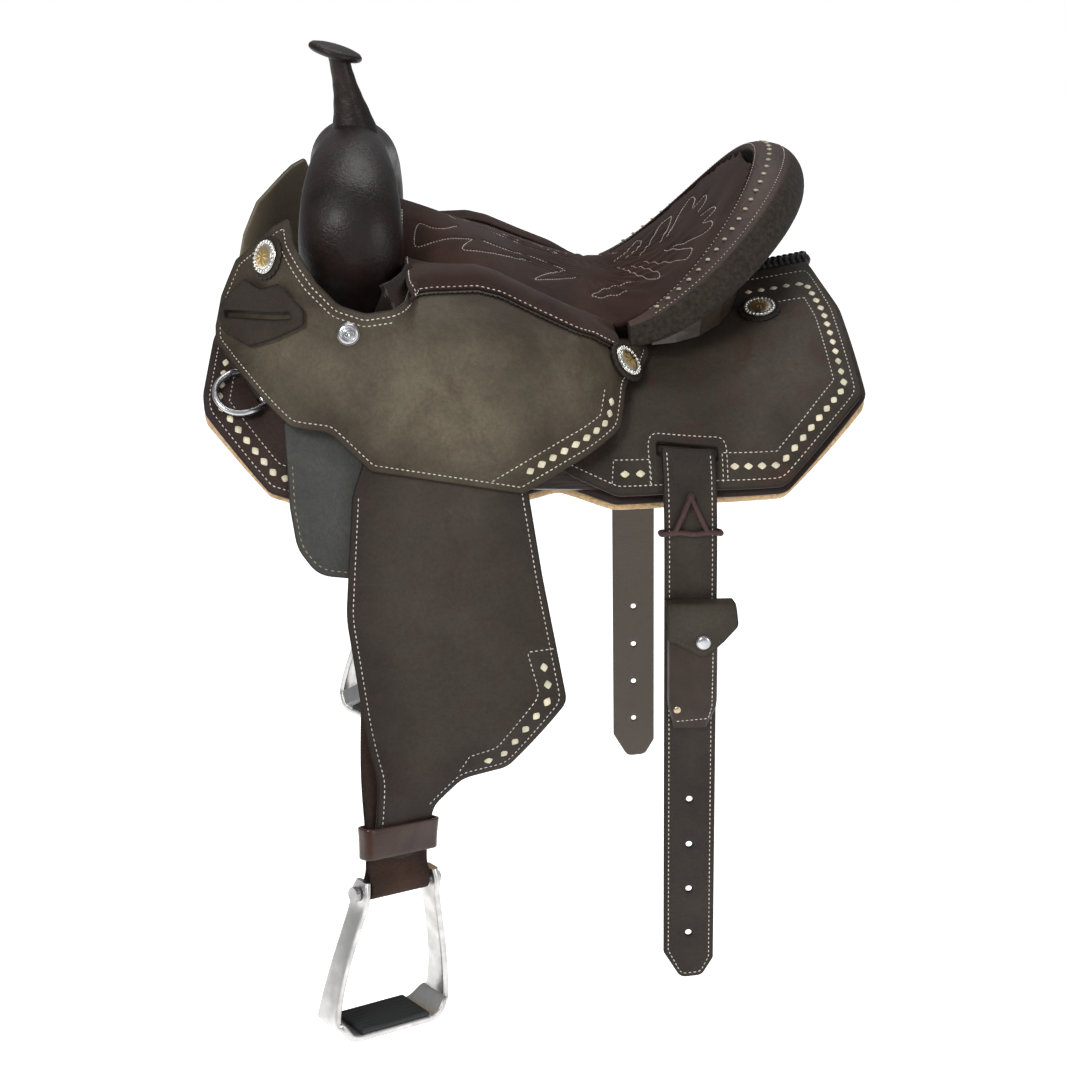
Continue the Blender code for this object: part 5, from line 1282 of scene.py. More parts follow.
def build_conchos():
    """The three conchos of each side."""
    r, t = CONCHO_RADIUS, CONCHO_THICKNESS
    for place, (surface, thickness, u, v, bed) in CONCHO_PLACES.items():
        seat, axis = fitting_frame(surface, thickness, u, v, ROSETTE_RADIUS)
        seat = seat - axis * bed
        profile = np.array([
            (0.0, 0.0), (0.86, 0.0), (0.94, 0.0001), (1.0, 0.0006), (1.0, 0.0017), (0.94, 0.0024),
            (0.86, 0.0025), (0.5, 0.0025), (0.0, 0.0025),
        ]) * (ROSETTE_RADIUS, 1.0)
        points, faces = turned_piece(profile, seat, axis, 96)
        middle = seat + axis * 0.00125
        away = points - middle
        level = away @ axis
        flat = away - level[:, None] * axis
        radius = np.linalg.norm(flat, axis=1)
        directions, tangents = circle_about(axis, 1)
        turn = np.arctan2(flat @ tangents[0], flat @ directions[0])
        tooth = 0.5 - 0.5 * np.cos(DOTS * turn)
        pinked = 1.0 - PINKING * tooth * (radius > 0.9 * ROSETTE_RADIUS)
        points = middle + flat * pinked[:, None] + level[:, None] * axis
        both_sides(
            "concho_rosette_" + place, points, faces, BLACK_LEATHER, "saddle",
            ["rosette_" + place], "dark_leather",
        )
        lift = seat + axis * (ROSETTE_THICKNESS + GAP)

        def petals(radius, angles):
            """Engraving: eight petals and a ring of rays, cut shallow."""
            share = radius / r
            depth = 0.00028 * np.cos(8 * angles) * math.sin(math.pi * min(1.0, share / 0.62)) ** 2
            return depth + 0.00010 * np.cos(24 * angles) * (0.30 < share < 0.66)

        dome = [
            (s * r, t * (1.0 - 0.42 * (s / 0.70) ** 2.2)) for s in np.linspace(0.14, 0.70, 16)
        ]
        profile = [
            (0.0, t), (0.08 * r, t), *dome, (0.74 * r, 0.46 * t), (0.78 * r, 0.44 * t),
            (0.97 * r, 0.34 * t), (r, 0.26 * t), (r, 0.08 * t), (0.97 * r, 0.0), (0.0, 0.0),
        ]
        points, faces = turned_piece(profile, lift, axis, 96, petals)
        away = points - lift
        radius = np.linalg.norm(away - (away @ axis)[:, None] * axis, axis=1)
        gilt = ((radius < 0.60 * r) & (away @ axis > 0.5 * t)).astype(float)
        both_sides(
            "concho_silver_" + place, points, faces, SILVER, "saddle", ["concho_" + place],
            "silver", gilt=gilt,
        )
        ring, tangent = circle_about(axis, BERRIES)
        note("berry", "saddle", lift + ring * 0.875 * r + axis * 0.42 * t, tangent,
             np.tile(axis, (BERRIES, 1)))
        ring, tangent = circle_about(axis, DOTS, math.pi / DOTS)
        note("dot", "saddle", seat + ring * 0.90 * ROSETTE_RADIUS + axis * ROSETTE_THICKNESS,
             tangent, np.tile(axis, (DOTS, 1)))


def build_seat_screws():
    """The cup washers and slotted screws under the swell."""
    seat, axis = fitting_frame(jockey_point, JOCKEY_THICKNESS, *SCREW_PLACE, SCREW_RADIUS)
    r = SCREW_RADIUS
    profile = smooth_through([
        (0.0, 0.0036), (0.26 * r, 0.0036), (0.40 * r, 0.0034), (0.47 * r, 0.0022),
        (0.56 * r, 0.0020), (0.66 * r, 0.0031), (0.80 * r, 0.0030), (0.94 * r, 0.0020),
        (r, 0.0008), (0.98 * r, 0.0), (0.0, 0.0),
    ], 3)

    def slot(radius, angles):
        """The screw's driver slot."""
        return np.where(
            (np.abs(radius * np.sin(angles)) < 0.0009) & (radius < 0.40 * r), -0.0009, 0.0
        )

    points, faces = turned_piece(profile, seat, axis, 72, slot)
    both_sides("seat_screw_cup", points, faces, STEEL, "saddle", ["seat_screw"], "steel")


build_conchos()
build_seat_screws()


# Front rigging
# A cast steel dee ring, broader along its bow than on its bar, in a folded leather loop that is
# sewn to the skirt under the jockey.

DEE_PLACE = (-0.3195, 0.0885)
DEE_WIDTH = 0.046
DEE_DEPTH = 0.040
DEE_HEEL = 0.008
DEE_WIRE_RADIUS = 0.0032


def rigging_point(x, drop, lift):
    """A point over the skirt, under the front jockey."""
    return back_point(x, drop, BAR_LIFT + lift)


def build_dees():
    """The dee rings; the loops keep their CAD shape in the saddle's leather."""
    x, drop = DEE_PLACE
    middle = rigging_point(x, drop, DEE_WIRE_RADIUS + 0.0025)
    along = rigging_point(x + 0.0085, drop + 0.0075, 0.0)
    along = along - rigging_point(x - 0.0085, drop - 0.0075, 0.0)
    along /= np.linalg.norm(along)
    normal = facing(rigging_point, x, drop)
    hang = np.cross(along, normal)
    hang = -hang if hang[0] > 0.0 else hang
    half = DEE_WIDTH / 2.0
    path = []
    for i in range(49):
        angle = math.pi * i / 48
        reach = DEE_HEEL + (DEE_DEPTH - DEE_HEEL) * math.sin(angle) ** 0.75
        if 0 < i < 48:
            path.append(middle - along * half * math.cos(angle) + hang * reach)
    ends = [middle + sign * along * half * 0.90 + hang * 0.0008 for sign in (-1.0, 1.0)]
    bar = [ends[1] + (ends[0] - ends[1]) * k / 8 for k in range(9)]
    points, faces = tube(path + bar, DEE_WIRE_RADIUS * 0.97, 16, closed=True, cross=normal)
    both_sides("dee_ring", points, faces, STEEL, "dee", ["rigging_dee"], "steel")
    paint(BLACK_LEATHER, "rigging_loop_near", "rigging_loop_off")


build_dees()


# Seat
# A foam pad under dark brown suede: swelled by the cloth solver from a slightly thinner pad, then
# quilted in channels that fan up into the dish, and top-stitched with flames, leaves and feathers.

SEAT_FRONT = -0.184
SEAT_BACK = CANTLE_X - 0.004
SEAT_MARGIN = 0.003
SEAT_PAD = 0.020
SEAT_SWELL = 0.0030
SEAT_VOXEL = 0.0042
SWELL_FRAMES = 20
SEAM_SINK = 0.0011
SEAM_HALF_WIDTH = 0.0028
LOW_X = 0.012
LOW_Y = 0.038
SEAT_LINE = np.array([
    (-0.200, 0.128), (-0.184, 0.121), (-0.150, 0.108), (-0.100, 0.086), (-0.050, 0.066),
    (0.000, 0.052), (0.050, 0.051), (0.100, 0.072), (0.140, 0.108), (0.165, 0.142),
    (0.182, 0.165),
])
SEAT_WIDTHS = np.array([
    (-0.184, 0.082), (-0.165, 0.098), (-0.130, 0.116), (-0.090, 0.130), (-0.040, 0.143),
    (0.000, 0.151), (0.030, 0.157),
])
SEAT_SEAMS = [
    # flame behind the swell
    [(-0.121, 0.018), (-0.132, 0.040), (-0.145, 0.050), (-0.160, 0.049), (-0.164, 0.078),
     (-0.145, 0.074), (-0.124, 0.060), (-0.106, 0.046)],
    [(-0.106, 0.046), (-0.117, 0.080), (-0.099, 0.076), (-0.073, 0.060), (-0.046, 0.044)],
    [(-0.095, 0.036), (-0.069, 0.034), (-0.047, 0.024), (-0.026, 0.030), (-0.011, 0.042)],
    # two leaves low on the side
    [(-0.014, 0.045), (-0.031, 0.070), (-0.046, 0.101), (-0.030, 0.087), (-0.002, 0.060)],
    [(0.057, 0.073), (0.038, 0.075), (0.022, 0.084), (0.011, 0.103), (0.029, 0.098),
     (0.047, 0.094)],
    # three feathers up the dish
    [(0.044, 0.016), (0.057, 0.046), (0.068, 0.078), (0.076, 0.096), (0.080, 0.082),
     (0.070, 0.046), (0.056, 0.020)],
    [(0.070, 0.014), (0.084, 0.048), (0.096, 0.080), (0.105, 0.098), (0.112, 0.086),
     (0.105, 0.056), (0.092, 0.020)],
    [(0.100, 0.026), (0.112, 0.052), (0.123, 0.074), (0.132, 0.080), (0.134, 0.062),
     (0.129, 0.040), (0.141, 0.040), (0.140, 0.022), (0.130, 0.010)],
]


def through(stops, value):
    """Read a rounded curve through (place, height) stops, without corners."""
    places, heights = stops.T
    count = len(places)
    before, after = np.maximum(np.arange(count) - 1, 0), np.minimum(np.arange(count) + 1, count - 1)
    slopes = (heights[after] - heights[before]) / (places[after] - places[before])
    k = np.minimum(np.searchsorted(places[1:-1], value), count - 2)
    run = places[k + 1] - places[k]
    u = np.clip((value - places[k]) / run, 0.0, 1.0)
    return (
        heights[k] * (2 * u ** 3 - 3 * u ** 2 + 1) + heights[k + 1] * (3 * u ** 2 - 2 * u ** 3)
        + run * slopes[k] * (u ** 3 - 2 * u ** 2 + u) + run * slopes[k + 1] * (u ** 3 - u ** 2)
    )


def seat_edge(x):
    """Half width and height of the seat's edge at a place along the saddle."""
    full = np.clip((x - EAR_X) / (CANTLE_X - EAR_X), 0.0, 1.0) ** 1.25
    rim = CANTLE_HALF_WIDTH * np.sqrt(np.maximum(0.0, 1.0 - full * full))
    height = EAR_Z + (CANTLE_Z - EAR_Z) * full ** 1.2
    side = np.interp(x, *SEAT_WIDTHS.T), np.interp(x, *SEAT_EDGE.T)
    return np.where(x <= EAR_X, side[0], rim) - SEAT_MARGIN, np.where(x <= EAR_X, side[1], height)


def seat_quilting(x, y):
    """How deep the channels are that fan out from the seat's low point."""
    side = np.abs(y)
    away = np.hypot(x - LOW_X, side - LOW_Y)
    angle = np.arctan2(side - LOW_Y, x - LOW_X)
    reach = smooth_step(0.008, 0.035, away) * (1.0 - smooth_step(0.070, 0.118, away))
    reach = reach * smooth_step(-0.6, -0.1, np.cos(angle))
    depth = 0.0017 * (0.5 - 0.5 * np.cos(24.0 * angle)) * reach
    front = smooth_step(0.0, 0.03, LOW_X - x) * (1.0 - smooth_step(0.05, 0.10, LOW_X - x))
    wave = (0.5 - 0.5 * np.cos((side - 0.2 * x) * 620.0)) * (1.0 - smooth_step(0.055, 0.075, side))
    return depth + 0.0011 * front * wave


def suede_material():
    """Dark brown suede: a soft nap, brushed lighter and darker in patches."""
    made, tree, shader, place = new_material(
        "seat_suede", Roughness=0.95, Sheen_Weight=0.06, Sheen_Roughness=0.45,
        Specular_IOR_Level=0.12,
    )
    brushed = noise(tree, place, 14.0, 5.0, 0.6, 0.8)
    colour = blend(
        tree, levels(tree, brushed, 0.32, 0.68), (0.0175, 0.0080, 0.0055), (0.038, 0.0185, 0.0130)
    )
    nap = noise(tree, place, 520.0, 5.0, 0.75)
    tone = levels(tree, nap, 0.25, 0.75, 0.70, 1.30)
    tone = node(tree, "ShaderNodeCombineColor", {"Red": tone, "Green": tone, "Blue": tone})
    tree.links.new(blend(tree, 1.0, colour, tone.outputs["Color"], "MULTIPLY"),
                   shader.inputs["Base Color"])
    bumps(tree, shader, (brushed, 0.0006), (nap, 0.0004))
    return made


SEAT_SUEDE = suede_material()


def swelled(piece, pinned):
    """Let the cloth solver swell a remeshed pad, no further than its foam allows."""
    start = np.empty(3 * len(piece.data.vertices))
    piece.data.vertices.foreach_get("co", start)
    start = start.reshape(-1, 3)
    group = piece.vertex_groups.new(name="pinned")
    group.add([int(i) for i in np.flatnonzero(pinned(start))], 1.0, "REPLACE")
    cloth = piece.modifiers.new("swell", "CLOTH")
    cloth.settings.quality = 5
    cloth.settings.mass = 0.3
    cloth.settings.tension_stiffness = 15.0
    cloth.settings.compression_stiffness = 15.0
    cloth.settings.bending_stiffness = 1.0
    cloth.settings.use_pressure = True
    cloth.settings.uniform_pressure_force = 4.0
    cloth.settings.effector_weights.gravity = 0.0
    cloth.settings.vertex_group_mass = "pinned"
    cloth.collision_settings.use_collision = False
    scene = bpy.context.scene
    for frame_number in range(1, SWELL_FRAMES + 1):
        scene.frame_set(frame_number)
    graph = bpy.context.evaluated_depsgraph_get()
    moved = np.empty(start.size)
    piece.evaluated_get(graph).data.vertices.foreach_get("co", moved)
    piece.modifiers.clear()
    scene.frame_set(1)
    away = moved.reshape(-1, 3) - start
    long = np.linalg.norm(away, axis=1)[:, None]
    away *= np.minimum(1.0, SEAT_SWELL / np.maximum(long, 1e-9))
    piece.data.vertices.foreach_set("co", (start + away).ravel())


def build_seat():
    """The pad, its quilting and its top-stitching."""
    stations, across = 110, 61
    u = np.linspace(0.0, 1.0, stations)
    x = SEAT_FRONT + (SEAT_BACK - SEAT_FRONT) * (1.0 - (1.0 - u) ** 1.35)
    width, edge = seat_edge(x)
    middle = through(SEAT_LINE, x)
    v = np.sin(np.linspace(-1.0, 1.0, across) * np.pi / 2.0)
    y = width[:, None] * v
    top = middle[:, None] + (edge - middle)[:, None] * np.abs(v) ** 2.4
    under = top - SEAT_PAD + (SEAT_PAD - 0.005) * np.abs(v) ** 5
    top = top - 0.8 * SEAT_SWELL * (1.0 - np.abs(v) ** 6)
    rings = [
        np.vstack([
            np.stack([np.full(across, a), b, c], 1), np.stack([np.full(across, a), b, d], 1)[::-1]
        ])
        for a, b, c, d in zip(x, y, top, under)
    ]
    points, faces = lofted(np.array(rings))
    piece = add_piece("seat_pad", points, faces, SEAT_SUEDE, "saddle", ["seat"], "suede")
    remesh = piece.modifiers.new("remesh", "REMESH")
    remesh.mode = "VOXEL"
    remesh.voxel_size = SEAT_VOXEL
    mesh = finished_mesh(piece)
    mesh.materials.clear()
    mesh.materials.append(SEAT_SUEDE)

    def held(spots):
        """Points of the pad's underside and rim, which are glued and sewn down."""
        wide, _ = seat_edge(spots[:, 0])
        side = np.abs(spots[:, 1]) / np.maximum(wide, 0.01)
        level = through(SEAT_LINE, spots[:, 0])
        _, low = seat_edge(spots[:, 0])
        level = level + (low - level) * np.clip(side, 0.0, 1.0) ** 2.4
        return (spots[:, 2] < level - 0.0065) | (side > 0.95) | (spots[:, 0] < SEAT_FRONT + 0.006)

    swelled(piece, held)
    bm = bmesh.new()
    bm.from_mesh(mesh)
    every = {"use_axis_x": True, "use_axis_y": True, "use_axis_z": True}
    bmesh.ops.smooth_vert(bm, verts=bm.verts, factor=0.5, **every)
    bmesh.ops.subdivide_edges(bm, edges=bm.edges, cuts=1, use_grid_fill=True, smooth=0.0)
    bmesh.ops.smooth_vert(bm, verts=bm.verts, factor=0.5, **every)
    bm.normal_update()
    seams = [spread(smooth_through(line, 8), 0.0012, False) for line in SEAT_SEAMS]
    sewn = np.vstack(seams)
    sewn = np.vstack([sewn, sewn * (1.0, -1.0)])
    spots = np.array([vert.co[:] for vert in bm.verts])
    normals = np.array([vert.normal[:] for vert in bm.verts])
    near = np.full(len(spots), 1.0)
    for start in range(0, len(spots), 1500):
        gap = spots[start:start + 1500, None, :2] - sewn[None]
        near[start:start + 1500] = np.sqrt((gap * gap).sum(-1)).min(1)
    sink = seat_quilting(spots[:, 0], spots[:, 1])
    sink = sink + SEAM_SINK * np.exp(-(near / SEAM_HALF_WIDTH) ** 2)
    sink *= smooth_step(0.25, 0.55, normals[:, 2])
    for vert, spot in zip(bm.verts, spots - normals * sink[:, None]):
        vert.co = spot
    bm.normal_update()
    bm.to_mesh(mesh)
    mesh.shade_smooth()
    lie = BVHTree.FromBMesh(bm)
    bm.free()

    def on_seat(x, y, lift):
        """Points of the finished pad over places of its plan, lifted off it."""
        spots = []
        for a, b, rise in zip(x, y, lift):
            hit, normal, _, _ = lie.ray_cast(Vector((a, b, 0.6)), Vector((0.0, 0.0, -1.0)))
            if hit is None:
                hit, normal, _, _ = lie.find_nearest(Vector((a, b, 0.1)))
            spots.append(hit + normal * float(rise))
        return np.array([spot[:] for spot in spots])

    for line in seams:
        sew("quilt_stitch", "saddle", on_seat, 0.0001, line * (1.0, -1.0))
    front = [(-0.1765, -0.028), (-0.1765, -0.082)]
    sew("seat_stitch", "saddle", on_seat, 0.0001, front)


build_seat()


# Seat skirts
# The suede that carries on from the pad's edge and laps over the top of each jockey, with a
# pinked strip of dark leather under its edge and heavy white thread just above.

APRON_START = -0.1755
APRON_END = 0.0265
JOCKEY_TOP = np.array([
    (-0.180, 0.0645), (-0.172, 0.066), (-0.107, 0.068), (-0.087, 0.063), (-0.050, 0.046),
    (0.000, 0.024), (0.030, 0.004),
])
APRON_REACH = 0.24
APRON_SEAM = 0.0036
PINK_PITCH = 0.0046
PINK_DEPTH = 0.0019
SUEDE_LAP = 0.0042
SUEDE_THICKNESS = 0.0018
TRIM_THICKNESS = 0.0012


def apron_grid():
    """Rows of points over the skirt, each a millimetre further up from its lower edge."""
    xs = np.linspace(APRON_START - 0.004, APRON_END + 0.004, 72)
    width, edge = seat_edge(xs)
    top = np.interp(xs, *JOCKEY_TOP.T)
    seat = np.stack([xs, -(width + 0.0004), edge + 0.0002], 1)
    seat_in = np.stack([xs, -(width - 0.004), edge + 0.0012], 1)
    crown = jockey_point(xs, top, np.full(72, JOCKEY_THICKNESS * 0.6)) + (0.0, 0.0, 0.0022)
    outer = jockey_point(xs, top - 0.0035, np.full(72, JOCKEY_THICKNESS + 0.0010))
    low = jockey_point(xs, top - 0.0110, np.full(72, JOCKEY_THICKNESS + 0.0010))
    half = 0.5 * (seat + crown) + (0.0, 0.0, 0.0012)
    steps = np.arange(0.0, APRON_REACH, 0.001)
    rows = []
    lengths = []
    for spots in zip(low, outer, crown, half, seat, seat_in):
        path = smooth_through(np.array(spots), 10)
        run = run_along(path)
        rows.append(read_along(steps, run, path))
        lengths.append(run[-1])
    return xs, steps, np.array(rows), np.array(lengths)


APRON_XS, APRON_STEPS, APRON_ROWS, APRON_LENGTHS = apron_grid()


def apron_point(x, up, lift):
    """A point of the skirt: along the saddle, up from its lower edge, and out."""
    x, up, lift = np.broadcast_arrays(np.asarray(x, float), up, lift)

    def face(a, b):
        """The skirt's inner face, read between the rows."""
        i = np.clip(np.interp(a, APRON_XS, np.arange(len(APRON_XS))), 0, len(APRON_XS) - 1.001)
        j = np.clip(b / APRON_STEPS[1], 0, len(APRON_STEPS) - 1.001)
        m, n = i.astype(int), j.astype(int)
        p, q = (i - m)[..., None], (j - n)[..., None]
        rows = APRON_ROWS
        return (
            rows[m, n] * (1 - p) * (1 - q) + rows[m + 1, n] * p * (1 - q)
            + rows[m, n + 1] * (1 - p) * q + rows[m + 1, n + 1] * p * q
        )

    limit = np.interp(x, APRON_XS, APRON_LENGTHS) - 0.0035
    level = np.minimum(up, limit)
    step = 0.003
    normal = np.cross(
        face(x + step, level) - face(x - step, level),
        face(x, level + step) - face(x, np.maximum(0.0, level - step)),
    )
    normal /= np.linalg.norm(normal, axis=-1)[..., None]
    normal *= np.where(normal[..., 2:3] - normal[..., 1:2] < 0.0, -1.0, 1.0)
    return face(x, level) + normal * lift[..., None]


def build_aprons():
    """The suede laps, their pinked strips and their heavy thread."""
    xs = np.linspace(APRON_START, APRON_END, 60)
    lengths = np.interp(xs, APRON_XS, APRON_LENGTHS) - 0.0040
    outline = np.vstack([
        np.stack([xs, np.full(60, SUEDE_LAP)], 1), np.stack([xs, lengths], 1)[::-1]
    ])
    clear = TRIM_THICKNESS + 0.0002
    panel(
        "seat_skirt_suede", lambda x, up, lift: apron_point(x, up, np.asarray(lift) + clear),
        outline, SUEDE_THICKNESS, SEAT_SUEDE, "saddle", (), "suede", step=0.005, rim=0.0009,
    )
    pinks = np.arange(APRON_START, APRON_END, 0.0007)
    tooth = np.abs(np.sin(np.pi * (pinks - APRON_START) / PINK_PITCH)) ** 0.6
    lower = PINK_DEPTH - PINK_DEPTH * tooth
    outline = np.vstack([
        np.stack([pinks, lower], 1), [(APRON_END, 0.0105), (APRON_START, 0.0105)]
    ])
    panel(
        "seat_pinked_strip", apron_point, outline, TRIM_THICKNESS, BLACK_LEATHER, "saddle", (),
        "dark_leather", step=0.0024, rim=0.0004,
    )
    corner = (APRON_START + 0.003, SUEDE_LAP + APRON_SEAM)
    for end in ((APRON_END - 0.002, corner[1]), (corner[0], float(lengths[0]) - 0.004)):
        sew("seat_stitch", "saddle", apron_point, clear + SUEDE_THICKNESS, [corner, end])


build_aprons()


# Leg flaps
# Smooth grey leather flaps between the front skirt and the fender, sewn along their front edge
# with tan thread. They hang flat in the fender's plane.

LEATHER_WIDTH = 0.070
LEATHER_LEAN = 0.012
HINGE_X = -0.182
HINGE_DOWN = -0.104
BOLT_DOWN = 0.345
TWIST_START = 0.17
TWIST_END = 0.31
STIRRUP_TURN = math.radians(38.0)
FLAP_OUTLINE = [
    (-0.291, -0.100), (-0.287, -0.019, 0.05), (-0.281, 0.020, 0.04), (-0.262, 0.046, 0.03),
    (-0.225, 0.050, 0.02), (-0.165, 0.050, 0.01), (-0.165, -0.020), (-0.240, -0.100),
]


def hang_point(x, down_by, out_by):
    """A point in the near fender's plane."""
    x, down_by, out_by = np.broadcast_arrays(np.asarray(x, float), down_by, out_by)
    lean, rise = math.sin(HANG_TILT), math.cos(HANG_TILT)
    return np.stack([
        x, -HANG_WIDTH - lean * down_by - rise * out_by, HANG_Z - rise * down_by + lean * out_by,
    ], -1)


def build_leg_flaps():
    """The leg flaps."""
    grey = leather(
        "grey_leather", (0.036, 0.037, 0.033), (0.060, 0.061, 0.055), (0.085, 0.076, 0.062),
        roughness=0.5, scuffs=0.25,
    )
    panel(
        "leg_flap_leather", hang_point, rounded(FLAP_OUTLINE), FLAP_THICKNESS, grey, "saddle",
        ["leg_flap"], "grey_leather", step=0.008, rim=0.0010,
    )
    line = [(-0.2835, -0.060), (-0.2822, -0.019, 0.05), (-0.2762, 0.018, 0.04),
            (-0.2590, 0.0405, 0.03), (-0.225, 0.0440, 0.02), (-0.170, 0.0440)]
    sew("tan_stitch", "saddle", hang_point, FLAP_THICKNESS, rounded_open(line))


build_leg_flaps()


# Latigo keepers
# A slotted shield of oiled leather under each front concho, for the end of the latigo. Its face
# is left plain.

KEEPER_THICKNESS = 0.0035
KEEPER_OUTLINE = [
    (-0.318, 0.074, 0.004), (-0.302, 0.069, 0.012), (-0.284, 0.078, 0.004),
    (-0.267, 0.056, 0.008), (-0.267, 0.042, 0.006), (-0.288, 0.028, 0.006),
    (-0.316, 0.012, 0.004), (-0.345, 0.018, 0.008), (-0.349, 0.040, 0.008),
    (-0.332, 0.060, 0.008),
]


def keeper_point(x, z, lift):
    """A point of the keeper, just clear of the jockey."""
    return jockey_point(x, z, np.asarray(lift) + JOCKEY_THICKNESS + 4.0 * LAYER_GAP)


def build_keepers():
    """The keepers, punched for the latigo."""
    slot = rounded([
        (-0.340, 0.0335, 0.0015), (-0.276, 0.0475, 0.0015),
        (-0.277, 0.0535, 0.0015), (-0.341, 0.0395, 0.0015),
    ])
    brown = leather(
        "keeper_leather", (0.024, 0.016, 0.011), (0.046, 0.033, 0.023), (0.018, 0.013, 0.010)
    )
    panel(
        "keeper_leather", keeper_point, rounded(KEEPER_OUTLINE), KEEPER_THICKNESS, brown,
        "keeper", ["latigo_keeper"], "oiled_leather", holes=[slot], step=0.004, rim=0.0012,
    )


build_keepers()


# Fenders
# Long leather fenders over the stirrup leathers, waisted at the hobble and turned there with the
# leather, so that the stirrup faces forward. A buck-stitched border follows their rear edge.

TWIST_ROOM = 0.001
FENDER_ROOM = 0.0046
FENDER_DIAMOND_PITCH = 0.0166
FENDER_OUTLINE = [
    (-0.206, -0.092, 0.02), (-0.192, -0.116, 0.02), (-0.144, -0.116, 0.02),
    (-0.116, -0.092, 0.03), (-0.066, -0.055, 0.05), (-0.050, 0.050, 0.08),
    (-0.028, 0.170, 0.018), (-0.083, 0.238, 0.02), (-0.128, 0.246, 0.03),
    (-0.157, 0.272, 0.02), (-0.159, 0.312, 0.006), (-0.192, 0.319, 0.008),
    (-0.226, 0.312, 0.006), (-0.214, 0.240, 0.05), (-0.236, 0.085, 0.12),
    (-0.228, -0.030, 0.06),
]


def twist_share(down_by):
    """How far into its twist the leather is: 0 at both ends and 1 in the middle."""
    share = np.clip((down_by - TWIST_START) / (TWIST_END - TWIST_START), 0.0, 1.0)
    return np.sin(np.pi * share) ** 2


def leather_middle(down_by):
    """Where the stirrup leather's middle runs, leaning from the hinge to the bolt."""
    return HINGE_X - LEATHER_LEAN * (down_by - HINGE_DOWN) / (BOLT_DOWN - HINGE_DOWN)


def twisted(x, down_by, out_by):
    """A point of the fender's plane, turned with the leather towards the stirrup."""
    turn = STIRRUP_TURN * smooth_step(TWIST_START, TWIST_END, down_by)
    middle = leather_middle(down_by)
    side = x - middle
    depth = out_by - STRAP_MIDDLE
    return hang_point(
        middle + side * np.cos(turn) + depth * np.sin(turn),
        down_by,
        STRAP_MIDDLE + depth * np.cos(turn) - side * np.sin(turn),
    )


def fender_point(x, down_by, lift):
    """A point of the fender."""
    return twisted(x, down_by, FENDER_OUT + FENDER_ROOM * twist_share(down_by) + lift)


def build_fenders():
    """The fenders and their stitching."""
    oiled = leather(
        "fender_leather", (0.019, 0.013, 0.0095), (0.045, 0.035, 0.026), (0.030, 0.014, 0.010),
        scuffs=0.5,
    )
    panel(
        "fender_leather", fender_point, rounded(FENDER_OUTLINE), FENDER_THICKNESS, oiled,
        "fender", ["fender"], "oiled_leather", step=0.007, rim=0.0015,
    )
    drawn = inset(FENDER_OUTLINE, STITCH_IN)
    middle = inset(FENDER_OUTLINE, DIAMOND_IN)
    band = [(-0.0515, 0.128), middle[6], middle[7], (-0.112, 0.2300)]
    inner = inset(FENDER_OUTLINE, INNER_STITCH_IN)
    line = [(-0.0395, 0.1185), (-0.0655, 0.1215, 0.003), inner[6], inner[7], (-0.1225, 0.2225),
            (-0.1330, 0.2380)]
    for kind, run, pitch in (
        ("stitch", part_of(drawn, 4, 9), None), ("stitch", part_of(drawn, 12, 15), None),
        ("diamond", rounded_open(band), FENDER_DIAMOND_PITCH),
        ("stitch", rounded_open(line), None),
    ):
        sew(kind, "fender", fender_point, FENDER_THICKNESS, run, pitch)


build_fenders()


# Stirrup leathers
# One strap a side that runs down behind the fender, round the stirrup's bolt and up again, its
# rough red-brown flesh side out.

EYE_FLARE = 0.022
STIRRUP_BOLT_RADIUS = 0.004
EYE = STIRRUP_BOLT_RADIUS + 2.0 * GAP
STRAP_RUN = BOLT_DOWN - HINGE_DOWN
EYE_RUN = math.pi * (EYE + STRAP_THICKNESS / 2.0)


def strap_point(x, s, lift):
    """A point of the strap, which runs down, round the bolt and up again."""
    x, s, lift = np.broadcast_arrays(np.asarray(x, float), s, lift)
    angle = np.pi * np.clip((s - STRAP_RUN) / EYE_RUN, 0.0, 1.0)
    outer = s <= STRAP_RUN
    down_by = HINGE_DOWN + np.where(outer, s, 2.0 * STRAP_RUN + EYE_RUN - s)
    near = smooth_step(BOLT_DOWN - EYE_FLARE, BOLT_DOWN - 0.003, down_by)
    half = GAP / 2.0 + (EYE - GAP / 2.0) * near + TWIST_ROOM * twist_share(down_by) + lift
    out_by = STRAP_MIDDLE + np.where(outer, half, -half)
    bend = (s > STRAP_RUN) & (s < STRAP_RUN + EYE_RUN)
    down_by = np.where(bend, BOLT_DOWN + (EYE + lift) * np.sin(angle), down_by)
    out_by = np.where(bend, STRAP_MIDDLE + (EYE + lift) * np.cos(angle), out_by)
    return twisted(leather_middle(down_by) + x, down_by, out_by)


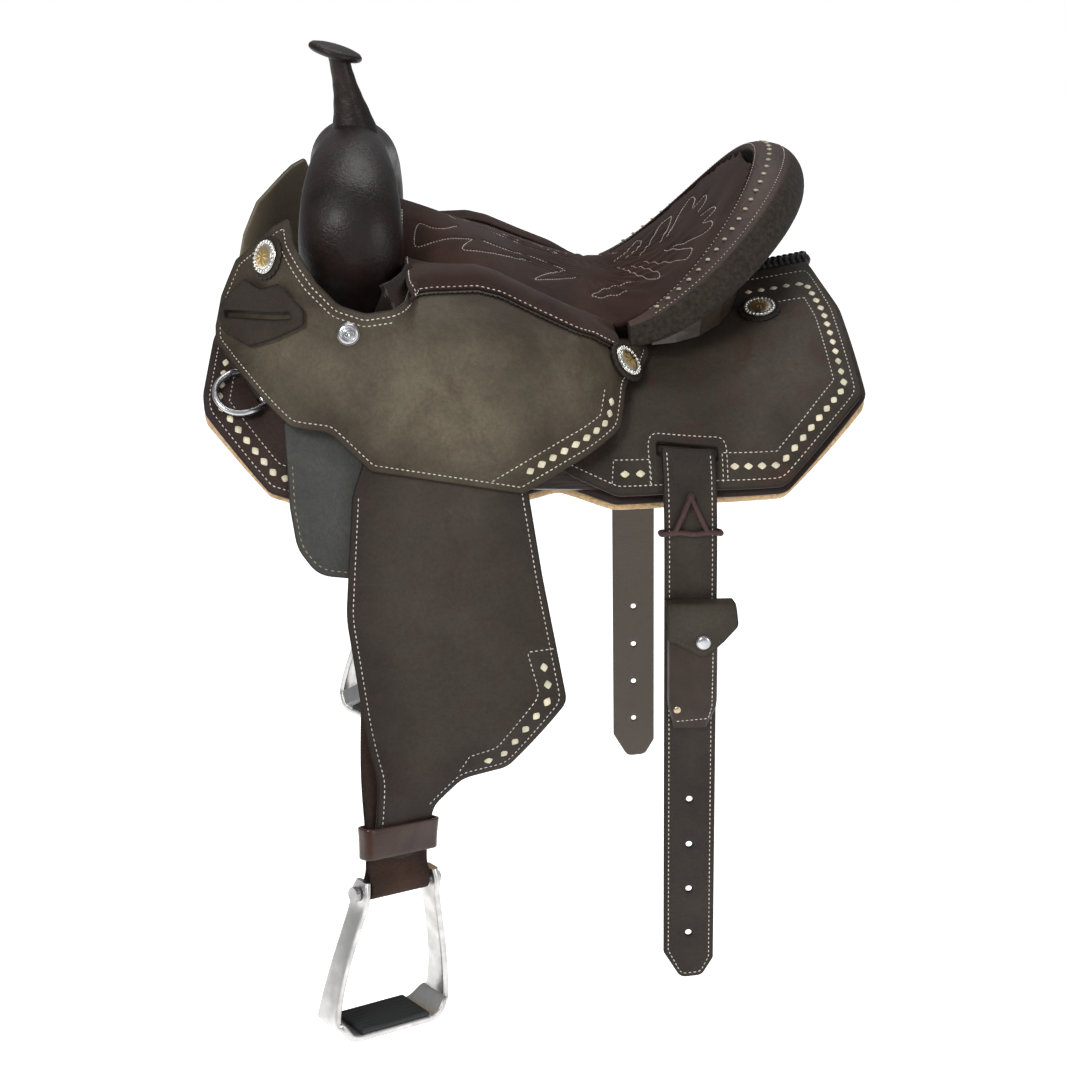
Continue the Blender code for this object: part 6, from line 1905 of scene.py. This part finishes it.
def build_stirrup_leathers():
    """The straps, as a rounded section carried along their run."""
    flesh = leather(
        "flesh_leather", (0.024, 0.012, 0.008), (0.058, 0.030, 0.020), (0.016, 0.009, 0.007),
        roughness=0.85, grain=0.0004,
    )
    whole = 2.0 * STRAP_RUN + EYE_RUN
    ends = (1.0 - np.cos(np.linspace(0.0, np.pi / 2.0, 10))) * LEATHER_WIDTH / 2.0
    stops = np.unique(np.concatenate([
        ends, np.arange(ends[-1], STRAP_RUN - EYE_FLARE, 0.008),
        np.linspace(STRAP_RUN - EYE_FLARE, STRAP_RUN, 12),
        np.linspace(STRAP_RUN, STRAP_RUN + EYE_RUN, 15),
    ]))
    half_run = STRAP_RUN + EYE_RUN / 2.0
    stops = stops[stops <= half_run + 1e-9]
    stops = np.concatenate([stops, (whole - stops[::-1])[1:]])
    t, corner = STRAP_THICKNESS, 0.0008
    across = np.linspace(-1.0, 1.0, 13)
    rings = []
    edges = []
    for s in stops:
        from_end = min(s, whole - s, LEATHER_WIDTH / 2.0)
        half = math.sqrt(max(1e-8, from_end * (LEATHER_WIDTH - from_end)))
        top = [(half * a * (1.0 - corner / max(half, corner)), t) for a in across]
        low = [(a, 0.0) for a, _ in reversed(top)]
        side = [(half, t - corner), (half, corner)]
        other = [(-half, corner), (-half, t - corner)]
        ring = np.array(top + side + low + other)
        rings.append(strap_point(ring[:, 0], np.full(len(ring), s), ring[:, 1]))
        edges.append(half - np.abs(ring[:, 0]))
    points, faces = lofted(np.array(rings))
    both_sides(
        "stirrup_strap", points, faces, flesh, "fender", ["stirrup_leather"], "flesh_leather",
        edge=np.concatenate(edges) + 0.0008, flesh=np.zeros(len(points)),
    )


build_stirrup_leathers()


# Hobble straps
# A glossy brown band round the neck of the fender and the stirrup leather, which keeps them
# together above the stirrup.

HOBBLE_DOWN = 0.283
HOBBLE_HEIGHT = 0.030
HOBBLE_THICKNESS = 0.0028
HOBBLE_SEAM_IN = 0.0032


def build_hobbles():
    """The bands, each one closed loop with rounded edges, sewn along both edges of its outer face."""
    low = STRAP_MIDDLE - STRAP_THICKNESS - 2.5 * GAP
    high = FENDER_OUT + FENDER_THICKNESS + 4.0 * GAP
    half = LEATHER_WIDTH / 2.0 + 0.0050
    corner = 0.005
    loop = spread(rounded([
        (-half, low, corner), (half, low, corner), (half, high, corner), (-half, high, corner),
    ]), 0.004)
    ahead = np.roll(loop, -1, 0) - np.roll(loop, 1, 0)
    side = np.stack([ahead[:, 1], -ahead[:, 0]], 1)
    side /= np.linalg.norm(side, axis=1)[:, None]
    t, h = HOBBLE_THICKNESS, HOBBLE_HEIGHT
    section = [(0.0, 0.0009), (0.0006, 0.0), (t - 0.0009, 0.0), (t - 0.0002, 0.0007), (t, 0.0018)]
    section += [(t, share * h) for share in (0.25, 0.5, 0.75)]
    section += [(rise, h - down) for rise, down in section[4::-1]]
    section += [(0.0, share * h) for share in (0.75, 0.5, 0.25)]
    rings = []
    for (x, out_by), (a, b) in zip(loop, side):
        rise, down = np.array(section).T
        down_by = HOBBLE_DOWN + down
        room = twist_share(down_by)
        base = out_by + np.where(out_by > STRAP_MIDDLE, FENDER_ROOM, -TWIST_ROOM) * room
        rings.append(twisted(leather_middle(down_by) + x + a * rise, down_by, base + b * rise))
    points, faces = lofted(np.array(rings), closed=True)
    glossy = dark_leather(
        "hobble_leather", (0.022, 0.009, 0.005), (0.052, 0.022, 0.013), 0.32, coat=0.25
    )
    both_sides(
        "hobble_leather", points, faces, glossy, "fender", ["hobble_strap"], "dark_leather"
    )

    def hobble_point(x, down_by, lift):
        """A point on the band's outer face."""
        base = high + FENDER_ROOM * twist_share(down_by)
        return twisted(leather_middle(down_by) + x, down_by, base + HOBBLE_THICKNESS + lift)

    for down in (HOBBLE_SEAM_IN, HOBBLE_HEIGHT - HOBBLE_SEAM_IN):
        line = [(-half + 0.004, HOBBLE_DOWN + down), (half - 0.004, HOBBLE_DOWN + down)]
        sew("dark_stitch", "fender", hobble_point, 0.0, line)


build_hobbles()


# Stirrups
# Cast aluminium stirrups, a bell of flat bar with rounded edges, with a ribbed black rubber tread
# in the foot and a steel bolt through the ears.

STIRRUP_WIDTH = 0.138
STIRRUP_TOP_WIDTH = 0.092
STIRRUP_HEIGHT = 0.141
STIRRUP_WALL = 0.007
STIRRUP_LEG_DEPTH = 0.026
STIRRUP_TREAD_DEPTH = 0.046
PAD_THICKNESS = 0.0045
PAD_RIBS = 8
PAD_GROOVE = 0.0013
PAD_ROUNDING = 0.0016
BORE_ROOM = 0.0003
BORE_REACH = 0.06


def stirrup_axes():
    """The bolt's middle, and the near stirrup's across, down and depth directions."""
    place = twisted(leather_middle(BOLT_DOWN), BOLT_DOWN, STRAP_MIDDLE)
    across = twisted(leather_middle(BOLT_DOWN) + 0.01, BOLT_DOWN, STRAP_MIDDLE) - place
    across /= np.linalg.norm(across)
    down = np.array([0.0, 0.0, -1.0])
    down = down - across * (down @ across)
    down /= np.linalg.norm(down)
    return place, across, down, np.cross(across, down)


def build_stirrups():
    """The castings, the treads and the bolts."""
    place, across, down, depth = stirrup_axes()
    top = STIRRUP_TOP_WIDTH / 2.0 - STIRRUP_WALL / 2.0
    wide = STIRRUP_WIDTH / 2.0 - STIRRUP_WALL / 2.0
    low, leg, tread = STIRRUP_HEIGHT, STIRRUP_LEG_DEPTH, STIRRUP_TREAD_DEPTH
    half = [
        (top - 0.002, -0.012, 0.016), (top, 0.000, leg * 0.92), (top + 0.001, 0.014, leg * 0.9),
        (top + (wide - top) * 0.35, 0.040, leg * 0.86),
        (top + (wide - top) * 0.68, 0.070, leg * 0.90),
        (top + (wide - top) * 0.92, 0.100, leg), (wide, 0.124, leg * 1.2),
        (wide - 0.004, low - 0.013, tread * 0.86), (wide - 0.013, low - 0.003, tread),
        (wide - 0.024, low, tread), (0.5 * wide, low, tread),
    ]
    path = smooth_through(half + [(-a, h, c) for a, h, c in reversed(half)], 5)
    run = np.gradient(path[:, :2], axis=0)
    run /= np.linalg.norm(run, axis=1)[:, None]
    t = STIRRUP_WALL / 2.0
    rings = []
    for (a, h, c), (u, v) in zip(path, run):
        c = min(c, tread)
        ring = rounded([
            (t, c / 2, 0.0026), (-t, c / 2, 0.0026), (-t, -c / 2, 0.0026), (t, -c / 2, 0.0026)
        ], 3)
        rings.append([
            place + across * (a + v * n) + down * (h - u * n) + depth * w for n, w in ring
        ])
    points, faces = lofted(np.array(rings))
    cast = metal("cast_aluminium", (0.62, 0.61, 0.59), 0.34, scratch=420.0)
    made = both_sides("stirrup_casting", points, faces, cast, "stirrup", ["stirrup"], "aluminium")
    radius = STIRRUP_BOLT_RADIUS + BORE_ROOM
    profile = [(0.0, -BORE_REACH), (radius, -BORE_REACH), (radius, BORE_REACH), (0.0, BORE_REACH)]
    for piece, turn in zip(made, (1.0, -1.0)):
        bore = bpy.data.meshes.new("bore")
        mirror = np.array([1.0, turn, 1.0])
        bore_points, bore_faces = turned_piece(profile, place * mirror, across * mirror, 24)
        bore.from_pydata([tuple(p) for p in bore_points], [], bore_faces)
        cutter = bpy.data.objects.new("bore", bore)
        bpy.context.scene.collection.objects.link(cutter)
        cut = piece.modifiers.new("bore", "BOOLEAN")
        cut.object = cutter
        cut.solver = "EXACT"
        mesh = finished_mesh(piece)
        bpy.data.objects.remove(cutter, do_unlink=True)
        mesh.shade_smooth()
        mesh.set_sharp_from_angle(angle=math.radians(50.0))
    paint(metal("bolt_steel", (0.42, 0.42, 0.43), 0.32), "stirrup_bolt_near", "stirrup_bolt_off")

    floor = STIRRUP_HEIGHT - STIRRUP_WALL / 2.0 - GAP
    long = STIRRUP_WIDTH / 2.0 - 0.0285
    width = STIRRUP_TREAD_DEPTH - 0.003
    ribs = width / PAD_RIBS
    rings = []
    places = np.concatenate([
        [-long, -long + 0.0006, -long + 0.002], np.linspace(-long + 0.004, long - 0.004, 22),
        [long - 0.002, long - 0.0006, long],
    ])
    across_pad = np.linspace(-width / 2.0, width / 2.0, 8 * PAD_RIBS + 1)
    for a in places:
        end = min(1.0, (long - abs(a)) / 0.002)
        middle = smooth_step(0.017, 0.020, abs(a))
        edge = 1.0 - np.clip((width / 2.0 - np.abs(across_pad)) / PAD_ROUNDING, 0.0, 1.0)
        wave = np.abs(((across_pad + width / 2.0) / ribs) % 1.0 - 0.5) * 2.0
        groove = PAD_GROOVE * smooth_step(0.62, 0.92, wave) * middle
        rise = (PAD_THICKNESS - groove - PAD_ROUNDING * edge ** 2) * (0.70 + 0.30 * end)
        ring = [place + across * a + down * (floor - r) + depth * w
                for w, r in zip(across_pad, rise)]
        ring += [place + across * a + down * floor + depth * w
                 for w in (width / 2.0, 0.0, -width / 2.0)]
        rings.append(ring)
    points, faces = lofted(np.array(rings))
    rubber, tree, shader, here = new_material(
        "tread_rubber", Base_Color=(0.012, 0.014, 0.015), Roughness=0.72
    )
    bumps(tree, shader, (noise(tree, here, 700.0, 3.0), 0.0002))
    both_sides("tread_rubber", points, faces, rubber, "stirrup", ["tread_pad"], "rubber")


build_stirrups()


# Billets and their ties
# The rear billets, cut from strap leather and punched, hang from the slots in the housings. A
# soft thong is knotted round each below the slot.

BILLET_THICKNESS = 0.004
BILLET_WIDTH = 0.051
BILLET_LENGTH = 0.560
BILLET_LEAN = 0.010
BILLET_SLANT = 0.167
BILLET_HOLE_RADIUS = 0.0032
BILLET_HOLES = 4
BILLET_HOLE_PITCH = 0.050
BILLET_HOLE_END = 0.052
BILLET_EDGE_RUN = 0.034
BILLET_BEND_RUN = 0.10
TIE_RADIUS = 0.0026
TIE_DOWN = 0.078
TIE_RISE = 0.034
TIE_SPREAD = 0.016
TIE_ROOM = 0.0008


def housing_side(drop):
    """Side view, y and z, of the line that the billet lies along over the housing."""
    lift = HOUSING_LIFT + HOUSING_THICKNESS + 4.0 * LAYER_GAP
    return back_point(BILLET_X, drop, lift + housing_rise(BILLET_X, drop))[1:]


def billet_line():
    """The billet's side view: rows of place along it, y, z, and the outward normal."""
    rows = []
    drop, gone = BILLET_DROP, 0.0
    point = housing_side(drop)
    step = 0.002 * 0.78
    while gone < BILLET_EDGE_RUN:
        ahead = housing_side(drop + 0.001) - housing_side(drop - 0.001)
        ahead /= np.linalg.norm(ahead)
        rows.append((gone, *point, ahead[1], -ahead[0]))
        drop += step
        after = housing_side(drop)
        gone += float(np.linalg.norm(after - point))
        point = after
    ahead = housing_side(drop + 0.001) - housing_side(drop - 0.001)
    angle = math.atan2(-ahead[0], -ahead[1])
    for left in np.arange(0.0, BILLET_LENGTH - BILLET_EDGE_RUN + 0.004, 0.002):
        share = np.minimum(1.0, (np.arange(24) + 0.5) / 24 * left / BILLET_BEND_RUN)
        leans = angle * (1.0 - share) ** 2
        spot = point - np.array([np.sin(leans).sum(), np.cos(leans).sum()]) * left / 24
        lean = angle * (1.0 - min(1.0, left / BILLET_BEND_RUN)) ** 2
        rows.append((BILLET_EDGE_RUN + left, *spot, -math.cos(lean), math.sin(lean)))
    return np.array(rows)


BILLET_LINE = billet_line()


def billet_point(x, s, lift):
    """A point of the billet: across it, down it, and above its inner face."""
    x, s, lift = np.broadcast_arrays(np.asarray(x, float), s, lift)
    y, z, out_y, out_z = (np.interp(s, BILLET_LINE[:, 0], BILLET_LINE[:, k]) for k in range(1, 5))
    share = 1.0 - smooth_step(0.03, 0.09, s)
    z = z + 2.0 * BACK_DIP * BILLET_X * x * share
    slant = BILLET_SLANT * x * share
    return np.stack([
        BILLET_X + x + BILLET_LEAN * s / BILLET_LENGTH,
        y - out_z * slant + out_y * lift, z + out_y * slant + out_z * lift,
    ], -1)


def build_billets():
    """The billets with their thread and their ties."""
    half, length = BILLET_WIDTH / 2.0, BILLET_LENGTH
    outline = rounded([
        (-half, 0.0), (half, 0.0), (half, length - 0.022, 0.006), (0.014, length - 0.002, 0.01),
        (-0.008, length, 0.01), (-half, length - 0.030, 0.006),
    ])
    turns = full_turn(20)
    ring = BILLET_HOLE_RADIUS * np.stack([np.cos(turns), np.sin(turns)], 1)
    holes = [
        ring + (0.0, length - BILLET_HOLE_END - BILLET_HOLE_PITCH * k)
        for k in range(BILLET_HOLES)
    ]
    strap = leather(
        "billet_leather", (0.019, 0.013, 0.009), (0.040, 0.030, 0.021), (0.014, 0.009, 0.007),
        roughness=0.55,
    )
    panel(
        "billet_leather", billet_point, outline, BILLET_THICKNESS, strap, "billet", ["billet"],
        "oiled_leather", holes=holes, rim=0.0014,
    )
    seam = [
        (half - 0.0048, 0.004), (half - 0.0048, length - 0.024, 0.006),
        (0.0125, length - 0.0068, 0.008), (-0.0072, length - 0.0050, 0.008),
        (-half + 0.0048, length - 0.0325, 0.006), (-half + 0.0048, 0.004),
    ]
    sew("stitch", "billet", billet_point, BILLET_THICKNESS, rounded_open(seam))
    thong_half = half + TIE_RADIUS + TIE_ROOM
    front = BILLET_THICKNESS + TIE_RADIUS + TIE_ROOM
    back = -TIE_RADIUS - TIE_ROOM
    loop = spread(rounded([
        (-thong_half, back, 0.003), (thong_half, back, 0.003), (thong_half, front, 0.003),
        (-thong_half, front, 0.003),
    ]), 0.003)
    wave = TIE_DOWN + 0.0008 * np.sin(210.0 * loop[:, 0] + 1.0)
    path = billet_point(loop[:, 0], wave, loop[:, 1])
    band = tube(path, TIE_RADIUS * 0.97, 12, closed=True)
    rise = np.linspace(0.0, 1.0, 14)
    level = front + 0.0004 * rise + 0.0006 * np.sin(np.pi * rise)
    legs = [
        billet_point(TIE_SPREAD * side * (1 - rise), TIE_DOWN - TIE_RISE * rise, level)
        for side in (-1.0, 1.0)
    ]
    vee = tube(np.vstack([legs[0], legs[1][::-1][1:]]), TIE_RADIUS * 0.90, 12)
    knot = turned_piece(
        smooth_through([
            (0.0, -0.0030), (0.0030, -0.0024), (0.0038, 0.0), (0.0030, 0.0024), (0.0, 0.0030)
        ], 4),
        billet_point(0.0, TIE_DOWN - TIE_RISE, front + 0.0002), (0.0, -0.3, 1.0), 16,
    )
    points = np.vstack([band[0], vee[0], knot[0]])
    faces = list(band[1])
    faces += [tuple(i + len(band[0]) for i in face) for face in vee[1]]
    faces += [tuple(i + len(band[0]) + len(vee[0]) for i in face) for face in knot[1]]
    thong = leather(
        "thong_leather", (0.050, 0.024, 0.022), (0.095, 0.055, 0.052), (0.030, 0.014, 0.013),
        roughness=0.7, grain=0.0003,
    )
    edge = np.full(len(points), 0.01)
    both_sides("billet_thong", points, faces, thong, "billet", ["billet_tie"], "dark_leather",
               edge=edge, flesh=0.0 * edge)


build_billets()


# Knife pouch
# A small moulded pouch sewn to the near billet, with a slanting flap that a snap closes and a
# rivet in its lower corner. Its face is left plain.

POUCH_WIDTH = 0.048
POUCH_HEIGHT = 0.130
POUCH_DEPTH = 0.016
POUCH_WALL = 0.0025
POUCH_FLAP_THICKNESS = 0.0022
POUCH_DOWN = 0.150
POUCH_ASIDE = 0.001
POUCH_PITCH = 0.0046
RIVET_PLACE = (-0.0145, 0.104)
SNAP_RADIUS = 0.007


def pouch_frame(x, s, lift):
    """A point of the pouch, measured from the middle of its top edge on the billet."""
    return billet_point(x, POUCH_DOWN + s, BILLET_THICKNESS + lift)


def pouch_depth(s):
    """How deep the pouch is at a place down it."""
    share = np.asarray(s, float) / POUCH_HEIGHT
    depth = POUCH_DEPTH * (0.84 + 0.16 * np.sin(np.pi * np.minimum(1.0, share * 1.1)))
    return depth * (1.0 - 0.45 * smooth_step(0.80, 1.0, share))


def pouch_ring(s, wall):
    """Points round the pouch at a place down it, drawn in by a wall, always as many."""
    narrow = 0.006 * float(smooth_step(0.75, 1.0, s / POUCH_HEIGHT))
    left, right = narrow - POUCH_WIDTH / 2.0, POUCH_WIDTH / 2.0 - narrow * 1.6
    back, front = LAYER_GAP, LAYER_GAP + float(pouch_depth(s))
    corners = [(left, back, 0.002), (right, back, 0.002), (right, front, 0.006),
               (left, front, 0.006)]
    shape = spread(rounded(inset(corners, wall)), 0.004)
    closed = np.vstack([shape, shape[:1]])
    run = run_along(closed)
    return read_along(np.arange(48) / 48 * run[-1], run, closed)


def build_pouch():
    """The pouch, its flap, snap and rivet."""
    levels_down = np.concatenate([
        np.linspace(0.0, POUCH_HEIGHT - 0.020, 16),
        POUCH_HEIGHT - 0.004 - 0.016 * (1.0 - np.sin(np.linspace(0.15, 1.0, 8) * np.pi / 2.0)),
    ])
    # Up the outside, over the lip, and down the inside
    outside = [(s, s, 0.0) for s in levels_down[::-1]]
    inside_wall = [(s, s, POUCH_WALL) for s in levels_down[:-5]]
    rings = []
    for s, level, wall in [*outside, (0.0, -0.0004, POUCH_WALL * 0.5), *inside_wall]:
        across, out = pouch_ring(s, wall).T
        rings.append(pouch_frame(across + POUCH_ASIDE, level, out))
    points, faces = lofted(np.array(rings))
    brown = dark_leather("pouch_leather", (0.016, 0.009, 0.006), (0.036, 0.021, 0.013), 0.46)
    add_piece("pouch_leather", points, faces, brown, "billet_near", ["pouch"], "dark_leather")

    def front(x, s, lift):
        """A point on the pouch's front face."""
        return pouch_frame(x, s, LAYER_GAP + pouch_depth(s) + lift)

    half = POUCH_WIDTH / 2.0
    seam = [
        (half - 0.0042, 0.034), (half - 0.0046, 0.100), (half - 0.0078, 0.1150, 0.004),
        (-half + 0.0085, 0.1180),
    ]
    sew("stitch", "billet", front, 0.0, rounded_open(seam), POUCH_PITCH, both=False)
    axis = front(*RIVET_PLACE, 1.0) - front(*RIVET_PLACE, 0.0)
    rivet = turned_piece(
        [(0.0, 0.0013), (0.0016, 0.0012), (0.0030, 0.0008), (0.0036, 0.0001), (0.0034, -0.0008),
         (0.0, -0.0008)],
        front(*RIVET_PLACE, 0.0), axis, 24,
    )
    brass = metal("old_brass", (0.52, 0.42, 0.27), 0.34)
    add_piece("pouch_rivet", *rivet, brass, "billet_near")

    top = -0.004
    back = LAYER_GAP
    face = back + POUCH_DEPTH + LAYER_GAP
    side = np.array([
        (back, top, 0.0), (face - 0.003, top, 22.0), (face, top + 0.0042, 45.0),
        (face + 0.0004, 0.018, 90.0), (face + 0.0004, 0.050, 90.0),
    ])
    runs = run_along(side[:, :2])
    reach = runs[-1]

    def flap_point(x, along, lift):
        """A point of the flap, which folds over the pouch's mouth."""
        depth, down, angle = (np.interp(along, runs, side[:, k]) for k in range(3))
        angle = np.radians(angle)
        return pouch_frame(x, down - lift * np.cos(angle), depth + lift * np.sin(angle))

    corners = [
        (-half - 0.001, 0.0), (half + 0.016, 0.0, 0.002), (half + 0.020, reach - 0.034, 0.008),
        (half + 0.006, reach - 0.018, 0.006), (0.010, reach, 0.012), (-0.012, reach - 0.014, 0.01),
        (-half - 0.001, reach - 0.020, 0.004),
    ]
    points, faces, marks = panel_mesh(
        flap_point, rounded(corners), POUCH_FLAP_THICKNESS, step=0.0028, rim=0.0008
    )
    oiled = leather(
        "flap_leather", (0.026, 0.020, 0.013), (0.050, 0.041, 0.028), (0.020, 0.013, 0.010)
    )
    add_piece("pouch_flap_leather", points, faces, oiled, "pouch_flap", ["pouch_flap"],
              "oiled_leather", **marks)
    drawn = part_of(inset(corners, 0.0042), 2, 6)
    sew("dark_stitch", "pouch_flap", flap_point, POUCH_FLAP_THICKNESS, drawn, both=False)

    snap = (0.010, reach - 0.018)
    seat = flap_point(*snap, POUCH_FLAP_THICKNESS + GAP)
    axis = flap_point(*snap, 1.0) - flap_point(*snap, 0.0)
    r = SNAP_RADIUS
    profile = smooth_through([
        (0.0, 0.0030), (0.5 * r, 0.0028), (0.82 * r, 0.0021), (0.97 * r, 0.0010), (r, 0.0004),
        (0.96 * r, 0.0), (0.0, 0.0),
    ], 3)
    points, faces = turned_piece(profile, seat, axis, 48)
    add_piece("snap_steel", points, faces, STEEL, "pouch_flap", ["snap_cap"], "steel")


build_pouch()


# Thread and buck stitching
# Every seam noted above is sewn here: one small stitch, lace diamond, lace strand or berry of each
# kind, set by Geometry Nodes on its points, turned along its seam and square to its leather.

STITCH_SEED = 7


def lump(length, width, height, sides=8, rows=4, dip=0.0):
    """A small domed form along X, as points and faces, with rounded ends."""
    rings = []
    for i in range(rows + 1):
        u = -1.0 + 2.0 * i / rows
        u = math.copysign(abs(u) ** 0.8, u)
        shrink = max(0.05, 1.0 - abs(u) ** 2.6)
        sink = -dip * abs(u) ** 3
        angles = full_turn(sides)
        rings.append(np.stack([
            np.full(sides, u * length / 2.0), np.cos(angles) * width / 2.0 * shrink,
            np.sin(angles) * height / 2.0 * shrink + sink,
        ], 1))
    return lofted(np.array(rings))


def diamond_lump(length, width, height):
    """One crossing of buck stitching: a domed lozenge of lace, tucked in at its two ends."""
    rings = []
    for share, rise in ((0.0, 1.0), (0.55, 0.86), (0.90, 0.42), (1.0, 0.0), (0.96, -0.5)):
        ring = []
        for k in range(12):
            angle = 2.0 * math.pi * k / 12
            reach = 1.0 / (abs(math.cos(angle)) ** 1.25 + abs(math.sin(angle)) ** 1.25) ** 0.8
            x = math.cos(angle) * reach * length / 2.0 * max(share, 0.02)
            y = math.sin(angle) * reach * width / 2.0 * max(share, 0.02)
            ring.append((x, y, rise * height - 0.25 * height * (2.0 * x / length) ** 2))
        rings.append(ring)
    return lofted(np.array(rings))


def thread_material(name, colour, roughness, twist=900.0):
    """Twisted thread or lace."""
    made, tree, shader, place = new_material(name, Roughness=roughness, Sheen_Weight=0.2)
    soil = noise(tree, place, 55.0, 4.0)
    dull = tuple(0.62 * c for c in colour)
    tree.links.new(blend(tree, levels(tree, soil, 0.35, 0.65), dull, colour),
                   shader.inputs["Base Color"])
    bumps(tree, shader, (noise(tree, place, twist, 2.0), 0.0002))
    return made


def sewing_group():
    """Stitches on points: a form, turned along its seam and out of its leather, of a material."""
    tree = bpy.data.node_groups.new("sewing", "GeometryNodeTree")
    for name, kind in (
        ("Points", "Geometry"), ("Stitch", "Object"), ("Material", "Material"),
        ("Uneven", "Float"), ("Seed", "Int"),
    ):
        tree.interface.new_socket(name, in_out="INPUT", socket_type="NodeSocket" + kind)
    tree.interface.new_socket("Stitches", in_out="OUTPUT", socket_type="NodeSocketGeometry")
    given = tree.nodes.new("NodeGroupInput").outputs
    form = node(tree, "GeometryNodeObjectInfo", {"Object": given["Stitch"]}).outputs["Geometry"]

    def direction(name):
        """A direction kept on the points."""
        return node(
            tree, "GeometryNodeInputNamedAttribute", {"Name": name}, data_type="FLOAT_VECTOR"
        ).outputs["Attribute"]

    turn = node(
        tree, "FunctionNodeAxesToRotation",
        {"Primary Axis": direction("out"), "Secondary Axis": direction("along")},
        primary_axis="Z", secondary_axis="X",
    ).outputs["Rotation"]
    least = node(tree, "ShaderNodeMath", {0: 1.0, 1: given["Uneven"]}, operation="SUBTRACT")
    most = node(tree, "ShaderNodeMath", {0: 1.0, 1: given["Uneven"]}, operation="ADD")
    size = node(
        tree, "FunctionNodeRandomValue",
        {"Min": least.outputs[0], "Max": most.outputs[0], "Seed": given["Seed"]},
        data_type="FLOAT_VECTOR",
    )
    placed = node(
        tree, "GeometryNodeInstanceOnPoints",
        {"Points": given["Points"], "Instance": form, "Rotation": turn,
         "Scale": size.outputs["Value"]},
    )
    real = node(tree, "GeometryNodeRealizeInstances", {"Geometry": placed.outputs["Instances"]})
    done = node(
        tree, "GeometryNodeSetMaterial",
        {"Geometry": real.outputs["Geometry"], "Material": given["Material"]},
    )
    end = tree.nodes.new("NodeGroupOutput")
    tree.links.new(done.outputs["Geometry"], end.inputs["Stitches"])
    return tree


def build_stitching():
    """Sew every kind of stitch on every body."""
    white = thread_material("white_thread", (0.66, 0.62, 0.54), 0.75)
    tan = thread_material("tan_thread", (0.36, 0.25, 0.14), 0.8)
    dark = thread_material("dark_thread", (0.050, 0.034, 0.024), 0.8)
    cream = thread_material("cream_lace", (0.72, 0.66, 0.47), 0.55, 300.0)
    worn = thread_material("worn_lace", (0.38, 0.34, 0.24), 0.6, 300.0)
    kinds = {
        # form, material, unevenness, and the piece's name
        "stitch": (lump(0.0034, 0.0011, 0.0011, dip=0.0002), white, 0.07, "white_stitches"),
        "seat_stitch": (lump(0.0036, 0.0013, 0.0013, dip=0.0002), white, 0.07, "seat_edge_thread"),
        "fine_stitch": (lump(0.0029, 0.0008, 0.0008, dip=0.0002), white, 0.08, "fine_stitches"),
        "quilt_stitch": (lump(0.0026, 0.0010, 0.0011), thread_material(
            "quilting_thread", (0.56, 0.48, 0.44), 0.8), 0.08, "quilting_thread"),
        "tan_stitch": (lump(0.0040, 0.0011, 0.0010, dip=0.0002), tan, 0.07, "tan_stitches"),
        "dark_stitch": (lump(0.0032, 0.0008, 0.0008, dip=0.0002), dark, 0.07, "dark_stitches"),
        "diamond": (diamond_lump(0.0092, 0.0072, 0.0013), cream, 0.06, "buck_stitching"),
        "cantle_diamond": (diamond_lump(0.0068, 0.0056, 0.0012), worn, 0.06, "cantle_lace"),
        "lace": (lump(0.0105, 0.0046, 0.0022, 8, 6, 0.0012), BLACK_LACE, 0.0, "lace_strands"),
        "berry": (lump(0.0040, 0.0040, 0.0034, 10, 6), SILVER, 0.0, "concho_berries"),
        "dot": (lump(0.0017, 0.0017, 0.0009, 8, 4), BLACK_LEATHER, 0.0, "rosette_dots"),
    }
    group = sewing_group()
    sockets = {item.name: item.identifier for item in group.interface.items_tree
               if item.in_out == "INPUT"}
    for (kind, body), runs in SEWN.items():
        form, material, uneven, name = kinds[kind]
        place, along, out = (np.vstack([run[k] for run in runs]) for k in range(3))
        stitch = bpy.data.meshes.new("stitch_form")
        stitch.from_pydata([tuple(p) for p in form[0]], [], form[1])
        stitch.shade_smooth()
        stitch = bpy.data.objects.new("stitch_form", stitch)
        bpy.context.scene.collection.objects.link(stitch)
        mesh = bpy.data.meshes.new("seam_points")
        mesh.from_pydata([tuple(p) for p in place], [], [])
        for key, values in (("along", along), ("out", out)):
            mesh.attributes.new(key, "FLOAT_VECTOR", "POINT").data.foreach_set(
                "vector", np.asarray(values, dtype=np.float32).ravel()
            )
        seams = bpy.data.objects.new("seam_points", mesh)
        bpy.context.scene.collection.objects.link(seams)
        made = seams.modifiers.new("sewing", "NODES")
        made.node_group = group
        made[sockets["Stitch"]] = stitch
        made[sockets["Material"]] = material
        made[sockets["Uneven"]] = uneven
        made[sockets["Seed"]] = STITCH_SEED
        finished_mesh(seams).name = name
        seams.name = name + "_" + body
        bpy.data.objects.remove(stitch, do_unlink=True)
        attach(seams, body)


build_stitching()
